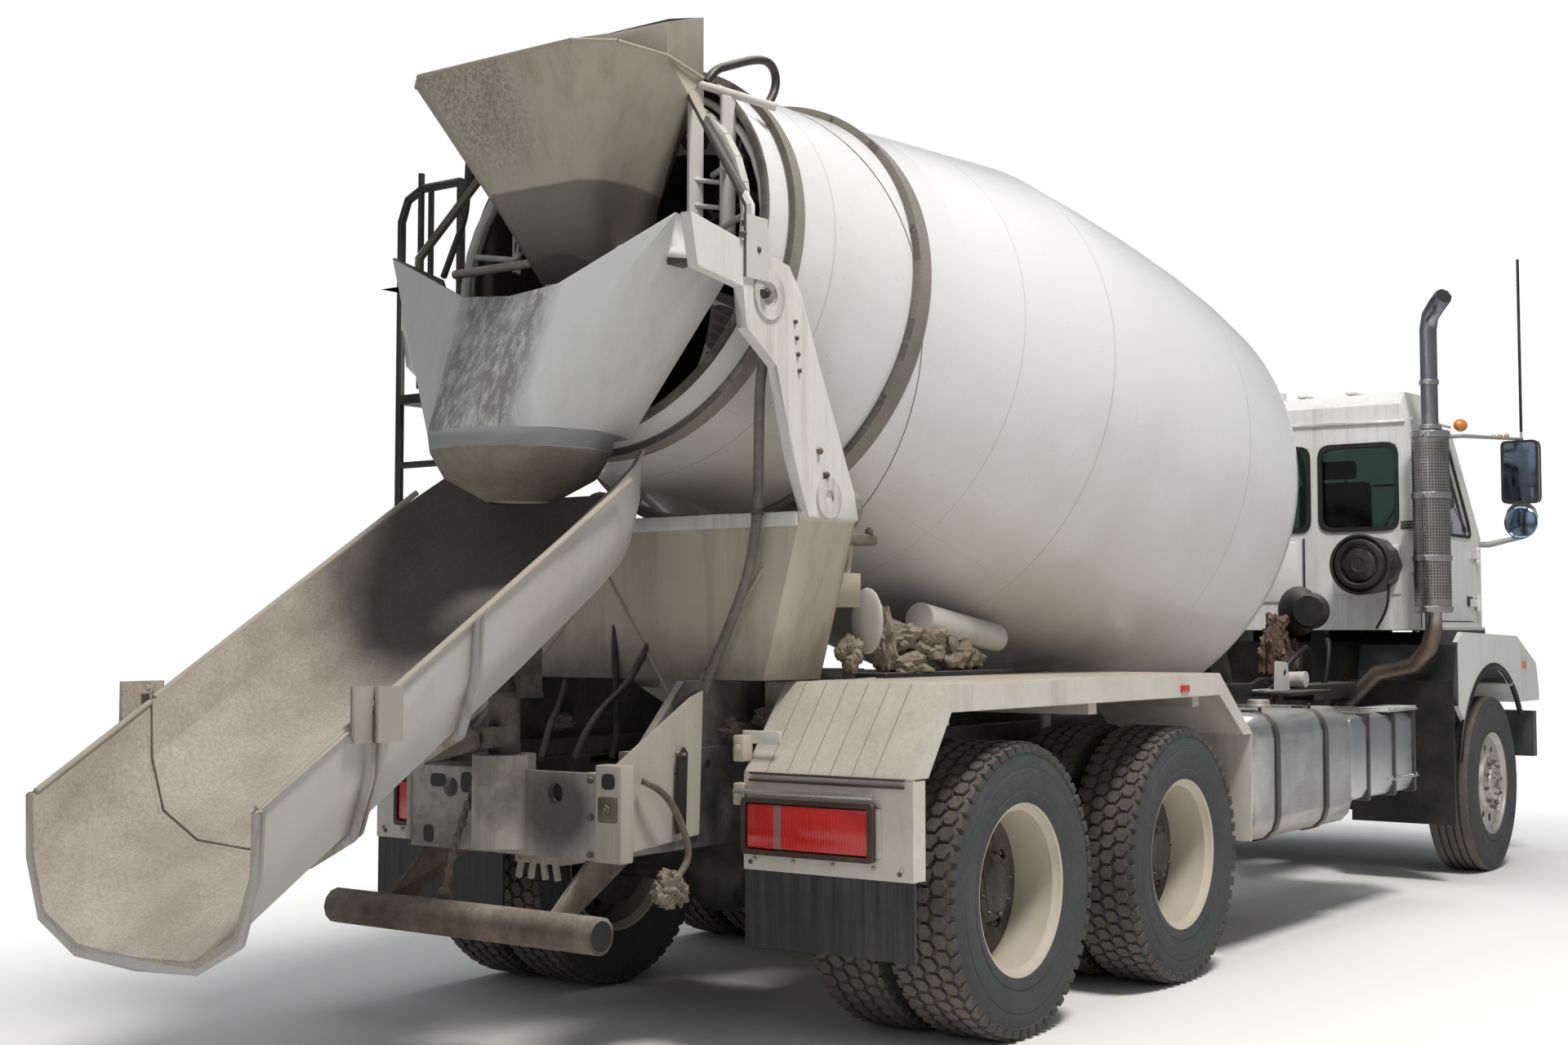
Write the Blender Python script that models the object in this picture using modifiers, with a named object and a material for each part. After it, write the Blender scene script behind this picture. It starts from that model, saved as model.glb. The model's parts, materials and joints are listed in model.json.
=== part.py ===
"""Concrete mixer truck, as separate named solids on its real joints. Metres, +Z up, +X forward.

Every station along the truck is measured from the rearmost axle. The whole truck hangs on one
empty that brings the middle of its length to the origin, with the ground at zero.
"""

import math

import bmesh
import bpy
from mathutils import Matrix, Vector

# Fits and facets
SEAT_GAP = 0.0003
RUNNING_GAP = 0.005
OVERRUN = 0.02
WHEEL_SEGMENTS = 20
DRUM_SEGMENTS = 32
ROUND_SEGMENTS = 12
TUBE_BEVELS = 1
ARC_STEPS = 6

# Wheels and axles
TYRE_RADIUS = 0.525
TYRE_WIDTH = 0.28
RIM_RADIUS = 0.30
RIM_WALL = 0.012
REAR_AXLE_X = 0.0
TANDEM_SPREAD = 1.374
WHEELBASE = 5.98
FRONT_WHEEL_Y = 1.06
OUTER_WHEEL_Y = 1.10
TWIN_SPACING = 0.33
REAR_DISC_INSET = 0.17
DISC_THICKNESS = 0.016
REAR_HUB_RADIUS = 0.12
REAR_HUB_PROUD = 0.10
FRONT_HUB_RADIUS = 0.10
FRONT_HUB_PROUD = 0.025
HUB_INNER_LENGTH = 0.10
SPINDLE_RADIUS = 0.05
SPINDLE_GAP = 0.0007
KINGPIN_Y = 0.86
KINGPIN_RADIUS = 0.025
KINGPIN_BOSS_RADIUS = 0.055
KINGPIN_BOSS_HEIGHT = 0.16
KNUCKLE_PLATE = 0.03
KNUCKLE_GAP = 0.006
BEAM_DROP = 0.10
BEAM_HEIGHT = 0.10
BEAM_WIDTH = 0.12
AXLE_TUBE_RADIUS = 0.085
AXLE_BOWL_RADIUS = 0.20
AXLE_BOWL_LENGTH = 0.34
BRAKE_RADIUS = 0.19
BRAKE_LENGTH = 0.14
SPRING_WIDTH = 0.09
SPRING_THICKNESS = 0.06
SPRING_LENGTH = 1.30
SPRING_RISE = 0.09
HAND_HOLE_COUNT = 10
HAND_HOLE_RADIUS = 0.026

# Frame
RAIL_OUTER_Y = 0.43
RAIL_TOP = 0.98
RAIL_DEPTH = 0.28
RAIL_FLANGE = 0.085
RAIL_WEB = 0.012
FRAME_REAR_X = -1.35
FRAME_FRONT_X = 6.86
END_PLATE = 0.02
CROSS_WIDTH = 0.09
CROSS_TOP_DROP = 0.04
CROSS_HEIGHT = 0.13
CROSS_SHARES = (0.115, 0.255, 0.41, 0.54, 0.69)
SUBFRAME_HEIGHT = 0.06
SUBFRAME_WIDTH = 0.08
SUBFRAME_REAR_X = -1.18
SUBFRAME_FRONT_X = 4.10
WEDGE_FRONT_X = 0.25
WEDGE_SHOULDER_X = -0.92
WEDGE_CREST_X = -0.30
WEDGE_TOP = 1.27
WEDGE_PLATE = 0.03
SWING_SOCKET_RADIUS = 0.11
SWING_SOCKET_HEIGHT = 0.05
SWING_PIN_RADIUS = 0.04
END_HOLE_RADIUS = 0.035
END_HOLE_Y = 0.24
END_HOLE_DROP = 0.07

# Drum
DRUM_X = 2.0
DRUM_Z = 2.294
DRUM_TILT = math.radians(10.5)
DRUM_WALL = 0.009
DRUM_MOUTH = (2.893, 0.695)
DRUM_NECK = (2.747, 0.730)
DRUM_RING = (2.104, 0.845)
DRUM_REAR_SEAM = (0.988, 1.10)
DRUM_MIDDLE_SEAM = (-0.277, 1.17)
DRUM_FRONT_SEAM = (-0.935, 1.145)
DRUM_HEAD = (-1.438, 0.731)
DRUM_NOSE = (-1.551, 0.30)
RING_PROUD = 0.025
RING_WIDTH = 0.08
NECK_BAND_PROUD = 0.018
NECK_BAND_WIDTH = 0.03
BLADE_DEPTH = 0.20
BLADE_THICKNESS = 0.008
BLADE_TURNS = 0.75
BLADE_STEPS = 12
BLADE_COUNT = 2
BLADE_REACH = 1.25
BLADE_MOUTH_INSET = 0.16
ROLLER_RADIUS = 0.10
ROLLER_WIDTH = 0.10
ROLLER_SPREAD = math.radians(35.0)
ROLLER_SHAFT_RADIUS = 0.032
ROLLER_BORE_GAP = 0.0009
ROLLER_CONTACT_GAP = 0.0006
ROLLER_EAR = 0.03
ROLLER_EAR_RADIUS = 0.055
ROLLER_SEGMENTS = 16
GEARBOX_RADIUS = 0.24
GEARBOX_LENGTH = 0.36
GEARBOX_FLANGE_RADIUS = 0.29
GEARBOX_FLANGE = 0.04
DRIVE_GAP = 0.0006
MOTOR_RADIUS = 0.11
MOTOR_LENGTH = 0.24

# Drum pedestals
PEDESTAL_REAR_X = -0.735
PEDESTAL_FRONT_X = -0.39
PEDESTAL_TOP = 1.85
PEDESTAL_TOP_HALF = 0.78
PEDESTAL_FOOT_HALF = 0.62
ARM_INNER_Y = 0.76
ARM_OUTER_Y = 0.80
ARM_TOP = 2.77
ARM_REAR_X = -1.37
ARM_FRONT_X = -0.41
ARM_HOLE_RADIUS = 0.04
ARM_HOLE_X = -0.95
ARM_HOLE_Z = 2.56
FRONT_PEDESTAL_REAR_X = 3.56
FRONT_PEDESTAL_FRONT_X = 3.86
FRONT_PEDESTAL_TOP_HALF = 0.27
FRONT_PEDESTAL_TOP = 1.95

# Hoppers
HOPPER_WALL = 0.006
CHARGE_RIM_Z = 3.38
CHARGE_REAR_X = -1.44
CHARGE_FRONT_X = -0.80
CHARGE_HALF_WIDTH = 0.50
CHARGE_SHIELD_RISE = 0.26
CHARGE_THROAT_Z = 2.93
CHARGE_SPOUT_Z = 2.68
CHARGE_SPOUT_FRONT_X = -0.74
CHARGE_SPOUT_REAR_X = -1.04
CHARGE_SPOUT_HALF = 0.18
CHARGE_THROAT_REAR_X = -1.20
CHARGE_THROAT_HALF = 0.26
DISCHARGE_X = -1.29
DISCHARGE_COLLAR_Z = 2.05
DISCHARGE_COLLAR_RADIUS = 0.315
DISCHARGE_TIP_Z = 1.88
DISCHARGE_TIP_RADIUS = 0.11
DISCHARGE_NOTCH_Z = 2.58
DISCHARGE_NOTCH_HALF = 0.22
DISCHARGE_WING_Z = 2.80
DISCHARGE_WING_HALF = 0.66
DISCHARGE_FRONT_X = -1.0
DISCHARGE_FRONT_Z = 2.11
DISCHARGE_BAND = 0.05
DISCHARGE_LUG_X = -1.16
DISCHARGE_LUG_Y = 0.60
DISCHARGE_LUG_Z = 2.67

# Chute
SWING_X = -1.36
CHUTE_PIVOT_Z = 1.38
CHUTE_PIN_RADIUS = 0.022
CHUTE_SLOPE = math.radians(32.7)
CHUTE_RIM_Z = 1.89
CHUTE_HALF_WIDTH = 0.49
CHUTE_LIP = 0.018
CHUTE_DEPTH = 0.42
CHUTE_WALL = 0.006
CHUTE_BOWL_RADIUS = 0.455
CHUTE_BOWL_FRONT = 0.43
CHUTE_BOWL_CREST_Z = 2.05
CHUTE_BOWL_BACK_Z = 1.92
CHUTE_JOINT_X = -2.40
CHUTE_TIP_X = -2.80
CHUTE_FLANGE = 0.035
CHUTE_FLANGE_THICKNESS = 0.012
CHUTE_FLANGE_SHARES = (0.62,)
CHUTE_FOLD_RAISE = 0.045
CHUTE_FOLD_PIN_RADIUS = 0.010
CHUTE_FOLD_LUG = 0.036
SWIVEL_RADIUS = 0.09
SWIVEL_POST_RADIUS = 0.055
SWIVEL_EAR_Y = 0.10
SWIVEL_EAR = 0.02
CHUTE_KEEL_HALF = 0.06
LIFT_FOOT_X = -1.46
LIFT_FOOT_Z = 1.09
LIFT_EYE_X = -1.95
LIFT_EYE_Z = 1.02
LIFT_BARREL_RADIUS = 0.038
LIFT_BARREL_LENGTH = 0.27
LIFT_ROD_RADIUS = 0.020
LIFT_ROD_OVERLAP = 0.10
LIFT_EYE_RADIUS = 0.034
LIFT_PIN_RADIUS = 0.012
LIFT_EYE_HALF = 0.02

# Fenders, tanks and rear end
FENDER_INNER_Y = 0.57
FENDER_OUTER_Y = 1.25
FENDER_SHEET = 0.008
FENDER_LIP = 0.09
FENDER_REAR_X = -0.77
FENDER_FRONT_X = 2.05
FENDER_TOP = 1.26
FENDER_FOOT = 0.52
LAMP_BOX_DEPTH = 0.07
LAMP_BOX_BOTTOM = 0.63
LAMP_BOX_TOP = 0.955
LAMP_HEIGHT = 0.16
LAMP_WIDTH = 0.50
LAMP_PROUD = 0.012
BRACKET_WIDTH = 0.07
BRACKET_HEIGHT = 0.14
FLAP_THICKNESS = 0.012
FLAP_BOTTOM = 0.37
UNDERRUN_X = -1.55
UNDERRUN_Z = 0.50
UNDERRUN_RADIUS = 0.06
UNDERRUN_HALF = 0.60
UNDERRUN_HANGER_Y = 0.36
TANK_REAR_X = 2.12
TANK_FRONT_X = 3.36
TANK_BOTTOM = 0.49
TANK_TOP = 1.07
TANK_INNER_Y = 0.62
TANK_OUTER_Y = 1.23
TANK_CORNER = 0.11
STRAP_WIDTH = 0.05
STRAP_PROUD = 0.008
STEP_BOX_FRONT_X = 4.38
STEP_BOX_REAR_X = 3.40
STEP_BOX_BOTTOM = 0.60
STEP_BOX_TOP = 1.02
STEP_DEPTH = 0.16
GUARD_X = 5.10
GUARD_THICKNESS = 0.012
GUARD_BOTTOM = 0.34
GUARD_TOP = 1.16
GUARD_INNER_Y = 0.62
GUARD_OUTER_Y = 1.22

# Ladder
LADDER_X = -0.775
LADDER_TUBE = 0.018
LADDER_OUTER_Y = 1.15
LADDER_TOP = 3.20
LADDER_BEND = 0.12
LADDER_PLATFORM_Z = 2.38
LADDER_PLATFORM_FRONT_X = -0.42
LADDER_RUNG_STEP = 0.28
HOSE_RADIUS = 0.018

# Cab
CAB_REAR_X = 5.14
CAB_FRONT_X = 6.36
CAB_BOTTOM = 1.45
CAB_WAIST = 2.03
CAB_TOP = 2.87
CAB_HALF = 1.03
CAB_WALL = 0.04
CAB_TAPER = 0.05
CAB_ROOF_REAR_RISE = 0.09
CAB_VISOR_X = 5.90
CAB_VISOR_Z = 2.70
DOOR_REAR_X = 5.37
DOOR_FRONT_X = 6.20
DOOR_BOTTOM = 1.50
DOOR_TOP = 2.61
DOOR_TOP_FRONT_X = 5.86
DOOR_WAIST = 2.09
DOOR_GAP = 0.006
DOOR_FRAME = 0.055
HINGE_X = 6.235
HINGE_PROUD = 0.018
HINGE_PIN_RADIUS = 0.008
HINGE_KNUCKLE_RADIUS = 0.016
HINGE_KNUCKLE_HEIGHT = 0.05
HINGE_GAP = 0.0008
HINGE_LOW_Z = 1.62
HINGE_HIGH_Z = 1.92
REAR_WINDOW_LOW = 2.05
REAR_WINDOW_HIGH = 2.54
REAR_WINDOW_HALF = 0.37
REAR_SIDE_WINDOW_INNER = 0.45
REAR_SIDE_WINDOW_OUTER = 0.90
WINDSHIELD_HALF = 0.86
MOUNT_POST = 0.09
ARCH_RADIUS = 0.71
ARCH_OUTER_Y = 1.20
ARCH_INNER_Y = 0.64
ARCH_REAR_X = 5.16
ARCH_TOP = 1.44
ARCH_SHEET = 0.025
HOOD_GAP = 0.008
HOOD_SPLIT_X = CAB_FRONT_X + HOOD_GAP / 2
HOOD_FRONT_X = 7.03
HOOD_FRONT_TOP = 1.60
HOOD_BOTTOM = 1.0
HOOD_HALF = 0.62
HOOD_NOSE_HALF = 0.52
HOOD_SHEET = 0.03
GRILLE_HALF = 0.42
GRILLE_BOTTOM = 1.07
GRILLE_TOP = 1.50
GRILLE_SLOTS = 6
HOOD_HINGE_X = 7.0
HOOD_HINGE_Z = 0.965
HOOD_HINGE_Y = 0.30
BUMPER_REAR_X = 6.90
BUMPER_FRONT_X = 7.05
BUMPER_BOTTOM = 0.64
BUMPER_TOP = 0.93
BUMPER_HALF = 1.19
ENGINE_REAR_X = 5.35
ENGINE_FRONT_X = 6.55
ENGINE_HALF = 0.32
ENGINE_BOTTOM = 0.66
ENGINE_TOP = 1.38
GEAR_CASE_RADIUS = 0.17
GEAR_CASE_REAR_X = 4.62
SHAFT_RADIUS = 0.045
SHAFT_REAR_Z = 0.60
SHAFT_FRONT_Z = 0.70
RADIATOR_THICKNESS = 0.10
RADIATOR_HALF = 0.36
RADIATOR_TOP = 1.50

# Cab fittings
CLEANER_Y = -0.76
CLEANER_Z = 1.83
CLEANER_RADIUS = 0.17
CLEANER_LENGTH = 0.24
STACK_X = 5.02
STACK_Y = -1.14
STACK_RADIUS = 0.05
SHIELD_RADIUS = 0.105
SHIELD_BOTTOM = 1.55
SHIELD_TOP = 2.59
STACK_TOP = 3.30
STACK_TIP = 0.12
STACK_FOOT_Y = -0.81
STACK_FOOT_Z = 1.20
MIRROR_X = 6.45
MIRROR_Y = 1.27
MIRROR_HALF_WIDTH = 0.11
MIRROR_THICKNESS = 0.06
MIRROR_BOTTOM = 2.25
MIRROR_TOP = 2.64
MIRROR_ROUND_RADIUS = 0.10
MIRROR_TUBE = 0.014
ANTENNA_TOP = 3.80
ANTENNA_RADIUS = 0.008
BEACON_RADIUS = 0.05
BEACON_HEIGHT = 0.08
DASH_REAR_X = 5.98
DASH_TOP = 2.02
DASH_BOTTOM = 1.78
WHEEL_RIM_RADIUS = 0.22
WHEEL_RIM_TUBE = 0.014
DRIVER_Y = 0.48
SEAT_WIDTH = 0.50
SEAT_REAR_X = 5.24
SEAT_DEPTH = 0.48
SEAT_TOP = 1.82
SEAT_BACK_TOP = 2.45
SEAT_BACK = 0.13
PLINTH_TOP = 1.60

AXLE_Z = TYRE_RADIUS
FORWARD_REAR_AXLE_X = REAR_AXLE_X + TANDEM_SPREAD
FRONT_AXLE_X = REAR_AXLE_X + WHEELBASE
RAIL_BOTTOM = RAIL_TOP - RAIL_DEPTH
SUBFRAME_TOP = RAIL_TOP + SUBFRAME_HEIGHT
LENGTH_CENTRE_X = (CHUTE_TIP_X + BUMPER_FRONT_X) / 2
DRUM_AXIS = Vector((-math.cos(DRUM_TILT), 0, math.sin(DRUM_TILT)))
DRUM_DOWN = Vector((-math.sin(DRUM_TILT), 0, -math.cos(DRUM_TILT)))
DRUM_ORIGIN = Vector((DRUM_X, 0, DRUM_Z))
SIDES = (("left", 1), ("right", -1))

WHITE_PAINT = ((0.82, 0.81, 0.78), 0.45, 0.0)
DRUM_PAINT = ((0.86, 0.86, 0.85), 0.30, 0.0)
BLACK_PAINT = ((0.03, 0.03, 0.035), 0.55, 0.0)
BLACK_PLASTIC = ((0.04, 0.04, 0.045), 0.60, 0.0)
RUBBER = ((0.05, 0.048, 0.045), 0.85, 0.0)
ALUMINIUM = ((0.62, 0.61, 0.59), 0.35, 1.0)
STEEL = ((0.42, 0.40, 0.37), 0.45, 1.0)
WORN_STEEL = ((0.22, 0.20, 0.18), 0.70, 0.6)
CHUTE_PAINT = ((0.78, 0.77, 0.74), 0.5, 0.0)
CLOTH = ((0.12, 0.12, 0.13), 0.9, 0.0)
HOSE_RUBBER = ((0.30, 0.30, 0.30), 0.7, 0.0)


def clear_scene():
    for leftover in list(bpy.data.objects):
        bpy.data.objects.remove(leftover)


def new_collection(name, hidden=False):
    collection = bpy.data.collections.new(name)
    collection.hide_render = hidden
    bpy.context.scene.collection.children.link(collection)
    return collection


clear_scene()
TRUCK_PARTS = new_collection("concrete_mixer_truck")
CUTTERS = new_collection("cutters", hidden=True)


def raw(bm, name="shape", face_out=True):
    """Turns a bmesh into a working object. A shell round a hollow keeps its own facing."""
    if face_out:
        bmesh.ops.recalc_face_normals(bm, faces=bm.faces)
    mesh = bpy.data.meshes.new(name)
    bm.to_mesh(mesh)
    bm.free()
    shape = bpy.data.objects.new(name, mesh)
    CUTTERS.objects.link(shape)
    shape.display_type = "WIRE"
    shape.hide_render = True
    return shape


def evaluated_mesh(shape):
    bpy.context.view_layer.update()
    graph = bpy.context.evaluated_depsgraph_get()
    mesh = bpy.data.meshes.new_from_object(shape.evaluated_get(graph))
    mesh.transform(shape.matrix_world)
    return mesh


def replaced(shape, face_out=True):
    """Bakes a shape's modifiers or its curve into a new working mesh object."""
    mesh = evaluated_mesh(shape)
    bm = bmesh.new()
    bm.from_mesh(mesh)
    bmesh.ops.remove_doubles(bm, verts=bm.verts, dist=0.00001)
    bpy.data.meshes.remove(mesh)
    name = shape.name
    bpy.data.objects.remove(shape)
    return raw(bm, name, face_out)


def block(x, y, z):
    """A box between three (low, high) pairs."""
    bm = bmesh.new()
    bmesh.ops.create_cube(bm, size=1.0)
    low, high = Vector((x[0], y[0], z[0])), Vector((x[1], y[1], z[1]))
    bmesh.ops.scale(bm, vec=high - low, verts=bm.verts)
    bmesh.ops.translate(bm, vec=(low + high) / 2, verts=bm.verts)
    return raw(bm)


def rod(start, end, radius, segments=ROUND_SEGMENTS, end_radius=None):
    """A round bar or cone between two points."""
    start, end = Vector(start), Vector(end)
    run = end - start
    bm = bmesh.new()
    bmesh.ops.create_cone(
        bm,
        cap_ends=True,
        segments=segments,
        radius1=radius,
        radius2=radius if end_radius is None else end_radius,
        depth=run.length,
    )
    turn = run.to_track_quat("Z", "Y").to_matrix().to_4x4()
    bmesh.ops.transform(bm, matrix=Matrix.Translation((start + end) / 2) @ turn, verts=bm.verts)
    return raw(bm)


def prism(outline, axis, low, high):
    """A flat outline pushed along X, Y or Z. Its points are the other two coordinates in order."""
    order = {"X": (2, 0, 1), "Y": (0, 2, 1), "Z": (0, 1, 2)}[axis]
    bm = bmesh.new()
    ring = []
    for point in outline:
        values = (point[0], point[1], low)
        ring.append(bm.verts.new([values[i] for i in order]))
    face = bm.faces.new(ring)
    grown = bmesh.ops.extrude_face_region(bm, geom=[face])
    moved = [v for v in grown["geom"] if isinstance(v, bmesh.types.BMVert)]
    push = [0, 0, high - low]
    bmesh.ops.translate(bm, vec=[push[i] for i in order], verts=moved)
    return raw(bm)


def turned(profile, origin, axis, segments, phase=0.0):
    """Turns (along, radius) points about an axis. The profile starts and ends on that axis or closes."""
    axis = Vector(axis).normalized()
    side = Matrix.Rotation(phase, 3, axis) @ axis.cross(Vector((1, 0, 0))).normalized()
    bm = bmesh.new()
    chain = [bm.verts.new(Vector(origin) + axis * along + side * radius) for along, radius in profile]
    edges = [bm.edges.new(pair) for pair in zip(chain, chain[1:])]
    if profile[0][1] > 0:
        edges.append(bm.edges.new((chain[-1], chain[0])))
    bmesh.ops.spin(
        bm,
        geom=chain + edges,
        cent=origin,
        axis=axis,
        angle=math.tau,
        steps=segments,
        use_merge=True,
    )
    bmesh.ops.remove_doubles(bm, verts=bm.verts, dist=0.00001)
    return raw(bm)


def tube(points, radius, bevels=TUBE_BEVELS, closed=False):
    """A round tube along a poly line, with filled ends."""
    curve = bpy.data.curves.new("tube", "CURVE")
    curve.dimensions = "3D"
    spline = curve.splines.new("POLY")
    spline.points.add(len(points) - 1)
    for knot, point in zip(spline.points, points):
        knot.co = (*point, 1)
    spline.use_cyclic_u = closed
    curve.bevel_depth = radius
    curve.bevel_resolution = bevels
    curve.use_fill_caps = True
    shape = bpy.data.objects.new("tube", curve)
    CUTTERS.objects.link(shape)
    return replaced(shape)


def sheet(loops, thickness, closed=False, cap_first=False, offset=0.0):
    """A skin through open or closed loops of points, with an even thickness."""
    bm = bmesh.new()
    rows = [[bm.verts.new(point) for point in loop] for loop in loops]
    for low, high in zip(rows, rows[1:]):
        pairs = list(zip(low, low[1:], high[1:], high))
        if closed:
            pairs.append((low[-1], low[0], high[0], high[-1]))
        for quad in pairs:
            bm.faces.new(quad)
    if cap_first:
        bm.faces.new(rows[0])
    bmesh.ops.recalc_face_normals(bm, faces=bm.faces)
    shape = raw(bm)
    solid = shape.modifiers.new("wall", "SOLIDIFY")
    solid.thickness = thickness
    solid.offset = offset
    solid.use_even_offset = True
    return replaced(shape)


def loft(loops):
    """A solid through closed loops of points, closed at both ends."""
    bm = bmesh.new()
    rows = [[bm.verts.new(point) for point in loop] for loop in loops]
    for low, high in zip(rows, rows[1:]):
        for i in range(len(low)):
            j = (i + 1) % len(low)
            bm.faces.new((low[i], low[j], high[j], high[i]))
    bm.faces.new(rows[0])
    bm.faces.new(rows[-1])
    return raw(bm)


def with_boolean(target, others, operation):
    for other in others:
        step = target.modifiers.new(operation.lower(), "BOOLEAN")
        step.operation = operation
        step.solver = "EXACT"
        step.object = other
    done = replaced(target, face_out=False)
    for other in others:
        bpy.data.objects.remove(other)
    return done


def fused(pieces):
    return pieces[0] if len(pieces) == 1 else with_boolean(pieces[0], pieces[1:], "UNION")


def cut(target, cutters):
    return with_boolean(target, list(cutters), "DIFFERENCE")


def overlap(target, other):
    return with_boolean(target, [other], "INTERSECT")


def copied(shape):
    twin = shape.copy()
    twin.data = shape.data.copy()
    CUTTERS.objects.link(twin)
    return twin


def mirrored(shape):
    """The same shape on the other side of the truck."""
    bm = bmesh.new()
    bm.from_mesh(shape.data)
    bmesh.ops.scale(bm, vec=(1, -1, 1), verts=bm.verts)
    bmesh.ops.reverse_faces(bm, faces=bm.faces)
    return raw(bm)


def arc(centre, radius, start_degrees, end_degrees, steps=ARC_STEPS):
    points = []
    for i in range(steps + 1):
        angle = math.radians(start_degrees + (end_degrees - start_degrees) * i / steps)
        points.append((centre[0] + radius * math.cos(angle), centre[1] + radius * math.sin(angle)))
    return points


def in_box(shares, x, z):
    """Places (share, share) points between two (low, high) pairs."""
    return [(x[0] + a * (x[1] - x[0]), z[0] + b * (z[1] - z[0])) for a, b in shares]


def finish_of(name, look):
    colour, roughness, metallic = look
    material = bpy.data.materials.new(name)
    material.use_nodes = True
    shader = material.node_tree.nodes["Principled BSDF"]
    shader.inputs["Base Color"].default_value = (*colour, 1)
    shader.inputs["Roughness"].default_value = roughness
    shader.inputs["Metallic"].default_value = metallic
    material.diffuse_color = (*colour, 1)
    return material


def node(name, shape, look, body):
    """Makes a working shape a named part of the truck, carried by a joint's empty."""
    shape.name = name
    shape.data.name = name
    shape.display_type = "TEXTURED"
    shape.hide_render = False
    CUTTERS.objects.unlink(shape)
    TRUCK_PARTS.objects.link(shape)
    shape.data.materials.clear()
    shape.data.materials.append(finish_of(name, look))
    shape.parent = body
    shape.matrix_parent_inverse = Matrix.Translation(-Vector(body["axis_point"]))
    return shape


def body_empty(name, parent=None, axis_point=(0, 0, 0)):
    empty = bpy.data.objects.new(name, None)
    TRUCK_PARTS.objects.link(empty)
    empty["axis_point"] = axis_point
    if parent is None:
        empty.location = (-LENGTH_CENTRE_X, 0, 0)
    else:
        empty.parent = parent
        empty.location = Vector(axis_point) - Vector(parent["axis_point"])
    return empty


TRUCK = body_empty("truck")


def wheel_shell(hub_proud, hub_radius, disc_points, hub_inner, inner_edges, tread_edges):
    """Profile of a wheel about its axle, from the hub's cap round the tyres and back to the bore."""
    bore = SPINDLE_RADIUS + SPINDLE_GAP
    return [
        (hub_proud, 0),
        (hub_proud, hub_radius * 0.8),
        (hub_proud - DISC_THICKNESS, hub_radius),
        *disc_points,
        *tread_edges,
        *inner_edges,
        (hub_inner, hub_radius * 0.95),
        (hub_inner, bore),
        (hub_proud - REAR_HUB_PROUD * 0.5, bore),
        (hub_proud - REAR_HUB_PROUD * 0.5, 0),
    ]


TYRE_SHARES = ((0.46, 0.0), (0.5, 0.45), (0.42, 1.0))


def tyre_points(centre_y):
    """Outline of one tyre from its outer bead over the tread to its inner bead."""
    height = TYRE_RADIUS / math.cos(math.pi / WHEEL_SEGMENTS) - RIM_RADIUS
    outer = [(centre_y + TYRE_WIDTH * a, RIM_RADIUS + height * b) for a, b in TYRE_SHARES]
    inner = [(centre_y - TYRE_WIDTH * a, RIM_RADIUS + height * b) for a, b in reversed(TYRE_SHARES)]
    return outer + inner


def rear_wheel_profile():
    disc_y = OUTER_WHEEL_Y + TYRE_WIDTH / 2 - REAR_DISC_INSET - DISC_THICKNESS
    barrel = RIM_RADIUS - 2 * RIM_WALL
    inner_y = OUTER_WHEEL_Y - TWIN_SPACING
    flange_y = OUTER_WHEEL_Y + TYRE_WIDTH * TYRE_SHARES[0][0]
    disc = [
        (disc_y + DISC_THICKNESS, REAR_HUB_RADIUS),
        (disc_y + DISC_THICKNESS, barrel - RIM_WALL * 2),
        (disc_y + DISC_THICKNESS * 2, barrel),
        (flange_y - RIM_WALL, barrel + RIM_WALL),
    ]
    back_y = inner_y - TYRE_WIDTH * TYRE_SHARES[0][0]
    inner = [
        (back_y + RIM_WALL, barrel + RIM_WALL),
        (disc_y - RIM_WALL, barrel),
        (disc_y, barrel - RIM_WALL * 2),
        (disc_y, REAR_HUB_RADIUS),
    ]
    return wheel_shell(
        disc_y + DISC_THICKNESS + REAR_HUB_PROUD,
        REAR_HUB_RADIUS,
        disc,
        disc_y - HUB_INNER_LENGTH,
        inner,
        tyre_points(OUTER_WHEEL_Y) + tyre_points(inner_y),
    )


def front_wheel_profile():
    disc_y = FRONT_WHEEL_Y + TYRE_WIDTH / 2 - FRONT_HUB_PROUD
    barrel = RIM_RADIUS - 2 * RIM_WALL
    flange_y = FRONT_WHEEL_Y + TYRE_WIDTH * TYRE_SHARES[0][0]
    middle_radius = (barrel + FRONT_HUB_RADIUS) / 2
    disc = [
        (disc_y, FRONT_HUB_RADIUS * 1.3),
        (disc_y - RIM_WALL / 2, middle_radius),
        (disc_y - FRONT_HUB_PROUD * 1.6, barrel - RIM_WALL),
        (flange_y - RIM_WALL, barrel + RIM_WALL / 2),
    ]
    inner = [
        (FRONT_WHEEL_Y - TYRE_WIDTH * TYRE_SHARES[0][0] + RIM_WALL, barrel + RIM_WALL),
        (disc_y - FRONT_HUB_PROUD * 2.4, barrel - RIM_WALL / 2),
        (disc_y - DISC_THICKNESS - RIM_WALL / 2, middle_radius),
        (disc_y - DISC_THICKNESS, FRONT_HUB_RADIUS),
    ]
    return wheel_shell(
        disc_y + FRONT_HUB_PROUD,
        FRONT_HUB_RADIUS,
        disc,
        disc_y - HUB_INNER_LENGTH,
        inner,
        tyre_points(FRONT_WHEEL_Y),
    )


def bore_floor(profile):
    return profile[-1][0]


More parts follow.
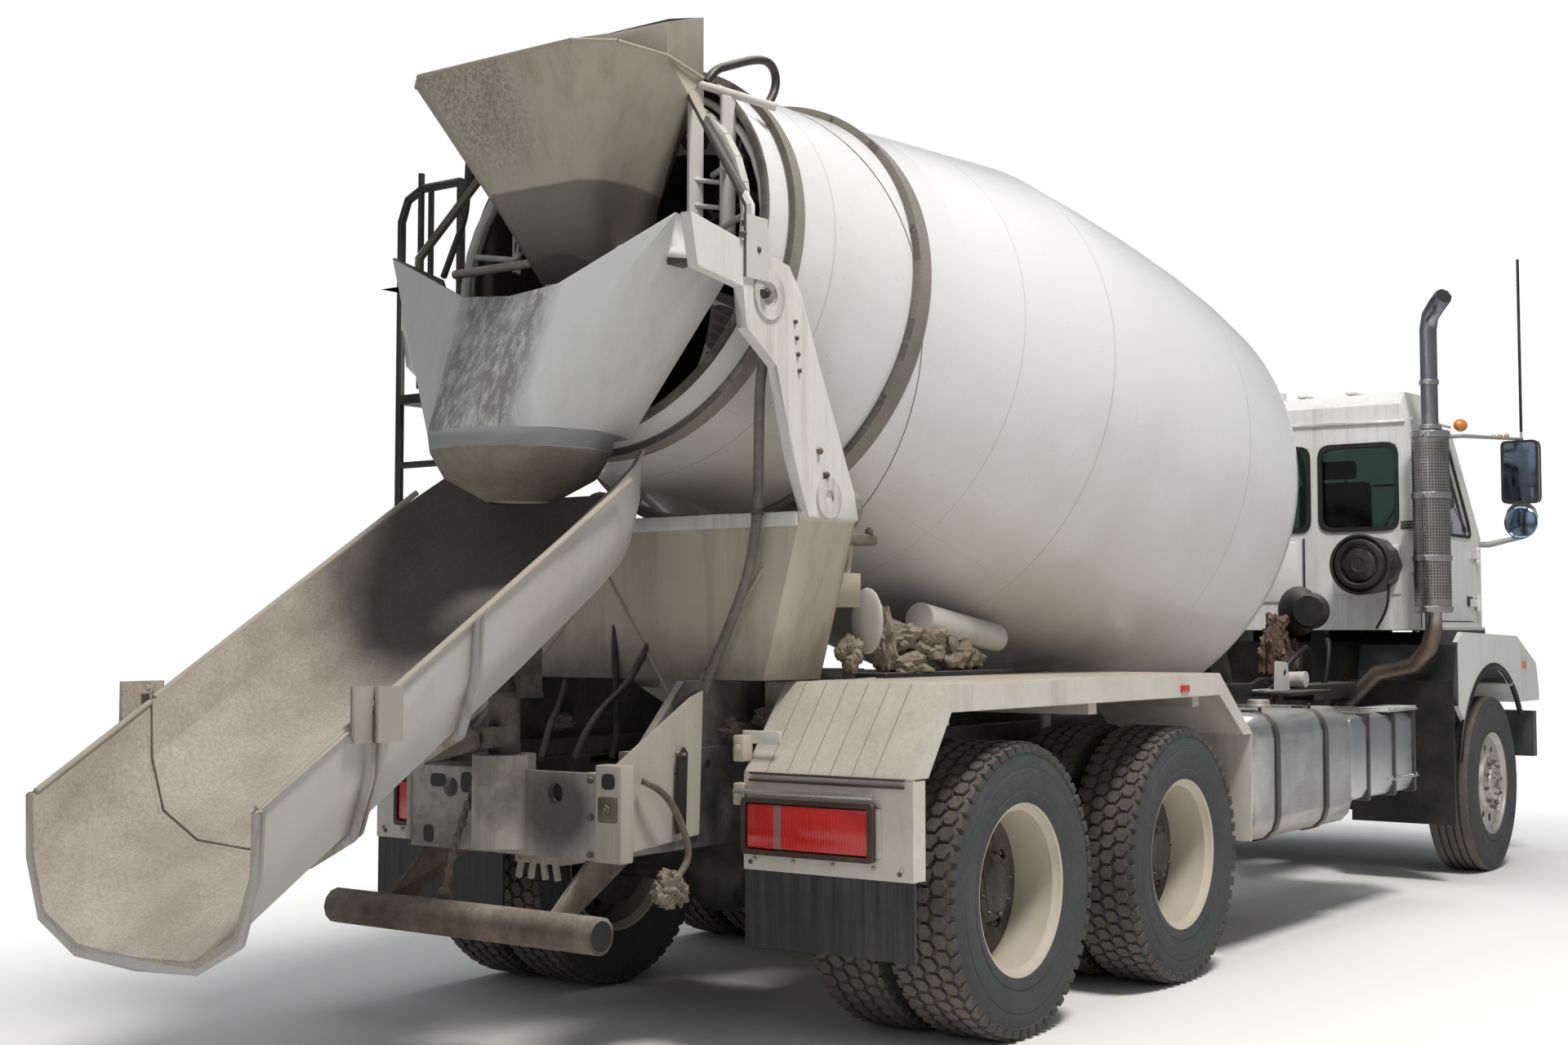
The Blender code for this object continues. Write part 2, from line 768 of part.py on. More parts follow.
def hand_holes(axle_x, disc_radius):
    """Round cutters for the hand holes of a disc wheel, side by side round its axle."""
    bm = bmesh.new()
    for i in range(HAND_HOLE_COUNT):
        angle = math.tau * (i + 0.5) / HAND_HOLE_COUNT
        spot = Vector((axle_x + disc_radius * math.cos(angle), 0, AXLE_Z + disc_radius * math.sin(angle)))
        made = bmesh.ops.create_cone(
            bm,
            cap_ends=True,
            segments=ROUND_SEGMENTS // 2,
            radius1=HAND_HOLE_RADIUS,
            radius2=HAND_HOLE_RADIUS,
            depth=OUTER_WHEEL_Y,
        )
        lay = Matrix.Rotation(math.pi / 2, 4, "X")
        place = Matrix.Translation(spot + Vector((0, OUTER_WHEEL_Y, 0)))
        bmesh.ops.transform(bm, matrix=place @ lay, verts=made["verts"])
    return raw(bm)


def wheel(profile, axle_x):
    """A wheel turned about its axle, with a flat of its tread on the ground."""
    return turned(profile, (axle_x, 0, AXLE_Z), (0, 1, 0), WHEEL_SEGMENTS, math.pi / WHEEL_SEGMENTS)


def rear_wheels():
    barrel = RIM_RADIUS - 2 * RIM_WALL
    for axle, axle_x in (("1", REAR_AXLE_X), ("2", FORWARD_REAR_AXLE_X)):
        for side, sign in SIDES:
            holes = hand_holes(axle_x, (barrel + REAR_HUB_RADIUS) / 2)
            shape = cut(wheel(rear_wheel_profile(), axle_x), [holes])
            if sign < 0:
                other = mirrored(shape)
                bpy.data.objects.remove(shape)
                shape = other
            hub = body_empty(f"wheel_axis_rear{axle}_{side}", TRUCK, (axle_x, sign * OUTER_WHEEL_Y, AXLE_Z))
            node(f"twin_wheel_rear{axle}_{side}", shape, RUBBER, hub)


def rear_axles():
    for axle, axle_x in (("1", REAR_AXLE_X), ("2", FORWARD_REAR_AXLE_X)):
        tip = bore_floor(rear_wheel_profile()) - SPINDLE_GAP
        drum_outer = OUTER_WHEEL_Y + TYRE_WIDTH / 2 - REAR_DISC_INSET - HUB_INNER_LENGTH - 2 * OVERRUN
        centre = Vector((axle_x, 0, AXLE_Z))
        half = [
            (tip, 0),
            (tip, SPINDLE_RADIUS),
            (drum_outer, SPINDLE_RADIUS),
            (drum_outer, BRAKE_RADIUS),
            (drum_outer - BRAKE_LENGTH, BRAKE_RADIUS),
            (drum_outer - BRAKE_LENGTH, AXLE_TUBE_RADIUS),
        ]
        profile = half + [(-along, radius) for along, radius in reversed(half)]
        pieces = [
            turned(profile, centre, (0, 1, 0), ROUND_SEGMENTS),
            rod(
                centre - Vector((AXLE_BOWL_LENGTH * 0.6, 0, 0)),
                centre + Vector((AXLE_BOWL_LENGTH * 0.5, 0, 0)),
                AXLE_BOWL_RADIUS * 0.75,
                end_radius=AXLE_BOWL_RADIUS,
            ),
        ]
        for _, sign in SIDES:
            pieces.append(
                block(
                    (axle_x - SPRING_WIDTH, axle_x + SPRING_WIDTH),
                    sorted((sign * (RAIL_OUTER_Y - RAIL_FLANGE), sign * RAIL_OUTER_Y)),
                    (AXLE_Z, RAIL_BOTTOM - SEAT_GAP),
                )
            )
        node(f"rear_axle_{axle}", fused(pieces), BLACK_PAINT, TRUCK)


def front_axle():
    """Drop beam with its kingpin bosses and the two leaf springs that carry the frame."""
    beam_top = AXLE_Z - BEAM_DROP / 2
    boss_low = AXLE_Z - KINGPIN_BOSS_HEIGHT / 2
    inner_y = KINGPIN_Y - KINGPIN_BOSS_RADIUS / 2
    outline = [
        (-inner_y, AXLE_Z + BEAM_HEIGHT / 2),
        (-inner_y, AXLE_Z - BEAM_HEIGHT / 2),
        (-RAIL_OUTER_Y, beam_top - BEAM_HEIGHT - BEAM_DROP / 2),
        (RAIL_OUTER_Y, beam_top - BEAM_HEIGHT - BEAM_DROP / 2),
        (inner_y, AXLE_Z - BEAM_HEIGHT / 2),
        (inner_y, AXLE_Z + BEAM_HEIGHT / 2),
        (RAIL_OUTER_Y, beam_top - BEAM_DROP / 2),
        (-RAIL_OUTER_Y, beam_top - BEAM_DROP / 2),
    ]
    pieces = [prism(outline, "X", FRONT_AXLE_X - BEAM_WIDTH / 2, FRONT_AXLE_X + BEAM_WIDTH / 2)]
    bores = []
    spring_low = beam_top - BEAM_DROP / 2 - SPRING_THICKNESS / 4
    for _, sign in SIDES:
        pin = (FRONT_AXLE_X, sign * KINGPIN_Y)
        pieces.append(rod((*pin, boss_low), (*pin, boss_low + KINGPIN_BOSS_HEIGHT), KINGPIN_BOSS_RADIUS))
        bores.append(
            rod(
                (*pin, boss_low - OVERRUN),
                (*pin, boss_low + KINGPIN_BOSS_HEIGHT + OVERRUN),
                KINGPIN_RADIUS + SPINDLE_GAP,
                WHEEL_SEGMENTS,
            )
        )
        half = SPRING_LENGTH / 2
        leaf = [
            (FRONT_AXLE_X - half, spring_low + SPRING_RISE),
            (FRONT_AXLE_X - half / 2, spring_low + SPRING_RISE / 4),
            (FRONT_AXLE_X + half / 2, spring_low + SPRING_RISE / 4),
            (FRONT_AXLE_X + half, spring_low + SPRING_RISE),
            (FRONT_AXLE_X + half, RAIL_BOTTOM - SEAT_GAP),
            (FRONT_AXLE_X + half - SPRING_THICKNESS, RAIL_BOTTOM - SEAT_GAP),
            (FRONT_AXLE_X + half / 2, spring_low + SPRING_RISE / 4 + SPRING_THICKNESS),
            (FRONT_AXLE_X - half / 2, spring_low + SPRING_RISE / 4 + SPRING_THICKNESS),
            (FRONT_AXLE_X - half + SPRING_THICKNESS, RAIL_BOTTOM - SEAT_GAP),
            (FRONT_AXLE_X - half, RAIL_BOTTOM - SEAT_GAP),
        ]
        near, far = sorted((sign * (RAIL_OUTER_Y - SPRING_WIDTH), sign * RAIL_OUTER_Y))
        pieces.append(prism(leaf, "Y", near, far))
        pad = (FRONT_AXLE_X - BEAM_WIDTH / 2, FRONT_AXLE_X + BEAM_WIDTH / 2)
        pieces.append(block(pad, (near, far), (spring_low - SPRING_THICKNESS, spring_low + SPRING_RISE)))
    node("front_axle", cut(fused(pieces), bores), BLACK_PAINT, TRUCK)


def steered_wheels():
    boss_low = AXLE_Z - KINGPIN_BOSS_HEIGHT / 2 - KNUCKLE_GAP
    boss_high = AXLE_Z + KINGPIN_BOSS_HEIGHT / 2 + KNUCKLE_GAP
    web_y = KINGPIN_Y + KINGPIN_BOSS_RADIUS + KNUCKLE_GAP
    tip = bore_floor(front_wheel_profile()) - SPINDLE_GAP
    half = KINGPIN_BOSS_RADIUS
    for side, sign in SIDES:
        pin = (FRONT_AXLE_X, sign * KINGPIN_Y)
        span_y = sorted((sign * (KINGPIN_Y - half / 2), sign * (web_y + KNUCKLE_PLATE)))
        span_x = (FRONT_AXLE_X - half, FRONT_AXLE_X + half)
        pieces = [
            block(span_x, span_y, (boss_high, boss_high + KNUCKLE_PLATE)),
            block(span_x, span_y, (boss_low - KNUCKLE_PLATE, boss_low)),
            block(
                span_x,
                sorted((sign * web_y, sign * (web_y + KNUCKLE_PLATE))),
                (boss_low - KNUCKLE_PLATE / 2, boss_high + KNUCKLE_PLATE / 2),
            ),
            rod(
                (*pin, boss_low - KNUCKLE_PLATE / 2),
                (*pin, boss_high + KNUCKLE_PLATE / 2),
                KINGPIN_RADIUS,
                WHEEL_SEGMENTS,
            ),
            rod(
                (FRONT_AXLE_X, sign * (web_y + KNUCKLE_PLATE / 2), AXLE_Z),
                (FRONT_AXLE_X, sign * tip, AXLE_Z),
                SPINDLE_RADIUS,
                WHEEL_SEGMENTS,
            ),
        ]
        steering = body_empty(f"kingpin_{side}", TRUCK, (*pin, AXLE_Z))
        node(f"knuckle_{side}", fused(pieces), BLACK_PAINT, steering)
        shape = wheel(front_wheel_profile(), FRONT_AXLE_X)
        if sign < 0:
            other = mirrored(shape)
            bpy.data.objects.remove(shape)
            shape = other
        axle = (FRONT_AXLE_X, sign * FRONT_WHEEL_Y, AXLE_Z)
        hub = body_empty(f"wheel_axis_front_{side}", steering, axle)
        node(f"wheel_front_{side}", shape, RUBBER, hub)


def frame():
    """Two channel rails, their cross members, the subframe with its rear wedges and the swing socket."""
    pieces = []
    for _, sign in SIDES:
        outer, web = sign * RAIL_OUTER_Y, sign * (RAIL_OUTER_Y - RAIL_WEB)
        lip = sign * (RAIL_OUTER_Y - RAIL_FLANGE)
        channel = [
            (outer, RAIL_BOTTOM),
            (lip, RAIL_BOTTOM),
            (lip, RAIL_BOTTOM + RAIL_WEB),
            (web, RAIL_BOTTOM + RAIL_WEB),
            (web, RAIL_TOP - RAIL_WEB),
            (lip, RAIL_TOP - RAIL_WEB),
            (lip, RAIL_TOP),
            (outer, RAIL_TOP),
        ]
        pieces.append(prism(channel, "X", FRAME_REAR_X, FRAME_FRONT_X))
        inner = sorted((outer, sign * (RAIL_OUTER_Y - SUBFRAME_WIDTH)))
        pieces.append(
            block((SUBFRAME_REAR_X, SUBFRAME_FRONT_X), inner, (RAIL_TOP - RAIL_WEB / 2, SUBFRAME_TOP))
        )
        wedge = [
            (SUBFRAME_REAR_X + OVERRUN, SUBFRAME_TOP - RAIL_WEB),
            (WEDGE_SHOULDER_X, WEDGE_TOP),
            (WEDGE_CREST_X, WEDGE_TOP),
            (WEDGE_FRONT_X, SUBFRAME_TOP - RAIL_WEB),
        ]
        inner_face = RAIL_OUTER_Y - RAIL_WEB
        wedge_y = sorted((sign * inner_face, sign * (inner_face - WEDGE_PLATE)))
        pieces.append(prism(wedge, "Y", *wedge_y))
    inside = RAIL_OUTER_Y - RAIL_WEB / 2
    span = (-inside, inside)
    for share in CROSS_SHARES:
        x = FRAME_REAR_X + share * (FRAME_FRONT_X - FRAME_REAR_X)
        top = RAIL_TOP - CROSS_TOP_DROP
        pieces.append(block((x - CROSS_WIDTH / 2, x + CROSS_WIDTH / 2), span, (top - CROSS_HEIGHT, top)))
    ends = (FRAME_REAR_X - END_PLATE, FRAME_REAR_X + END_PLATE / 2)
    pieces.append(block(ends, (-RAIL_OUTER_Y, RAIL_OUTER_Y), (RAIL_BOTTOM, RAIL_TOP)))
    front = (FRAME_FRONT_X - END_PLATE / 2, FRAME_FRONT_X + END_PLATE / 2)
    front_z = (RAIL_BOTTOM + CROSS_TOP_DROP, RAIL_TOP - CROSS_TOP_DROP)
    pieces.append(block(front, (-RAIL_OUTER_Y, RAIL_OUTER_Y), front_z))
    socket = (SWING_X, 0)
    socket_top = RAIL_TOP + SWING_SOCKET_HEIGHT
    pieces.append(rod((*socket, RAIL_BOTTOM + END_PLATE), (*socket, socket_top), SWING_SOCKET_RADIUS))
    holes = [
        rod(
            (*socket, RAIL_TOP - SWING_SOCKET_HEIGHT),
            (*socket, RAIL_TOP + SWING_SOCKET_HEIGHT + OVERRUN),
            SWING_PIN_RADIUS + SPINDLE_GAP,
            WHEEL_SEGMENTS,
        )
    ]
    for _, sign in SIDES:
        hole_y, hole_z = sign * END_HOLE_Y, RAIL_TOP - END_HOLE_DROP
        holes.append(
            rod((ends[0] - OVERRUN, hole_y, hole_z), (ends[1] + OVERRUN, hole_y, hole_z), END_HOLE_RADIUS)
        )
    node("frame", cut(fused(pieces), holes), BLACK_PAINT, TRUCK)


def engine():
    """The engine as one block, with its gearbox and the shaft that runs back to the rear axles."""
    middle = (ENGINE_BOTTOM + ENGINE_TOP) / 2
    gearbox_z = SHAFT_FRONT_Z + GEAR_CASE_RADIUS / 2
    shaft_end = (FORWARD_REAR_AXLE_X + AXLE_BOWL_LENGTH * 0.5 + RUNNING_GAP / 2, 0, SHAFT_REAR_Z)
    pieces = [
        block((ENGINE_REAR_X, ENGINE_FRONT_X), (-ENGINE_HALF, ENGINE_HALF), (ENGINE_BOTTOM, ENGINE_TOP)),
        rod((GEAR_CASE_REAR_X, 0, gearbox_z), (ENGINE_REAR_X + OVERRUN, 0, gearbox_z), GEAR_CASE_RADIUS),
        rod(shaft_end, (GEAR_CASE_REAR_X + OVERRUN, 0, SHAFT_FRONT_Z), SHAFT_RADIUS),
    ]
    for _, sign in SIDES:
        foot = sorted((sign * (ENGINE_HALF - OVERRUN), sign * (RAIL_OUTER_Y - RAIL_WEB - SEAT_GAP)))
        pieces.append(
            block(
                (ENGINE_REAR_X + OVERRUN, ENGINE_REAR_X + MOUNT_POST + OVERRUN),
                foot,
                (middle - MOUNT_POST * 1.8, middle - MOUNT_POST),
            )
        )
    node("engine", fused(pieces), WORN_STEEL, TRUCK)
    radiator = block(
        (ENGINE_FRONT_X + OVERRUN, ENGINE_FRONT_X + OVERRUN + RADIATOR_THICKNESS),
        (-RADIATOR_HALF, RADIATOR_HALF),
        (RAIL_TOP + SEAT_GAP, RADIATOR_TOP),
    )
    stand = block(
        (ENGINE_FRONT_X + OVERRUN, ENGINE_FRONT_X + OVERRUN + RADIATOR_THICKNESS),
        (-RAIL_OUTER_Y, RAIL_OUTER_Y),
        (RAIL_TOP + SEAT_GAP, RAIL_TOP + CROSS_TOP_DROP),
    )
    node("radiator", fused([radiator, stand]), BLACK_PAINT, TRUCK)


def rear_pedestal():
    """Box that stands on the wedges, with the side arms of the hoppers and the roller brackets."""
    box = loft(
        [
            [
                (PEDESTAL_REAR_X, -half, z),
                (PEDESTAL_FRONT_X, -half, z),
                (PEDESTAL_FRONT_X, half, z),
                (PEDESTAL_REAR_X, half, z),
            ]
            for z, half in ((WEDGE_TOP + SEAT_GAP, PEDESTAL_FOOT_HALF), (PEDESTAL_TOP, PEDESTAL_TOP_HALF))
        ]
    )
    arm_shares = (
        (0.0, 1.0), (0.56, 0.90), (0.635, 0.81), (0.735, 0.59), (0.97, 0.11), (1.0, 0.0),
        (0.68, 0.0), (0.59, 0.20), (0.485, 0.53), (0.31, 0.645), (0.29, 0.785), (0.04, 0.82),
    )
    outline = in_box(arm_shares, (ARM_REAR_X, ARM_FRONT_X), (PEDESTAL_TOP - OVERRUN, ARM_TOP))
    pieces = [box]
    holes = []
    shafts = []
    for _, sign in SIDES:
        pieces.append(prism(outline, "Y", *sorted((sign * ARM_INNER_Y, sign * ARM_OUTER_Y))))
        holes.append(
            rod(
                (ARM_HOLE_X, sign * (ARM_INNER_Y - OVERRUN), ARM_HOLE_Z),
                (ARM_HOLE_X, sign * (ARM_OUTER_Y + OVERRUN), ARM_HOLE_Z),
                ARM_HOLE_RADIUS,
            )
        )
        centre = roller_centre(sign)
        for end in (-1, 1):
            near = centre + DRUM_AXIS * end * (ROLLER_WIDTH / 2 + RUNNING_GAP)
            far = near + DRUM_AXIS * end * ROLLER_EAR
            pieces.append(rod(near, far, ROLLER_EAR_RADIUS))
            drop = DRUM_DOWN * (near.z - PEDESTAL_TOP + ROLLER_RADIUS * 2.2)
            ear = [(p.x, p.z) for p in (near, far, far + drop, near + drop)]
            ear_y = (near.y - ROLLER_EAR_RADIUS * 0.9, near.y + ROLLER_EAR_RADIUS * 0.9)
            pieces.append(prism(ear, "Y", *ear_y))
        shafts.append(
            rod(
                centre - DRUM_AXIS * (ROLLER_WIDTH / 2 + ROLLER_EAR / 2),
                centre + DRUM_AXIS * (ROLLER_WIDTH / 2 + ROLLER_EAR / 2),
                ROLLER_SHAFT_RADIUS,
                ROLLER_SEGMENTS,
            )
        )
        reach = centre.x + ROLLER_WIDTH / 2 + RUNNING_GAP + ROLLER_EAR
        pieces.append(
            block(
                (PEDESTAL_FRONT_X - OVERRUN, reach),
                (centre.y - ROLLER_EAR_RADIUS * 1.2, centre.y + ROLLER_EAR_RADIUS * 1.2),
                (PEDESTAL_TOP - ROLLER_RADIUS * 3.2, PEDESTAL_TOP - ROLLER_RADIUS * 1.95),
            )
        )
    node("rear_pedestal", cut(fused(pieces + shafts), holes), WHITE_PAINT, TRUCK)


def roller_centre(sign):
    ring_centre = DRUM_ORIGIN + DRUM_AXIS * DRUM_RING[0]
    ring_radius = DRUM_RING[1] + RING_PROUD
    reach = ring_radius + ROLLER_CONTACT_GAP + ROLLER_RADIUS
    return (
        ring_centre
        + DRUM_DOWN * reach * math.cos(ROLLER_SPREAD)
        + Vector((0, sign * reach * math.sin(ROLLER_SPREAD), 0))
    )


def rollers():
    half = ROLLER_WIDTH / 2
    bore = ROLLER_SHAFT_RADIUS + ROLLER_BORE_GAP
    profile = [(half, bore), (half, ROLLER_RADIUS), (-half, ROLLER_RADIUS), (-half, bore)]
    for side, sign in SIDES:
        centre = roller_centre(sign)
        axis = body_empty(f"roller_axis_{side}", TRUCK, tuple(centre))
        node(f"ring_roller_{side}", turned(profile, centre, DRUM_AXIS, ROLLER_SEGMENTS), STEEL, axis)


def drum():
    """Drum skin with its track ring, open at the mouth, and the spiral blades behind it."""
    ring_s, ring_r = DRUM_RING
    neck_s, neck_r = DRUM_NECK
    outside = [
        DRUM_MOUTH,
        (neck_s + NECK_BAND_WIDTH, neck_r),
        (neck_s + NECK_BAND_WIDTH, neck_r + NECK_BAND_PROUD),
        (neck_s - NECK_BAND_WIDTH, neck_r + NECK_BAND_PROUD),
        (neck_s - NECK_BAND_WIDTH, neck_r),
        (ring_s + RING_WIDTH / 2, ring_r),
        (ring_s + RING_WIDTH / 2, ring_r + RING_PROUD),
        (ring_s - RING_WIDTH / 2, ring_r + RING_PROUD),
        (ring_s - RING_WIDTH / 2, ring_r + DRUM_WALL),
        DRUM_REAR_SEAM,
        DRUM_MIDDLE_SEAM,
        DRUM_FRONT_SEAM,
        DRUM_HEAD,
        DRUM_NOSE,
        (DRUM_NOSE[0], 0),
    ]
    stations = (DRUM_NOSE, DRUM_HEAD, DRUM_FRONT_SEAM, DRUM_MIDDLE_SEAM, DRUM_REAR_SEAM, DRUM_RING)
    inside = [(DRUM_NOSE[0] + DRUM_WALL, 0)]
    inside += [(s + DRUM_WALL * (s < DRUM_FRONT_SEAM[0]), r - DRUM_WALL) for s, r in stations]
    inside.append((DRUM_MOUTH[0], DRUM_MOUTH[1] - DRUM_WALL))
    pieces = [turned_shell(outside + inside, DRUM_ORIGIN, DRUM_AXIS, DRUM_SEGMENTS)]
    for start in range(BLADE_COUNT):
        pieces.append(blade(math.tau * start / BLADE_COUNT))
    axis = body_empty("drum_axis", TRUCK, tuple(DRUM_ORIGIN))
    node("drum", fused(pieces), DRUM_PAINT, axis)


def turned_shell(path, origin, axis, segments):
    """Turns a path that touches the axis at two of its points and closes on itself off the axis."""
    axis = Vector(axis).normalized()
    side = axis.orthogonal().normalized()
    bm = bmesh.new()
    chain = [bm.verts.new(Vector(origin) + axis * along + side * radius) for along, radius in path]
    edges = []
    for (a, b), (start, end) in zip(zip(chain, chain[1:] + chain[:1]), zip(path, path[1:] + path[:1])):
        if start[1] > 0 or end[1] > 0:
            edges.append(bm.edges.new((a, b)))
    bmesh.ops.spin(
        bm, geom=chain + edges, cent=origin, axis=axis, angle=math.tau, steps=segments, use_merge=True
    )
    bmesh.ops.remove_doubles(bm, verts=bm.verts, dist=0.00001)
    return raw(bm)


def drum_radius_at(along):
    """Outer radius of the drum's cone between the rear seam and the mouth."""
    stations = (DRUM_REAR_SEAM, DRUM_RING, DRUM_NECK, DRUM_MOUTH)
    for (s0, r0), (s1, r1) in zip(stations, stations[1:]):
        if along <= s1:
            break
    return r0 + (r1 - r0) * (along - s0) / (s1 - s0)


def blade(phase):
    """One spiral strip whose outer edge is buried in the drum's wall."""
    loops = []
    side = DRUM_AXIS.orthogonal().normalized()
    start = DRUM_MOUTH[0] - BLADE_MOUTH_INSET
    for i in range(BLADE_STEPS + 1):
        share = i / BLADE_STEPS
        along = start - BLADE_REACH * share
        angle = phase + math.tau * BLADE_TURNS * share
        out = Matrix.Rotation(angle, 3, DRUM_AXIS) @ side
        outer = drum_radius_at(along) - DRUM_WALL * 0.55
        centre = DRUM_ORIGIN + DRUM_AXIS * along
        loops.append([centre + out * outer, centre + out * (outer - BLADE_DEPTH)])
    return sheet(loops, BLADE_THICKNESS)


def drum_drive():
    """Gearbox on the drum's nose, and the front pedestal that carries it."""
    nose = DRUM_ORIGIN + DRUM_AXIS * (DRUM_NOSE[0] - DRIVE_GAP)
    back = nose - DRUM_AXIS * GEARBOX_LENGTH
    pieces = [
        rod(nose, back, GEARBOX_RADIUS, ROUND_SEGMENTS),
        rod(nose, nose - DRUM_AXIS * GEARBOX_FLANGE, GEARBOX_FLANGE_RADIUS, ROUND_SEGMENTS),
        rod(back + DRUM_AXIS * OVERRUN, back - DRUM_AXIS * MOTOR_LENGTH, MOTOR_RADIUS, ROUND_SEGMENTS),
    ]
    node("drum_gearbox", fused(pieces), WORN_STEEL, TRUCK)
    outline = [
        (-RAIL_OUTER_Y, SUBFRAME_TOP + SEAT_GAP),
        (RAIL_OUTER_Y, SUBFRAME_TOP + SEAT_GAP),
        (FRONT_PEDESTAL_TOP_HALF, FRONT_PEDESTAL_TOP),
        (-FRONT_PEDESTAL_TOP_HALF, FRONT_PEDESTAL_TOP),
    ]
    stand = prism(outline, "X", FRONT_PEDESTAL_REAR_X + GEARBOX_FLANGE, FRONT_PEDESTAL_FRONT_X)
    saddle = rod(
        nose + DRUM_AXIS * OVERRUN, back - DRUM_AXIS * MOTOR_LENGTH, GEARBOX_RADIUS + SEAT_GAP, ROUND_SEGMENTS
    )
    flange_room = rod(
        nose + DRUM_AXIS * OVERRUN,
        nose - DRUM_AXIS * (GEARBOX_FLANGE + SEAT_GAP),
        GEARBOX_FLANGE_RADIUS + SEAT_GAP,
        ROUND_SEGMENTS,
    )
    window_half = FRONT_PEDESTAL_TOP_HALF * 0.6
    window = block(
        (FRONT_PEDESTAL_REAR_X, FRONT_PEDESTAL_FRONT_X + OVERRUN),
        (-window_half, window_half),
        (SUBFRAME_TOP + window_half / 2, SUBFRAME_TOP + window_half * 2),
    )
    node("front_pedestal", cut(stand, [saddle, flange_room, window]), WHITE_PAINT, TRUCK)


def hopper_ring(rear_x, front_x, half, heights):
    """Ten points round a hopper from its rear left corner, mirrored across the truck."""
    shares = ((0.0, 0.71), (0.15, 0.94), (0.49, 1.0), (0.94, 0.86), (1.0, 0.5))
    left = [
        (rear_x + a * (front_x - rear_x), half * b, z) for (a, b), z in zip(shares, heights)
    ]
    return left + [(x, -y, z) for x, y, z in reversed(left)]


def charge_hopper():
    """Funnel with a raised shield, its spout in the drum's mouth and its legs on the side arms."""
    flat = [CHARGE_RIM_Z] * 5
    rise_shares = (0.0, 0.12, 0.45, 0.85, 1.0)
    shield = [CHARGE_RIM_Z + CHARGE_SHIELD_RISE * share for share in rise_shares]
    shield[0] += HOPPER_WALL
    throat_front = CHARGE_SPOUT_FRONT_X - 4 * OVERRUN
    loops = [
        hopper_ring(CHARGE_REAR_X, CHARGE_FRONT_X, CHARGE_HALF_WIDTH, shield),
        hopper_ring(CHARGE_REAR_X, CHARGE_FRONT_X, CHARGE_HALF_WIDTH, flat),
        hopper_ring(CHARGE_THROAT_REAR_X, throat_front, CHARGE_THROAT_HALF, [CHARGE_THROAT_Z] * 5),
        hopper_ring(CHARGE_SPOUT_REAR_X, CHARGE_SPOUT_FRONT_X, CHARGE_SPOUT_HALF, [CHARGE_SPOUT_Z] * 5),
    ]
    pieces = [sheet(loops, HOPPER_WALL, closed=True)]
    rim_x = CHARGE_FRONT_X - 4 * OVERRUN
    leg_x = ARM_HOLE_X - ARM_HOLE_RADIUS * 2
    for _, sign in SIDES:
        top = (rim_x, sign * (CHARGE_HALF_WIDTH - OVERRUN * 5), CHARGE_RIM_Z - OVERRUN * 2)
        foot = (leg_x, sign * (ARM_INNER_Y + ARM_OUTER_Y) / 2, ARM_TOP + OVERRUN)
        pieces.append(tube([foot, (leg_x, foot[1], ARM_TOP + OVERRUN * 4), top], LADDER_TUBE))
        plate = block(
            (leg_x - OVERRUN * 3, leg_x + OVERRUN * 3),
            sorted((sign * (ARM_OUTER_Y + SEAT_GAP), sign * (ARM_OUTER_Y + HOPPER_WALL * 2))),
            (ARM_HOLE_Z + ARM_HOLE_RADIUS, ARM_TOP + OVERRUN * 2),
        )
        pad = block(
            (leg_x - OVERRUN, leg_x + OVERRUN),
            sorted((sign * ARM_INNER_Y, sign * (ARM_OUTER_Y + HOPPER_WALL))),
            (ARM_TOP + OVERRUN / 2, ARM_TOP + OVERRUN * 1.5),
        )
        pieces += [plate, pad]
    node("charge_hopper", fused(pieces), WHITE_PAINT, TRUCK)


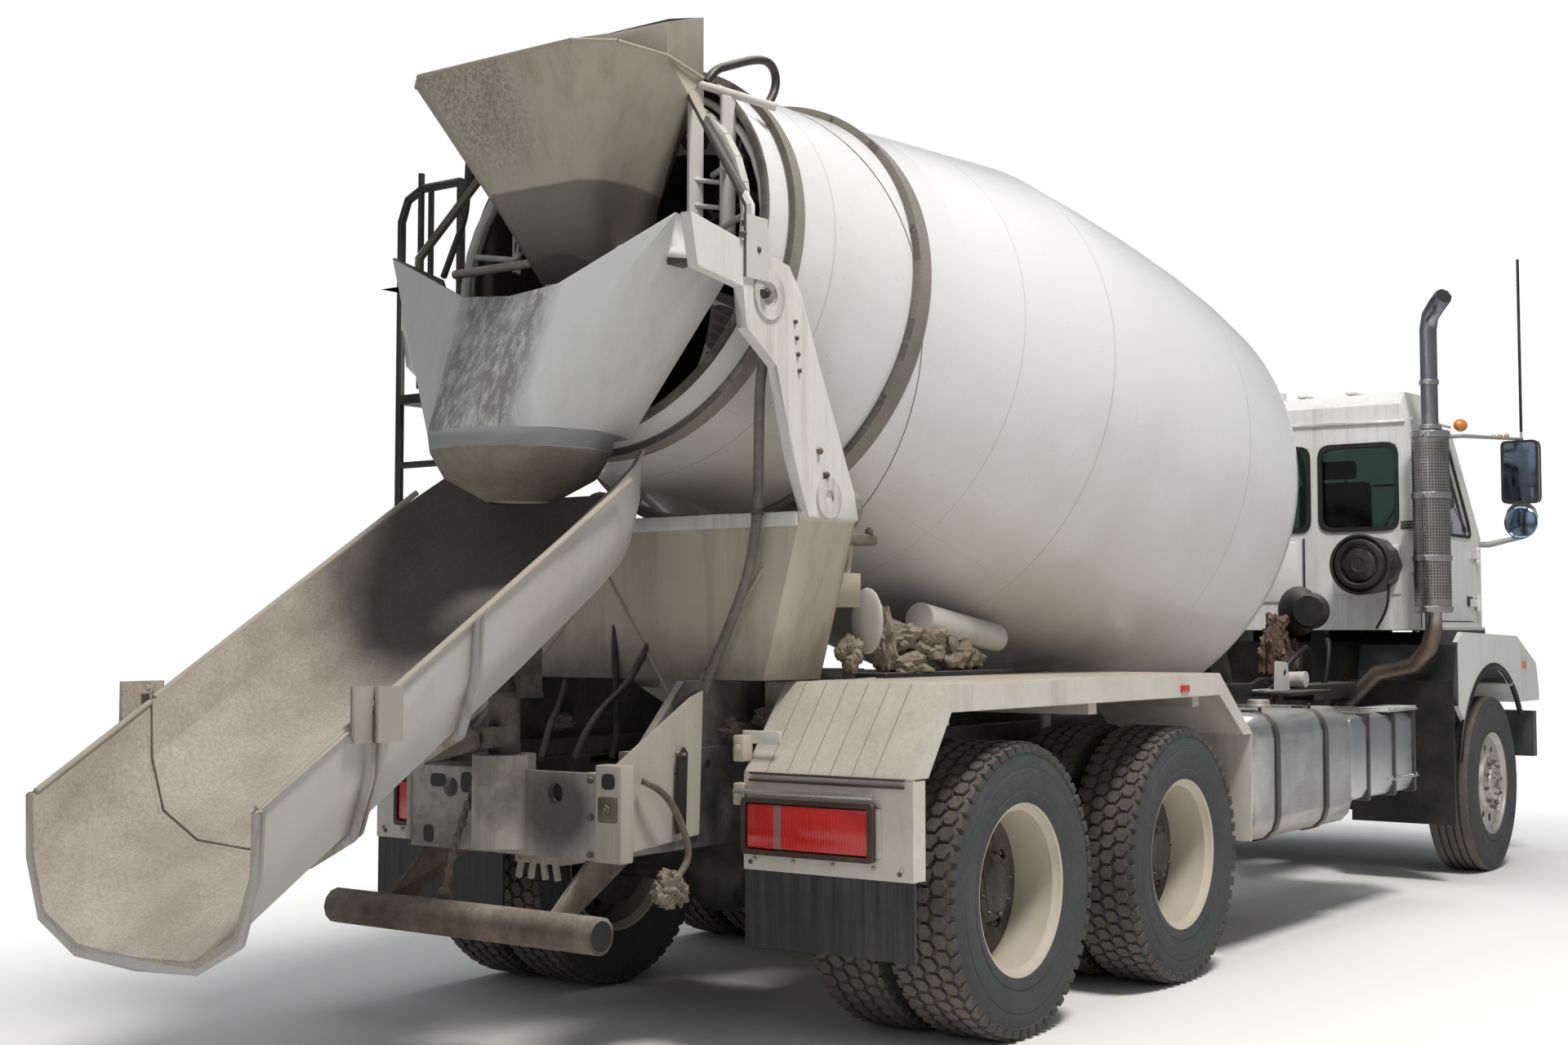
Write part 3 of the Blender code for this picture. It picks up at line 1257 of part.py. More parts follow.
def discharge_hopper():
    """Open scoop under the drum's mouth that narrows to a collar over the chute."""
    c, r = DISCHARGE_X, DISCHARGE_COLLAR_RADIUS
    collar = circle_half(c, r, DISCHARGE_COLLAR_Z)
    above = circle_half(c, r * 1.02, DISCHARGE_COLLAR_Z + DISCHARGE_BAND)
    tip = circle_half(c, DISCHARGE_TIP_RADIUS, DISCHARGE_TIP_Z)
    middle = circle_half(c, (r + DISCHARGE_TIP_RADIUS) / 2 * 1.25, (DISCHARGE_COLLAR_Z + DISCHARGE_TIP_Z) / 2)
    wing_x = DISCHARGE_X + OVERRUN
    rim_left = [
        (ARM_REAR_X + OVERRUN, 0.0, DISCHARGE_NOTCH_Z),
        (ARM_REAR_X + OVERRUN, DISCHARGE_NOTCH_HALF, DISCHARGE_NOTCH_Z + OVERRUN),
        (wing_x, DISCHARGE_WING_HALF, DISCHARGE_WING_Z),
        (DISCHARGE_FRONT_X, DISCHARGE_WING_HALF + OVERRUN, DISCHARGE_WING_Z - OVERRUN * 2),
        (DISCHARGE_FRONT_X + OVERRUN, DISCHARGE_WING_HALF - OVERRUN, DISCHARGE_WING_Z - OVERRUN * 9),
        (DISCHARGE_FRONT_X + OVERRUN, DISCHARGE_NOTCH_HALF, DISCHARGE_FRONT_Z),
        (DISCHARGE_FRONT_X + OVERRUN, 0.0, DISCHARGE_FRONT_Z),
    ]
    rim = rim_left + [(x, -y, z) for x, y, z in reversed(rim_left[1:-1])]
    pieces = [sheet([rim, above, collar, middle, tip], HOPPER_WALL, closed=True)]
    for _, sign in SIDES:
        pieces.append(
            block(
                (DISCHARGE_LUG_X - OVERRUN * 4, DISCHARGE_LUG_X + OVERRUN * 4),
                sorted((sign * DISCHARGE_LUG_Y, sign * (ARM_INNER_Y - SEAT_GAP))),
                (DISCHARGE_LUG_Z - OVERRUN * 1.5, DISCHARGE_LUG_Z + OVERRUN * 1.5),
            )
        )
    node("discharge_hopper", fused(pieces), WHITE_PAINT, TRUCK)


def circle_half(centre_x, radius, z, count=12):
    """Twelve points of a level circle, starting at its rear, through its left side."""
    points = []
    for i in range(count):
        angle = math.pi - math.tau * i / count
        points.append((centre_x + radius * math.cos(angle), radius * math.sin(angle), z))
    return points


CHANNEL_SHARES = ((1.0, 0.0), (0.985, 0.40), (0.86, 0.78), (0.52, 0.97), (0.0, 1.0))


def channel_loop(x, half, rim_z, depth, lip=CHUTE_LIP):
    """Rounded trough section at one station, from the left lip under the floor to the right lip."""
    left = [(x, half + lip, rim_z)]
    left += [(x, half * a, rim_z - depth * b) for a, b in CHANNEL_SHARES]
    return left + [(x, -y, z) for x, y, z in reversed(left[:-1])]


def chute_rim_z(x):
    return CHUTE_RIM_Z - (SWING_X - x) * math.tan(CHUTE_SLOPE)


def chute_half(x):
    run = (SWING_X - x) / (SWING_X - CHUTE_TIP_X)
    return CHUTE_BOWL_RADIUS + (CHUTE_HALF_WIDTH - CHUTE_BOWL_RADIUS) * min(1.0, run * 3)


def flange_ring(x, thickness):
    """Raised band round the outside of the chute, cut square to the ground."""
    inner = channel_loop(x, chute_half(x) - CHUTE_WALL / 2, chute_rim_z(x), CHUTE_DEPTH - CHUTE_WALL / 2, 0)
    outer = channel_loop(x, chute_half(x) + CHUTE_FLANGE, chute_rim_z(x), CHUTE_DEPTH + CHUTE_FLANGE, 0)
    outline = [(y, z) for _, y, z in outer[1:]] + [(y, z) for _, y, z in reversed(inner[1:])]
    shape = prism(outline, "X", 0, thickness)
    bm = bmesh.new()
    bm.from_mesh(shape.data)
    bpy.data.objects.remove(shape)
    lean = Matrix.Identity(4)
    lean[2][0] = math.tan(CHUTE_SLOPE)
    bmesh.ops.transform(bm, matrix=lean, verts=bm.verts)
    bmesh.ops.translate(bm, vec=(x, 0, 0), verts=bm.verts)
    return raw(bm)


def fold_axis_point():
    return (CHUTE_JOINT_X, 0, chute_rim_z(CHUTE_JOINT_X) + CHUTE_FOLD_RAISE)


def chute_bodies():
    swivel_axis = body_empty("chute_swing_axis", TRUCK, (SWING_X, 0, RAIL_TOP))
    lift_axis = body_empty("chute_lift_axis", swivel_axis, (SWING_X, 0, CHUTE_PIVOT_Z))
    fold_axis = body_empty("chute_fold_axis", lift_axis, fold_axis_point())
    barrel_axis = body_empty("lift_barrel_axis", swivel_axis, (LIFT_FOOT_X, 0, LIFT_FOOT_Z))
    rod_axis = body_empty("lift_rod_axis", barrel_axis, (LIFT_EYE_X, 0, LIFT_EYE_Z))
    chute_swivel(swivel_axis)
    chute_main(lift_axis)
    chute_end(fold_axis)
    lift_cylinder(barrel_axis, rod_axis)


def cross_pin(x, z, half, radius):
    return rod((x, -half, z), (x, half, z), radius, WHEEL_SEGMENTS)


def chute_swivel(body):
    """Post in the frame's socket, with the fork that carries the chute and the cylinder's foot."""
    base = RAIL_TOP + SWING_SOCKET_HEIGHT + SEAT_GAP
    foot_half = LIFT_EYE_HALF + SEAT_GAP * 2
    pieces = [
        rod(
            (SWING_X, 0, RAIL_TOP - SWING_SOCKET_HEIGHT + SEAT_GAP),
            (SWING_X, 0, base + OVERRUN),
            SWING_PIN_RADIUS,
            WHEEL_SEGMENTS,
        ),
        rod((SWING_X, 0, base), (SWING_X, 0, CHUTE_PIVOT_Z - SWIVEL_RADIUS), SWIVEL_POST_RADIUS),
    ]
    ear_low = CHUTE_PIVOT_Z - SWIVEL_RADIUS * 1.8
    pieces.append(
        block(
            (SWING_X - SWIVEL_RADIUS * 0.7, SWING_X + SWIVEL_RADIUS * 0.7),
            (-SWIVEL_EAR_Y - SWIVEL_EAR, SWIVEL_EAR_Y + SWIVEL_EAR),
            (ear_low, ear_low + SWIVEL_EAR),
        )
    )
    for _, sign in SIDES:
        ear_y = sorted((sign * SWIVEL_EAR_Y, sign * (SWIVEL_EAR_Y + SWIVEL_EAR)))
        pieces.append(
            block(
                (SWING_X - SWIVEL_RADIUS * 0.6, SWING_X + SWIVEL_RADIUS * 0.6),
                ear_y,
                (ear_low, CHUTE_PIVOT_Z + CHUTE_PIN_RADIUS * 1.6),
            )
        )
        lug_y = sorted((sign * foot_half, sign * (foot_half + SWIVEL_EAR)))
        pieces.append(
            block(
                (LIFT_FOOT_X - LIFT_EYE_RADIUS, SWING_X),
                lug_y,
                (LIFT_FOOT_Z - LIFT_EYE_RADIUS, LIFT_FOOT_Z + LIFT_EYE_RADIUS),
            )
        )
    pin_half = SWIVEL_EAR_Y + SWIVEL_EAR / 2
    pieces.append(cross_pin(SWING_X, CHUTE_PIVOT_Z, pin_half, CHUTE_PIN_RADIUS))
    pieces.append(cross_pin(LIFT_FOOT_X, LIFT_FOOT_Z, foot_half + SWIVEL_EAR / 2, LIFT_PIN_RADIUS))
    node("chute_swivel", fused(pieces), WORN_STEEL, body)


def chute_main(body):
    """Trough with a round upper bowl, its flanges, the keel on the pivot and the cylinder's lug."""
    loops = []
    bowl_shares = (1.0, 0.93, 0.8, 0.6, 0.35, 0.0)
    for share in bowl_shares:
        x = SWING_X + CHUTE_BOWL_FRONT * share
        reach = CHUTE_BOWL_FRONT * share
        half = math.sqrt(CHUTE_BOWL_RADIUS**2 - reach**2)
        slope_rim = chute_rim_z(x)
        crest = CHUTE_BOWL_BACK_Z if share > 0.9 else CHUTE_BOWL_CREST_Z
        rim = min(slope_rim, crest)
        floor = min(slope_rim - CHUTE_DEPTH, rim - CHUTE_DEPTH * 0.4)
        loops.append(channel_loop(x, half, rim, rim - floor))
    end_x = CHUTE_JOINT_X + CHUTE_FLANGE_THICKNESS / 4
    for share in (0.35, 1.0):
        x = SWING_X + (end_x - SWING_X) * share
        loops.append(channel_loop(x, chute_half(x), chute_rim_z(x), CHUTE_DEPTH))
    trough = sheet(loops, CHUTE_WALL, cap_first=True)
    pieces = [trough]
    for share in CHUTE_FLANGE_SHARES:
        pieces.append(flange_ring(SWING_X + (CHUTE_JOINT_X - SWING_X) * share, CHUTE_FLANGE_THICKNESS))
    pieces.append(flange_ring(end_x, CHUTE_FLANGE_THICKNESS))
    keel_top = chute_rim_z(SWING_X) - CHUTE_DEPTH
    slope = math.tan(CHUTE_SLOPE)
    reach = SWIVEL_RADIUS * 1.2
    keel = [
        (SWING_X + reach, keel_top + reach * slope),
        (SWING_X + SWIVEL_RADIUS * 0.5, CHUTE_PIVOT_Z - CHUTE_PIN_RADIUS * 2),
        (SWING_X - SWIVEL_RADIUS * 0.5, CHUTE_PIVOT_Z - CHUTE_PIN_RADIUS * 2),
        (LIFT_EYE_X + LIFT_EYE_RADIUS, LIFT_EYE_Z + LIFT_EYE_RADIUS * 2),
        (LIFT_EYE_X + LIFT_EYE_RADIUS, LIFT_EYE_Z - LIFT_EYE_RADIUS),
        (LIFT_EYE_X - LIFT_EYE_RADIUS, LIFT_EYE_Z - LIFT_EYE_RADIUS),
        (LIFT_EYE_X - LIFT_EYE_RADIUS * 2, keel_top - (SWING_X - LIFT_EYE_X + LIFT_EYE_RADIUS * 2) * slope),
    ]
    inner = LIFT_EYE_HALF + RUNNING_GAP
    for _, sign in SIDES:
        pieces.append(prism(keel, "Y", *sorted((sign * inner, sign * CHUTE_KEEL_HALF))))
    eye_pin = cross_pin(LIFT_EYE_X, LIFT_EYE_Z, CHUTE_KEEL_HALF - SEAT_GAP, LIFT_PIN_RADIUS)
    pieces.append(eye_pin)
    hub_half = SWIVEL_EAR_Y - RUNNING_GAP
    pieces.append(cross_pin(SWING_X, CHUTE_PIVOT_Z, hub_half, CHUTE_PIN_RADIUS * 2))
    bore = cross_pin(SWING_X, CHUTE_PIVOT_Z, SWIVEL_EAR_Y + OVERRUN, CHUTE_PIN_RADIUS + SPINDLE_GAP)
    axis_x, _, axis_z = fold_axis_point()
    for _, sign in SIDES:
        side_y = sign * (CHUTE_HALF_WIDTH + CHUTE_LIP + CHUTE_FOLD_LUG)
        lug_y = sorted((side_y, side_y - sign * CHUTE_FOLD_LUG / 2))
        pieces.append(
            block(
                (axis_x - CHUTE_FOLD_PIN_RADIUS * 2, axis_x + CHUTE_FOLD_LUG * 2),
                lug_y,
                (axis_z - CHUTE_FOLD_RAISE * 3, axis_z + CHUTE_FOLD_PIN_RADIUS * 2),
            )
        )
        pieces.append(
            block(
                (axis_x + CHUTE_FLANGE_THICKNESS, axis_x + CHUTE_FOLD_LUG * 2),
                sorted((side_y, sign * (CHUTE_HALF_WIDTH - CHUTE_WALL / 2))),
                (axis_z - CHUTE_FOLD_RAISE * 3, axis_z - CHUTE_FOLD_RAISE * 1.6),
            )
        )
        pieces.append(
            rod(
                (axis_x, side_y - sign * CHUTE_FOLD_LUG / 4, axis_z),
                (axis_x, side_y - sign * CHUTE_FOLD_LUG, axis_z),
                CHUTE_FOLD_PIN_RADIUS,
            )
        )
    node("chute_main", cut(fused(pieces), [bore]), CHUTE_PAINT, body)


def chute_end(body):
    """The last section, which folds back over the main one about the pins at its rim."""
    start_x = CHUTE_JOINT_X - CHUTE_FLANGE_THICKNESS * 1.5
    tip = CHUTE_TIP_X
    loops = [channel_loop(x, chute_half(x), chute_rim_z(x), CHUTE_DEPTH) for x in (start_x, tip)]
    pieces = [sheet(loops, CHUTE_WALL)]
    pieces.append(flange_ring(CHUTE_JOINT_X - CHUTE_FLANGE_THICKNESS * 1.5, CHUTE_FLANGE_THICKNESS))
    pieces.append(flange_ring(tip, CHUTE_FLANGE_THICKNESS))
    axis_x, _, axis_z = fold_axis_point()
    bores = []
    for _, sign in SIDES:
        outer_y = sign * (CHUTE_HALF_WIDTH + CHUTE_LIP + CHUTE_FOLD_LUG / 2 - SPINDLE_GAP)
        inner_y = sign * (CHUTE_HALF_WIDTH - CHUTE_WALL / 2)
        lug_y = sorted((outer_y, sign * (CHUTE_HALF_WIDTH + CHUTE_LIP + SPINDLE_GAP)))
        pieces.append(
            block(
                (start_x - CHUTE_FOLD_LUG * 2, axis_x + CHUTE_FOLD_PIN_RADIUS * 2),
                lug_y,
                (axis_z - CHUTE_FOLD_PIN_RADIUS * 2, axis_z + CHUTE_FOLD_PIN_RADIUS * 2),
            )
        )
        leg_x = (start_x - CHUTE_FOLD_LUG * 2, start_x - CHUTE_FLANGE_THICKNESS / 2)
        pieces.append(block(leg_x, lug_y, (axis_z - CHUTE_FOLD_RAISE * 3, axis_z)))
        foot_z = (axis_z - CHUTE_FOLD_RAISE * 3, axis_z - CHUTE_FOLD_RAISE * 2)
        pieces.append(block(leg_x, sorted((outer_y, inner_y)), foot_z))
        bores.append(
            rod(
                (axis_x, inner_y, axis_z),
                (axis_x, outer_y + sign * OVERRUN, axis_z),
                CHUTE_FOLD_PIN_RADIUS + SPINDLE_GAP,
            )
        )
    node("chute_end", cut(fused(pieces), bores), CHUTE_PAINT, body)


def lift_cylinder(barrel_body, rod_body):
    foot = Vector((LIFT_FOOT_X, 0, LIFT_FOOT_Z))
    eye = Vector((LIFT_EYE_X, 0, LIFT_EYE_Z))
    run = (eye - foot).normalized()
    across = Vector((0, 1, 0))
    half = LIFT_EYE_HALF
    bore_half = half + OVERRUN
    mouth = foot + run * LIFT_BARREL_LENGTH
    barrel_start = foot + run * LIFT_EYE_RADIUS * 1.6
    bore_start = foot + run * LIFT_EYE_RADIUS * 2.0
    barrel = fused(
        [
            rod(barrel_start, mouth, LIFT_BARREL_RADIUS),
            rod(foot + run * LIFT_EYE_RADIUS * 0.6, bore_start - run * SEAT_GAP, LIFT_EYE_HALF * 0.8),
            rod(foot - across * half, foot + across * half, LIFT_EYE_RADIUS),
        ]
    )
    bores = [
        rod(bore_start, mouth + run * OVERRUN, LIFT_ROD_RADIUS + SPINDLE_GAP),
        rod(foot - across * bore_half, foot + across * bore_half, LIFT_PIN_RADIUS + SPINDLE_GAP),
    ]
    node("lift_barrel", cut(barrel, bores), WORN_STEEL, barrel_body)
    inner = mouth - run * LIFT_ROD_OVERLAP
    piston_rod = fused(
        [
            rod(inner, eye - run * LIFT_EYE_RADIUS * 0.8, LIFT_ROD_RADIUS),
            rod(eye - across * half, eye + across * half, LIFT_EYE_RADIUS),
        ]
    )
    slack = rod(
        eye - across * (half + OVERRUN), eye + across * (half + OVERRUN), LIFT_PIN_RADIUS + RUNNING_GAP
    )
    node("lift_rod", cut(piston_rod, [slack]), STEEL, rod_body)


FENDER_SHARES = ((0.0, 0.15), (0.0, 0.595), (0.085, 1.0), (0.877, 1.0), (1.0, 0.635), (0.993, 0.0))


def fenders():
    """Rear fender over the tandem, with its lamp box, outer lip and the brackets on the rail."""
    span_x = (FENDER_REAR_X, FENDER_FRONT_X)
    path = in_box(FENDER_SHARES, span_x, (FENDER_FOOT, FENDER_TOP))
    for side, sign in SIDES:
        near, far = sorted((sign * FENDER_INNER_Y, sign * FENDER_OUTER_Y))
        loops = [[(x, y, z) for y in (near, far)] for x, z in path]
        pieces = [sheet(loops, FENDER_SHEET)]
        middle_x = (FENDER_REAR_X + FENDER_FRONT_X) / 2
        lip_path = []
        for (x, z), (_, share) in zip(path, FENDER_SHARES):
            inward = math.copysign(FENDER_LIP, middle_x - x) * (0.3 < share < 1)
            lip_path.append((x + inward, z - FENDER_LIP * (z > FENDER_TOP - OVERRUN)))
        lip_y = sign * (FENDER_OUTER_Y - FENDER_SHEET / 2)
        lip = [[(x, lip_y, z), (lx, lip_y, lz)] for (x, z), (lx, lz) in zip(path[1:5], lip_path[1:5])]
        pieces.append(sheet(lip, FENDER_SHEET))
        box = block(
            (FENDER_REAR_X - FENDER_SHEET, FENDER_REAR_X + LAMP_BOX_DEPTH),
            (near, far),
            (LAMP_BOX_BOTTOM, LAMP_BOX_TOP),
        )
        pieces.append(box)
        lamp_inner = FENDER_INNER_Y + OVERRUN * 3
        pieces.append(
            block(
                (FENDER_REAR_X - FENDER_SHEET - LAMP_PROUD, FENDER_REAR_X),
                sorted((sign * lamp_inner, sign * (lamp_inner + LAMP_WIDTH))),
                (LAMP_BOX_BOTTOM + FENDER_LIP * 0.8, LAMP_BOX_BOTTOM + FENDER_LIP * 0.8 + LAMP_HEIGHT),
            )
        )
        for share in (0.12, 0.515, 0.86):
            x = FENDER_REAR_X + share * (FENDER_FRONT_X - FENDER_REAR_X)
            width = (x - BRACKET_WIDTH / 2, x + BRACKET_WIDTH / 2)
            rail = sign * (RAIL_OUTER_Y + SEAT_GAP)
            beam = sorted((rail, sign * (FENDER_OUTER_Y - FENDER_LIP)))
            plate = sorted((rail, rail + sign * FENDER_SHEET * 2))
            pieces.append(block(width, beam, (FENDER_TOP - BRACKET_HEIGHT, FENDER_TOP)))
            pieces.append(block(width, plate, (RAIL_BOTTOM + BRACKET_WIDTH, FENDER_TOP)))
        node(f"rear_fender_{side}", fused(pieces), WHITE_PAINT, TRUCK)
        flap = block(
            (FENDER_REAR_X, FENDER_REAR_X + FLAP_THICKNESS),
            (near, far),
            (FLAP_BOTTOM, LAMP_BOX_BOTTOM - SEAT_GAP),
        )
        node(f"mud_flap_{side}", flap, RUBBER, TRUCK)


def rounded_box_outline(y, z, corner):
    """Rounded outline between two (low, high) pairs, for a tank's end."""
    points = []
    for centre, start in (
        ((y[1] - corner, z[1] - corner), 0),
        ((y[0] + corner, z[1] - corner), 90),
        ((y[0] + corner, z[0] + corner), 180),
        ((y[1] - corner, z[0] + corner), 270),
    ):
        points += arc(centre, corner, start, start + 90, 3)
    return points


def tanks():
    for side, sign in SIDES:
        y = sorted((sign * TANK_INNER_Y, sign * TANK_OUTER_Y))
        z = (TANK_BOTTOM, TANK_TOP)
        length = TANK_FRONT_X - TANK_REAR_X
        pieces = [prism(rounded_box_outline(y, z, TANK_CORNER), "X", TANK_REAR_X, TANK_FRONT_X)]
        for share in (0.22, 0.72):
            x = TANK_REAR_X + length * share
            grown_y = (y[0] - STRAP_PROUD, y[1] + STRAP_PROUD)
            grown_z = (z[0] - STRAP_PROUD, z[1] + STRAP_PROUD)
            outline = rounded_box_outline(grown_y, grown_z, TANK_CORNER + STRAP_PROUD)
            pieces.append(prism(outline, "X", x - STRAP_WIDTH / 2, x + STRAP_WIDTH / 2))
            pieces.append(
                block(
                    (x - STRAP_WIDTH, x + STRAP_WIDTH),
                    sorted((sign * (RAIL_OUTER_Y + SEAT_GAP), sign * (TANK_INNER_Y + TANK_CORNER))),
                    (RAIL_BOTTOM + STRAP_WIDTH, RAIL_BOTTOM + STRAP_WIDTH * 3),
                )
            )
        node(f"fuel_tank_{side}", fused(pieces), ALUMINIUM, TRUCK)
    outer, inner = -TANK_OUTER_Y, -(RAIL_OUTER_Y + SEAT_GAP)
    length = (STEP_BOX_REAR_X, STEP_BOX_FRONT_X)
    body = block(length, (outer + STEP_DEPTH, inner), (STEP_BOX_BOTTOM, STEP_BOX_TOP))
    slot = block(
        (STEP_BOX_REAR_X + STEP_DEPTH * 2, STEP_BOX_FRONT_X - STEP_DEPTH / 4),
        (outer + STEP_DEPTH / 2, outer + STEP_DEPTH * 2),
        (STEP_BOX_BOTTOM + STEP_DEPTH / 2, STEP_BOX_TOP - STEP_DEPTH / 2),
    )
    tread = block(
        (STEP_BOX_REAR_X + STEP_DEPTH * 2, STEP_BOX_FRONT_X),
        (outer, outer + STEP_DEPTH * 2),
        (STEP_BOX_BOTTOM - STEP_DEPTH / 2, STEP_BOX_BOTTOM + STEP_DEPTH / 8),
    )
    node("battery_box", fused([cut(body, [slot]), tread]), ALUMINIUM, TRUCK)


def splash_guards():
    for side, sign in SIDES:
        y = sorted((sign * GUARD_INNER_Y, sign * GUARD_OUTER_Y))
        flap = block((GUARD_X, GUARD_X + GUARD_THICKNESS), y, (GUARD_BOTTOM, GUARD_TOP))
        arm = block(
            (GUARD_X, GUARD_X + BRACKET_WIDTH / 2),
            sorted((sign * (RAIL_OUTER_Y + SEAT_GAP), sign * (GUARD_OUTER_Y - BRACKET_WIDTH))),
            (RAIL_TOP - BRACKET_WIDTH, RAIL_TOP - BRACKET_WIDTH / 2),
        )
        node(f"splash_guard_{side}", fused([flap, arm]), BLACK_PLASTIC, TRUCK)


def underrun_bar():
    ends = [(UNDERRUN_X, sign * UNDERRUN_HALF, UNDERRUN_Z) for _, sign in SIDES]
    pieces = [rod(*ends, UNDERRUN_RADIUS)]
    hanger = [
        (UNDERRUN_X - UNDERRUN_RADIUS / 2, UNDERRUN_Z),
        (UNDERRUN_X + UNDERRUN_RADIUS / 2, UNDERRUN_Z - UNDERRUN_RADIUS / 2),
        (FRAME_REAR_X + UNDERRUN_RADIUS * 4, RAIL_BOTTOM - SEAT_GAP),
        (FRAME_REAR_X, RAIL_BOTTOM - SEAT_GAP),
    ]
    for _, sign in SIDES:
        near, far = sorted((sign * UNDERRUN_HANGER_Y, sign * (UNDERRUN_HANGER_Y + END_PLATE)))
        pieces.append(prism(hanger, "Y", near, far))
    node("underrun_bar", fused(pieces), WORN_STEEL, TRUCK)


def ladder():
    """Ladder and hand rail at the left rear, standing on the fender and leaning on the side arm."""
    inner_y = ARM_OUTER_Y + LADDER_TUBE + SEAT_GAP
    corner_x = FENDER_REAR_X + FENDER_SHARES[2][0] * (FENDER_FRONT_X - FENDER_REAR_X)
    corner_z = FENDER_FOOT + FENDER_SHARES[1][1] * (FENDER_TOP - FENDER_FOOT)
    run = (LADDER_X + LADDER_TUBE - FENDER_REAR_X) / (corner_x - FENDER_REAR_X)
    foot = corner_z + run * (FENDER_TOP - corner_z) + FENDER_SHEET
    pieces = []
    outer_rail = [
        (LADDER_X, LADDER_OUTER_Y, foot),
        (LADDER_X, LADDER_OUTER_Y, LADDER_TOP - LADDER_BEND),
        (LADDER_X, LADDER_OUTER_Y - LADDER_BEND * 0.3, LADDER_TOP - LADDER_BEND * 0.3),
        (LADDER_X, LADDER_OUTER_Y - LADDER_BEND, LADDER_TOP),
        (LADDER_X, inner_y, LADDER_TOP),
    ]
    pieces.append(tube(outer_rail, LADDER_TUBE))
    inner_rail = [(LADDER_X, inner_y, foot), (LADDER_X, inner_y, LADDER_TOP + LADDER_TUBE / 2)]
    pieces.append(tube(inner_rail, LADDER_TUBE))
    middle_y = (LADDER_OUTER_Y + inner_y) / 2
    pieces.append(
        tube([(LADDER_X, middle_y, LADDER_PLATFORM_Z), (LADDER_X, middle_y, LADDER_TOP)], LADDER_TUBE * 0.7)
    )
    deck = (LADDER_PLATFORM_Z - LADDER_TUBE * 2, LADDER_PLATFORM_Z)
    pieces.append(
        block(
            (LADDER_X - LADDER_TUBE * 0.8, LADDER_PLATFORM_FRONT_X),
            (ARM_OUTER_Y + SEAT_GAP, LADDER_OUTER_Y + LADDER_TUBE / 2),
            deck,
        )
    )
    rungs = int((LADDER_PLATFORM_Z - FENDER_TOP) / LADDER_RUNG_STEP)
    for i in range(1, rungs + 1):
        z = FENDER_TOP + i * LADDER_RUNG_STEP
        pieces.append(tube([(LADDER_X, inner_y, z), (LADDER_X, LADDER_OUTER_Y, z)], LADDER_TUBE * 0.8))
    node("ladder", fused(pieces), BLACK_PAINT, TRUCK)


def water_hose():
    """Grey hose clipped between the right side arm and the frame."""
    y = -(ARM_INNER_Y - HOSE_RADIUS - SEAT_GAP)
    foot_y = -(RAIL_OUTER_Y - RAIL_WEB + HOSE_RADIUS + SEAT_GAP)
    top_x, foot_x = ARM_HOLE_X + ARM_HOLE_RADIUS * 2, PEDESTAL_REAR_X - HOSE_RADIUS * 3
    points = [
        (top_x, y, ARM_HOLE_Z - HOSE_RADIUS),
        (top_x, y, ARM_HOLE_Z - HOSE_RADIUS * 8),
        (top_x, y + HOSE_RADIUS * 2, ARM_HOLE_Z - HOSE_RADIUS * 16),
        (foot_x, y + HOSE_RADIUS * 6, PEDESTAL_TOP),
        (foot_x, y + HOSE_RADIUS * 9, PEDESTAL_TOP - HOSE_RADIUS * 14),
        (foot_x, foot_y - HOSE_RADIUS * 2, WEDGE_TOP + HOSE_RADIUS * 2),
        (foot_x, foot_y, WEDGE_TOP - HOSE_RADIUS * 3),
        (foot_x, foot_y, WEDGE_TOP - HOSE_RADIUS * 6),
    ]
    node("water_hose", tube(points, HOSE_RADIUS, 2), HOSE_RUBBER, TRUCK)


def cab_hull(inset):
    """The cab's outer form, or the room inside it when inset by the wall."""
    pitch = math.atan2(CAB_VISOR_Z - CAB_WAIST, CAB_FRONT_X - CAB_VISOR_X)
    slope_shift = inset / math.sin(pitch)
    outline = [
        (CAB_REAR_X + inset, CAB_BOTTOM + inset),
        (CAB_REAR_X + inset, CAB_TOP - CAB_ROOF_REAR_RISE - inset / 2),
        (CAB_REAR_X + CAB_ROOF_REAR_RISE + inset / 2, CAB_TOP - CAB_ROOF_REAR_RISE / 6 - inset),
        (CAB_VISOR_X - CAB_ROOF_REAR_RISE * 2 - inset / 2, CAB_TOP - inset),
        (CAB_VISOR_X - slope_shift / 2 - inset / 4, CAB_VISOR_Z - inset / 2),
        (CAB_FRONT_X - inset, CAB_WAIST - inset / 4),
        (CAB_FRONT_X - inset, CAB_BOTTOM + inset),
    ]
    half = CAB_HALF - inset
    bm = bmesh.new()
    flat = prism(outline, "Y", -half, half)
    bm.from_mesh(flat.data)
    bpy.data.objects.remove(flat)
    bmesh.ops.bisect_plane(
        bm, geom=bm.verts[:] + bm.edges[:] + bm.faces[:], plane_co=(0, 0, CAB_WAIST), plane_no=(0, 0, 1)
    )
    bmesh.ops.bisect_plane(
        bm,
        geom=bm.verts[:] + bm.edges[:] + bm.faces[:],
        plane_co=(0, 0, CAB_VISOR_Z - CAB_WALL),
        plane_no=(0, 0, 1),
    )
    for vert in bm.verts:
        if vert.co.z > CAB_WAIST:
            lean = (vert.co.z - CAB_WAIST) / (CAB_TOP - CAB_WAIST)
            extra = CAB_TAPER * (vert.co.z > CAB_VISOR_Z)
            vert.co.y -= math.copysign(CAB_TAPER * lean + extra, vert.co.y)
    return raw(bm)


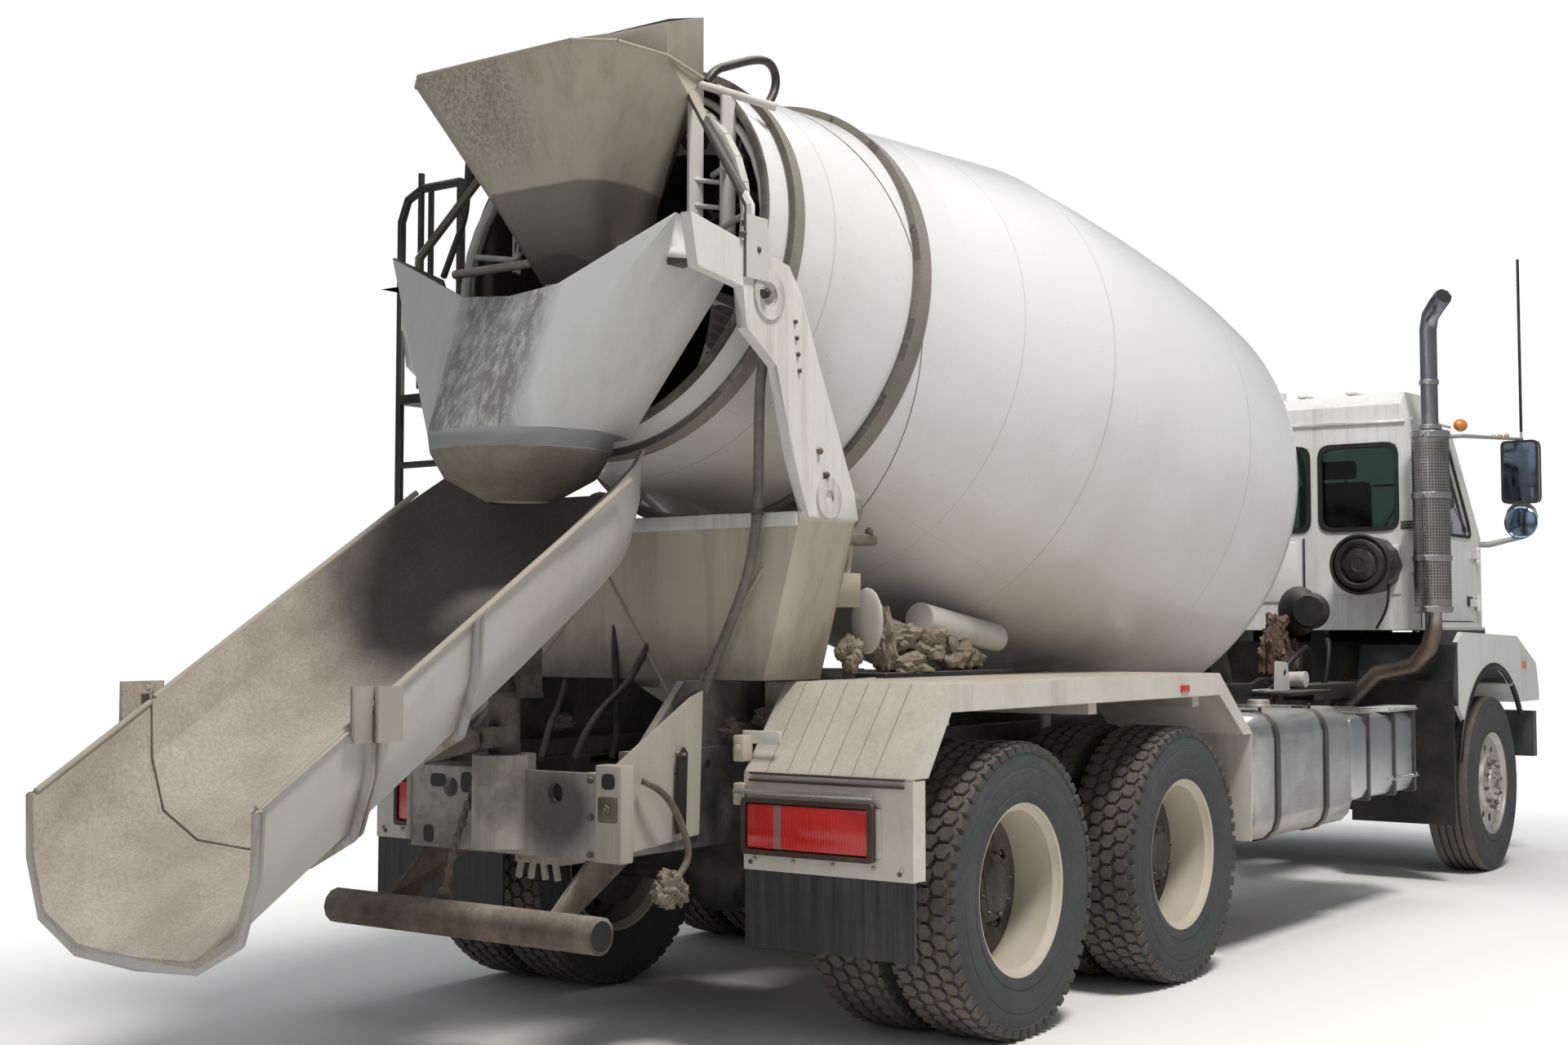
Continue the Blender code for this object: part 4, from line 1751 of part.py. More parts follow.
def door_outline(gap):
    return [
        (DOOR_REAR_X + gap, DOOR_BOTTOM + gap),
        (DOOR_REAR_X + gap, DOOR_TOP - gap),
        (DOOR_TOP_FRONT_X - gap * 0.5, DOOR_TOP - gap),
        (DOOR_FRONT_X - gap, DOOR_WAIST - gap * 0.5),
        (DOOR_FRONT_X - gap, DOOR_BOTTOM + gap),
    ]


def door_window():
    frame_width = DOOR_FRAME
    return [
        (DOOR_REAR_X + frame_width, CAB_WAIST),
        (DOOR_REAR_X + frame_width, DOOR_TOP - frame_width),
        (DOOR_TOP_FRONT_X - frame_width * 0.6, DOOR_TOP - frame_width),
        (DOOR_FRONT_X - frame_width * 1.2, CAB_WAIST + frame_width),
        (DOOR_FRONT_X - frame_width * 1.2, CAB_WAIST),
    ]


def side_cut(outline, sign):
    reach = sorted((sign * (CAB_HALF - CAB_WALL - CAB_TAPER * 2 - OVERRUN), sign * (CAB_HALF + OVERRUN)))
    return prism(outline, "Y", *reach)


def arch_shell(low_x, high_x, sign):
    """Wheel arch between two stations: an outer form less the room for the wheel."""
    crown = arc((FRONT_AXLE_X, AXLE_Z), ARCH_RADIUS, 172, 8, 2 * ARC_STEPS)
    outer = [
        (ARCH_REAR_X, AXLE_Z + ARCH_RADIUS * 0.80),
        (ARCH_REAR_X + ARCH_SHEET * 3, ARCH_TOP - ARCH_SHEET * 3),
        (ARCH_REAR_X + ARCH_SHEET * 8, ARCH_TOP),
        (FRONT_AXLE_X + ARCH_RADIUS * 0.75, ARCH_TOP - ARCH_SHEET),
        (BUMPER_REAR_X + ARCH_SHEET * 2, ARCH_TOP - ARCH_SHEET * 8),
        (HOOD_FRONT_X - OVERRUN, HOOD_BOTTOM + OVERRUN * 3),
        (HOOD_FRONT_X - OVERRUN, HOOD_BOTTOM),
        (FRONT_AXLE_X + ARCH_RADIUS * 0.6, HOOD_BOTTOM),
        (FRONT_AXLE_X, AXLE_Z),
        (FRONT_AXLE_X - ARCH_RADIUS * 0.9, AXLE_Z + ARCH_RADIUS * 0.6),
    ]
    y = sorted((sign * ARCH_INNER_Y, sign * ARCH_OUTER_Y))
    form = prism(outer, "Y", *y)
    wheel_room = prism(crown, "Y", -ARCH_OUTER_Y - OVERRUN, ARCH_OUTER_Y + OVERRUN)
    low_room = block(
        (FRONT_AXLE_X - ARCH_RADIUS, FRONT_AXLE_X + ARCH_RADIUS * 0.985),
        (-ARCH_OUTER_Y - OVERRUN, ARCH_OUTER_Y + OVERRUN),
        (AXLE_Z - ARCH_RADIUS, AXLE_Z + ARCH_RADIUS * 0.16),
    )
    keep = block((low_x, high_x), (-ARCH_OUTER_Y - OVERRUN, ARCH_OUTER_Y + OVERRUN), (0, CAB_TOP))
    return overlap(cut(form, [wheel_room, low_room]), keep)


def cab_and_doors():
    """Hollow cab with its windows cut, and the doors taken out of the same walls."""
    outer = cab_hull(0)
    shell = cut(outer, [cab_hull(CAB_WALL)])
    door_stock = copied(shell)
    windows = []
    rear_reach = (CAB_REAR_X - OVERRUN, CAB_REAR_X + CAB_WALL + OVERRUN)
    window_z = (REAR_WINDOW_LOW, REAR_WINDOW_HIGH)
    windows.append(block(rear_reach, (-REAR_WINDOW_HALF, REAR_WINDOW_HALF), window_z))
    for _, sign in SIDES:
        side_span = sorted((sign * REAR_SIDE_WINDOW_INNER, sign * REAR_SIDE_WINDOW_OUTER))
        windows.append(block(rear_reach, side_span, window_z))
        windows.append(side_cut(door_outline(0), sign))
    slope = Vector((CAB_VISOR_X - CAB_FRONT_X, 0, CAB_VISOR_Z - CAB_WAIST))
    low = Vector((CAB_FRONT_X, 0, CAB_WAIST)) + slope * 0.10
    high = Vector((CAB_FRONT_X, 0, CAB_WAIST)) + slope * 0.88
    outline = [
        (low.x - CAB_WALL * 3, low.z),
        (low.x + CAB_WALL, low.z),
        (high.x + CAB_WALL * 2, high.z),
        (high.x - CAB_WALL * 3, high.z),
    ]
    windows.append(prism(outline, "Y", -WINDSHIELD_HALF, WINDSHIELD_HALF))
    pieces = [cut(shell, windows)]
    for _, sign in SIDES:
        pieces.append(arch_shell(ARCH_REAR_X - OVERRUN, HOOD_SPLIT_X - HOOD_GAP, sign))
        sill = block(
            (ARCH_REAR_X + ARCH_SHEET * 8, HOOD_SPLIT_X - HOOD_GAP),
            sorted((sign * (CAB_HALF - CAB_WALL * 2), sign * (CAB_HALF + OVERRUN))),
            (ARCH_TOP - OVERRUN, CAB_BOTTOM + CAB_WALL / 2),
        )
        pieces.append(sill)
        for share in (0.06, 0.88):
            x = CAB_REAR_X + share * (CAB_FRONT_X - CAB_REAR_X)
            pieces.append(
                block(
                    (x, x + MOUNT_POST),
                    sorted((sign * (RAIL_OUTER_Y - RAIL_FLANGE), sign * (RAIL_OUTER_Y - RAIL_WEB / 2))),
                    (RAIL_TOP + SEAT_GAP, CAB_BOTTOM + CAB_WALL / 2),
                )
            )
        for z in (HINGE_LOW_Z, HINGE_HIGH_Z):
            pieces += cab_hinge(sign, z)
    beacon_x = CAB_VISOR_X - CAB_ROOF_REAR_RISE * 3
    pieces.append(
        rod(
            (beacon_x, 0, CAB_TOP - OVERRUN),
            (beacon_x, 0, CAB_TOP + BEACON_HEIGHT),
            BEACON_RADIUS,
        )
    )
    node("cab_shell", fused(pieces), WHITE_PAINT, TRUCK)
    for side, sign in SIDES:
        panel = overlap(copied(door_stock), side_cut(door_outline(DOOR_GAP), sign))
        panel = cut(panel, [side_cut(door_window(), sign)])
        knuckles = []
        bores = []
        for z in (HINGE_LOW_Z, HINGE_HIGH_Z):
            knuckles += door_hinge(sign, z)
            bores.append(hinge_rod(sign, z, HINGE_KNUCKLE_HEIGHT * 2, HINGE_PIN_RADIUS + HINGE_GAP))
        axis = body_empty(f"door_axis_{side}", TRUCK, (HINGE_X, sign * (CAB_HALF + HINGE_PROUD), HINGE_LOW_Z))
        door = cut(fused([panel] + knuckles), bores)
        node(f"door_{side}", door, WHITE_PAINT, axis)
    bpy.data.objects.remove(door_stock)


def hinge_rod(sign, z, height, radius):
    y = sign * (CAB_HALF + HINGE_PROUD)
    return rod((HINGE_X, y, z - height / 2), (HINGE_X, y, z + height / 2), radius)


def door_hinge(sign, z):
    """Door half of a hinge: a knuckle and the strap that carries it."""
    height = (z - HINGE_KNUCKLE_HEIGHT / 2 + HINGE_GAP, z + HINGE_KNUCKLE_HEIGHT / 2 - HINGE_GAP)
    top_y = sign * (CAB_HALF + HINGE_KNUCKLE_RADIUS * 0.8)
    strap = block(
        (DOOR_FRONT_X - DOOR_FRAME * 2, HINGE_X),
        sorted((sign * (CAB_HALF + HINGE_PROUD - HINGE_KNUCKLE_RADIUS), top_y)),
        height,
    )
    pad = block(
        (DOOR_FRONT_X - DOOR_FRAME * 1.8, DOOR_FRONT_X - DOOR_FRAME / 2),
        sorted((sign * (CAB_HALF - CAB_WALL / 2), sign * (CAB_HALF + HINGE_KNUCKLE_RADIUS / 2))),
        (height[0] + HINGE_GAP, height[1] - HINGE_GAP),
    )
    return [hinge_rod(sign, z, HINGE_KNUCKLE_HEIGHT - HINGE_GAP * 2, HINGE_KNUCKLE_RADIUS), strap, pad]


def cab_hinge(sign, z):
    """Cab half of a hinge: a pin between two knuckles on straps."""
    pieces = [hinge_rod(sign, z, HINGE_KNUCKLE_HEIGHT * 1.5, HINGE_PIN_RADIUS)]
    for end in (-1, 1):
        middle = z + end * HINGE_KNUCKLE_HEIGHT * 0.75
        half = HINGE_KNUCKLE_HEIGHT / 4
        y = sign * (CAB_HALF + HINGE_PROUD)
        pieces.append(rod((HINGE_X, y, middle - half), (HINGE_X, y, middle + half), HINGE_KNUCKLE_RADIUS))
        pieces.append(
            block(
                (HINGE_X, HINGE_X + DOOR_FRAME),
                sorted((sign * (CAB_HALF - HINGE_PROUD), sign * (CAB_HALF + HINGE_KNUCKLE_RADIUS * 0.6))),
                (middle - half, middle + half),
            )
        )
    return pieces


def hood():
    """Tilting hood with its wings over the front wheels and the grille cut in its nose."""
    side_gap = HOOD_GAP / 2
    back_x = CAB_FRONT_X + HOOD_GAP
    base = [
        (back_x, HOOD_BOTTOM),
        (back_x, CAB_WAIST - HOOD_GAP),
        (HOOD_FRONT_X - OVERRUN * 6, HOOD_FRONT_TOP + OVERRUN * 3),
        (HOOD_FRONT_X - OVERRUN, HOOD_FRONT_TOP - OVERRUN * 3),
        (HOOD_FRONT_X, HOOD_BOTTOM),
    ]
    room = [
        (back_x - OVERRUN, HOOD_BOTTOM - OVERRUN),
        (back_x - OVERRUN, CAB_WAIST - HOOD_GAP - HOOD_SHEET),
        (HOOD_FRONT_X - OVERRUN * 6 - HOOD_SHEET / 2, HOOD_FRONT_TOP + OVERRUN * 3 - HOOD_SHEET),
        (HOOD_FRONT_X - OVERRUN - HOOD_SHEET, HOOD_FRONT_TOP - OVERRUN * 3 - HOOD_SHEET / 2),
        (HOOD_FRONT_X - HOOD_SHEET, HOOD_BOTTOM - OVERRUN),
    ]
    outer = narrowed(prism(base, "Y", -HOOD_HALF, HOOD_HALF))
    inner = narrowed(prism(room, "Y", -(HOOD_HALF - HOOD_SHEET), HOOD_HALF - HOOD_SHEET))
    wings = []
    for _, sign in SIDES:
        wings.append(arch_shell(HOOD_SPLIT_X + side_gap, HOOD_FRONT_X + OVERRUN, sign))
        cowl_y = sorted((sign * (HOOD_NOSE_HALF), sign * ARCH_INNER_Y + sign * OVERRUN))
        cowl_z = (ARCH_TOP - OVERRUN * 4, ARCH_TOP - ARCH_SHEET)
        wings.append(block((back_x, back_x + HOOD_SHEET), cowl_y, cowl_z))
        wings.append(
            block(
                (FRONT_AXLE_X + ARCH_RADIUS + ARCH_SHEET, HOOD_FRONT_X - OVERRUN),
                sorted((sign * (HOOD_NOSE_HALF - OVERRUN), sign * (ARCH_INNER_Y + OVERRUN))),
                (HOOD_BOTTOM, HOOD_BOTTOM + FENDER_LIP),
            )
        )
    cutters = [inner]
    pitch = (GRILLE_TOP - GRILLE_BOTTOM) / GRILLE_SLOTS
    for i in range(GRILLE_SLOTS):
        z = GRILLE_BOTTOM + pitch * i
        cutters.append(
            block(
                (HOOD_FRONT_X - HOOD_SHEET * 2, HOOD_FRONT_X + OVERRUN),
                (-GRILLE_HALF, GRILLE_HALF),
                (z, z + pitch * 0.7),
            )
        )
    body = cut(fused([outer] + wings), cutters)
    lugs = []
    bores = []
    for _, sign in SIDES:
        near, far = sorted((sign * HOOD_HINGE_Y, sign * (HOOD_HINGE_Y + HOOD_SHEET)))
        lugs.append(
            block(
                (HOOD_HINGE_X - HOOD_SHEET * 0.6, HOOD_HINGE_X + HOOD_SHEET * 0.6),
                (near, far),
                (HOOD_HINGE_Z, HOOD_BOTTOM + OVERRUN),
            )
        )
        pin = [(HOOD_HINGE_X, y, HOOD_HINGE_Z) for y in (near, far)]
        lugs.append(rod(*pin, HOOD_SHEET * 0.6))
        bores.append(
            rod(
                (HOOD_HINGE_X, near - OVERRUN, HOOD_HINGE_Z),
                (HOOD_HINGE_X, far + OVERRUN, HOOD_HINGE_Z),
                HINGE_PIN_RADIUS + SPINDLE_GAP,
            )
        )
    axis = body_empty("hood_axis", TRUCK, (HOOD_HINGE_X, 0, HOOD_HINGE_Z))
    node("hood", cut(fused([body] + lugs), bores), WHITE_PAINT, axis)


def narrowed(shape):
    """Draws the hood's nose and top in, towards the middle of the truck."""
    for vert in shape.data.vertices:
        ahead = max(0.0, (vert.co.x - CAB_FRONT_X) / (HOOD_FRONT_X - CAB_FRONT_X))
        vert.co.y *= 1 - (1 - HOOD_NOSE_HALF / HOOD_HALF) * ahead
    return shape


def bumper():
    """Front bumper on its frame brackets, with the pins that the hood tilts on."""
    outline = [
        (BUMPER_REAR_X, -BUMPER_HALF),
        (BUMPER_FRONT_X - OVERRUN * 4, -BUMPER_HALF),
        (BUMPER_FRONT_X, -BUMPER_HALF + OVERRUN * 8),
        (BUMPER_FRONT_X, BUMPER_HALF - OVERRUN * 8),
        (BUMPER_FRONT_X - OVERRUN * 4, BUMPER_HALF),
        (BUMPER_REAR_X, BUMPER_HALF),
    ]
    pieces = [prism(outline, "Z", BUMPER_BOTTOM, BUMPER_TOP)]
    gap_y = HOOD_SHEET + HINGE_GAP
    for _, sign in SIDES:
        arm = sorted((sign * (RAIL_OUTER_Y - RAIL_FLANGE), sign * RAIL_OUTER_Y))
        pieces.append(
            block(
                (FRAME_FRONT_X + END_PLATE / 2 + SEAT_GAP, BUMPER_REAR_X + OVERRUN),
                arm,
                (RAIL_BOTTOM + CROSS_TOP_DROP, BUMPER_TOP - CROSS_TOP_DROP),
            )
        )
        for offset in (-HOOD_SHEET - HINGE_GAP, gap_y):
            near = sign * HOOD_HINGE_Y + (offset if sign > 0 else -offset)
            pieces.append(
                block(
                    (HOOD_HINGE_X - HOOD_SHEET * 0.6, HOOD_HINGE_X + HOOD_SHEET * 0.6),
                    sorted((near, near + sign * HOOD_SHEET)),
                    (BUMPER_TOP - OVERRUN, HOOD_HINGE_Z + HOOD_SHEET * 0.5),
                )
            )
        pieces.append(
            rod(
                (HOOD_HINGE_X, sign * (HOOD_HINGE_Y - HOOD_SHEET / 2), HOOD_HINGE_Z),
                (HOOD_HINGE_X, sign * (HOOD_HINGE_Y + HOOD_SHEET * 1.5), HOOD_HINGE_Z),
                HINGE_PIN_RADIUS,
            )
        )
    node("bumper", fused(pieces), BLACK_PAINT, TRUCK)


def air_cleaner():
    wall = CAB_REAR_X - SEAT_GAP
    pieces = [
        rod((wall, CLEANER_Y, CLEANER_Z), (wall - CLEANER_LENGTH, CLEANER_Y, CLEANER_Z), CLEANER_RADIUS),
        rod(
            (wall - CLEANER_LENGTH + OVERRUN, CLEANER_Y, CLEANER_Z),
            (wall - CLEANER_LENGTH - OVERRUN, CLEANER_Y, CLEANER_Z),
            CLEANER_RADIUS * 0.55,
        ),
    ]
    node("air_cleaner", fused(pieces), BLACK_PLASTIC, TRUCK)


def exhaust():
    """Stack in its heat shield, with the elbow that runs in to the frame."""
    foot_z = STACK_FOOT_Z
    elbow = [
        (STACK_X, -(RAIL_OUTER_Y + SEAT_GAP), foot_z - STACK_RADIUS * 5.4),
        (STACK_X, -(RAIL_OUTER_Y + STACK_RADIUS * 2), foot_z - STACK_RADIUS * 5.4),
        (STACK_X, STACK_FOOT_Y, foot_z),
        (STACK_X, (STACK_FOOT_Y + STACK_Y) / 2 - STACK_RADIUS, foot_z + STACK_RADIUS),
        (STACK_X, STACK_Y + STACK_RADIUS * 0.6, foot_z + STACK_RADIUS * 3),
        (STACK_X, STACK_Y, foot_z + STACK_RADIUS * 5),
        (STACK_X, STACK_Y, STACK_TOP - STACK_TIP),
        (STACK_X - STACK_TIP * 0.15, STACK_Y - STACK_TIP * 0.15, STACK_TOP - STACK_TIP * 0.4),
        (STACK_X - STACK_TIP * 0.6, STACK_Y - STACK_TIP * 0.6, STACK_TOP),
        (STACK_X - STACK_TIP * 1.1, STACK_Y - STACK_TIP * 1.1, STACK_TOP + STACK_TIP * 0.35),
    ]
    clamp = block(
        (STACK_X, CAB_REAR_X - SEAT_GAP),
        (STACK_Y + STACK_RADIUS * 2.4, STACK_Y + STACK_RADIUS * 3.4),
        (CAB_WAIST, CAB_WAIST + STACK_RADIUS),
    )
    strap = block(
        (STACK_X - STACK_RADIUS / 2, STACK_X + STACK_RADIUS / 2),
        (STACK_Y, STACK_Y + STACK_RADIUS * 3.4),
        (CAB_WAIST, CAB_WAIST + STACK_RADIUS),
    )
    shield = rod((STACK_X, STACK_Y, SHIELD_BOTTOM), (STACK_X, STACK_Y, SHIELD_TOP), SHIELD_RADIUS)
    node("exhaust_stack", fused([tube(elbow, STACK_RADIUS, 2), shield, strap, clamp]), STEEL, TRUCK)


def mirrors():
    """Mirror heads on tube arms from the pillars, with the whip aerial on each upper arm."""
    for side, sign in SIDES:
        y = sign * MIRROR_Y
        head = rounded_box_outline(
            sorted((y - sign * MIRROR_HALF_WIDTH, y + sign * MIRROR_HALF_WIDTH)),
            (MIRROR_BOTTOM, MIRROR_TOP),
            MIRROR_HALF_WIDTH / 3,
        )
        depth = (MIRROR_X - MIRROR_THICKNESS / 2, MIRROR_X + MIRROR_THICKNESS / 2)
        pieces = [prism(head, "X", *depth)]
        low_z = MIRROR_BOTTOM - MIRROR_ROUND_RADIUS * 0.9
        pieces.append(
            rod(
                (depth[0], y, low_z),
                (depth[1], y, low_z),
                MIRROR_ROUND_RADIUS,
                end_radius=MIRROR_ROUND_RADIUS * 0.7,
            )
        )
        pillar_x = CAB_VISOR_X - OVERRUN * 4
        arm_z = MIRROR_TOP + MIRROR_TUBE
        elbow_y = sign * (CAB_HALF + OVERRUN * 3)
        upper = [
            (pillar_x, sign * (CAB_HALF - CAB_TAPER * 0.70 + SEAT_GAP), arm_z - OVERRUN),
            (pillar_x, elbow_y, arm_z - OVERRUN),
            (MIRROR_X, y, arm_z),
            (MIRROR_X, y, MIRROR_TOP - MIRROR_TUBE),
        ]
        pieces.append(tube(upper, MIRROR_TUBE))
        low_x = CAB_FRONT_X - OVERRUN
        lower = [
            (low_x, sign * (CAB_HALF + SEAT_GAP), CAB_WAIST - OVERRUN * 2),
            (low_x, elbow_y, CAB_WAIST - OVERRUN * 2),
            (MIRROR_X, y, low_z - MIRROR_ROUND_RADIUS - OVERRUN),
            (MIRROR_X, y, low_z),
        ]
        pieces.append(tube(lower, MIRROR_TUBE * 1.5))
        pieces.append(
            rod((MIRROR_X, y, arm_z - MIRROR_TUBE / 2), (MIRROR_X, y, ANTENNA_TOP), ANTENNA_RADIUS)
        )
        node(f"mirror_{side}", fused(pieces), BLACK_PLASTIC, TRUCK)


def cab_interior():
    """Dashboard with the steering wheel on its column, and the two seats on their plinths."""
    inside = CAB_HALF - CAB_WALL - RUNNING_GAP
    front = CAB_FRONT_X - CAB_WALL - SEAT_GAP
    outline = [
        (DASH_REAR_X, DASH_BOTTOM),
        (front, DASH_BOTTOM),
        (front, CAB_WAIST - CAB_WALL),
        (DASH_REAR_X + OVERRUN * 3, DASH_TOP - CAB_WALL),
    ]
    inside -= DOOR_GAP
    dash = prism(outline, "Y", -inside, inside)
    column_top = Vector((DASH_REAR_X - OVERRUN * 7, DRIVER_Y, DASH_TOP + OVERRUN))
    column_foot = Vector((DASH_REAR_X + OVERRUN * 5, DRIVER_Y, DASH_BOTTOM + OVERRUN * 2))
    axis = (column_top - column_foot).normalized()
    rim = turned(
        [(x, WHEEL_RIM_RADIUS + z) for x, z in arc((0, 0), WHEEL_RIM_TUBE, 0, 300, 5)],
        column_top,
        axis,
        ROUND_SEGMENTS,
    )
    pieces = [dash, rod(column_foot, column_top, WHEEL_RIM_TUBE * 2), rim]
    spread = axis.orthogonal().normalized()
    for i in range(3):
        out = Matrix.Rotation(math.tau * i / 3, 3, axis) @ spread
        inner = column_top - axis * WHEEL_RIM_TUBE / 2
        pieces.append(rod(inner, column_top + out * WHEEL_RIM_RADIUS, WHEEL_RIM_TUBE * 0.7, 6))
    node("dashboard", fused(pieces), BLACK_PLASTIC, TRUCK)
    floor = CAB_BOTTOM + CAB_WALL + SEAT_GAP
    for side, sign in SIDES:
        y = sorted((sign * (DRIVER_Y - SEAT_WIDTH / 2), sign * (DRIVER_Y + SEAT_WIDTH / 2)))
        narrow = sorted((sign * (DRIVER_Y - SEAT_WIDTH / 3), sign * (DRIVER_Y + SEAT_WIDTH / 3)))
        x = (SEAT_REAR_X, SEAT_REAR_X + SEAT_DEPTH)
        pieces = [
            block((x[0] + OVERRUN, x[1] - OVERRUN), narrow, (floor, PLINTH_TOP + OVERRUN)),
            block(x, y, (PLINTH_TOP, SEAT_TOP)),
            block((x[0], x[0] + SEAT_BACK), y, (SEAT_TOP - OVERRUN, SEAT_BACK_TOP)),
        ]
        node(f"seat_{side}", fused(pieces), CLOTH, TRUCK)


def build_truck():
    rear_wheels()
    rear_axles()
    front_axle()
    steered_wheels()
    frame()
    engine()
    rear_pedestal()
    rollers()
    drum()
    drum_drive()
    charge_hopper()
    discharge_hopper()
    chute_bodies()
    fenders()
    tanks()
    splash_guards()
    underrun_bar()
    ladder()
    water_hose()
    cab_and_doors()
    hood()
    bumper()
    air_cleaner()
    exhaust()
    mirrors()
    cab_interior()


build_truck()
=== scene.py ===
"""Concrete mixer truck: the finishes and details that dress its CAD frame, laid out as a Blender add-on."""

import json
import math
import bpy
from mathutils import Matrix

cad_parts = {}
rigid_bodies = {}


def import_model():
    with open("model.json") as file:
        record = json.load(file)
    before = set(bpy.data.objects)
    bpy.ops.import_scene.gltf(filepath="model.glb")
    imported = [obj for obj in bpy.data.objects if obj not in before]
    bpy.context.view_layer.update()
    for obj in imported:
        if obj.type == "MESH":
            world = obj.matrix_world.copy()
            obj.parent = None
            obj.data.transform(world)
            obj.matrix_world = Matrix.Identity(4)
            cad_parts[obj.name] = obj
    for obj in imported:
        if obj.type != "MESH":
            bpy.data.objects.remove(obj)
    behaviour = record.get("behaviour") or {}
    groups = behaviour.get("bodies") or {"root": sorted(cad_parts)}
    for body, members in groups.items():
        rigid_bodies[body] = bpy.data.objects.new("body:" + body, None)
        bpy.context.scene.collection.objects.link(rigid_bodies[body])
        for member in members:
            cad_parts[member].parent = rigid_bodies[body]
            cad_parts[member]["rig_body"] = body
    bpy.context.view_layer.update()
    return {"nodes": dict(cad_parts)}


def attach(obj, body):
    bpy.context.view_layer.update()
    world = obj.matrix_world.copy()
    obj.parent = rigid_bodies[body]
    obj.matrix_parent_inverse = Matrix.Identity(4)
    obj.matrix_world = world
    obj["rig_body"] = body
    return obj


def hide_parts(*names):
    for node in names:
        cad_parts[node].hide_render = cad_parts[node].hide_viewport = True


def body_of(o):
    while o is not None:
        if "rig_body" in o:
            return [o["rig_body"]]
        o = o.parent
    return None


bl_info = {
    "name": "Concrete Mixer Truck",
    "version": (1, 0, 0),
    "blender": (4, 5, 0),
    "location": "3D View > Sidebar > Mixer Truck",
    "description": "Dresses a concrete mixer truck with wheels, drum, chute, glass, lamps and paint",
    "category": "Object",
}

import bmesh
import bpy
from mathutils import Matrix, Vector, noise

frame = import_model()

# The truck's own x runs from its rearmost axle; the frame's x runs from the middle of its length
MIDDLE = 2.125
DRUM_TILT = math.radians(10.5)
DRUM_AXIS = Vector((-math.cos(DRUM_TILT), 0.0, math.sin(DRUM_TILT)))
DRUM_SPOT = Vector((2.0 - MIDDLE, 0.0, 2.294))
CHUTE_FALL = math.tan(math.radians(32.7))
SIDES = (("left", 1), ("right", -1))
REAR_AXLES = (("rear1", 0.0), ("rear2", 1.374))
FRONT_AXLE = 5.98
AXLE_HEIGHT = 0.525
ARCH_RADIUS = 0.714
TANK_STRAPS = (2.12 + 1.24 * 0.22, 2.12 + 1.24 * 0.72)
STACK_X, STACK_Y = 5.02, -1.14
MIRROR_Y = 1.27
ARM_FACE = 0.8008
END_PLATE = -1.3706
BACK_WALL = 5.139
SWING_X, RIM_Z = -1.36, 1.89


def at(x, y, z):
    """A place in the truck's own measures, as a point of the frame."""
    return Vector((x - MIDDLE, y, z))


def colour_choice(label, about, *rgb):
    return bpy.props.FloatVectorProperty(
        name=label, description=about, subtype="COLOR", size=4, min=0.0, max=1.0, default=(*rgb, 1.0)
    )


def length_choice(label, about, value, least):
    return bpy.props.FloatProperty(name=label, description=about, default=value, min=least, unit="LENGTH")


class TruckLooks(bpy.types.PropertyGroup):
    """Colours and sizes of the truck's finish"""

    white_paint: colour_choice("Cab paint", "Colour of the clean cab paint", 0.80, 0.80, 0.78)
    drum_paint: colour_choice("Drum paint", "Colour of the clean drum", 0.80, 0.80, 0.80)
    black_paint: colour_choice("Chassis paint", "Colour of the chassis paint", 0.022, 0.023, 0.026)
    dust: colour_choice("Dust", "Colour of the dry cement dust", 0.42, 0.37, 0.30)
    concrete: colour_choice("Dried concrete", "Colour of the film of dried concrete", 0.50, 0.44, 0.36)
    tyre_rubber: colour_choice("Tyre rubber", "Colour of the tyres under their dust", 0.030, 0.031, 0.034)
    rim_cream: colour_choice("Rim paint", "Colour of the rear rims", 0.58, 0.52, 0.42)
    lens_red: colour_choice("Tail lens", "Colour of the tail lamps' lenses", 0.62, 0.012, 0.010)
    lens_amber: colour_choice("Marker lens", "Colour of the marker lamps", 0.85, 0.26, 0.02)
    glass_tint: colour_choice("Glass tint", "Colour that the cab's glass lets through", 0.15, 0.21, 0.19)
    tyre_radius: length_choice("Tyre radius", "From the axle to the tread", 0.525, 0.3)
    tyre_width: length_choice("Tyre width", "Across one tyre", 0.28, 0.1)
    tread_depth: length_choice("Tread depth", "Height of a tread block", 0.013, 0.001)
    seal_width: length_choice("Window seal", "Width of a window's rubber seal", 0.018, 0.005)


def looks():
    return bpy.context.scene.mixer_truck


# Shader trees


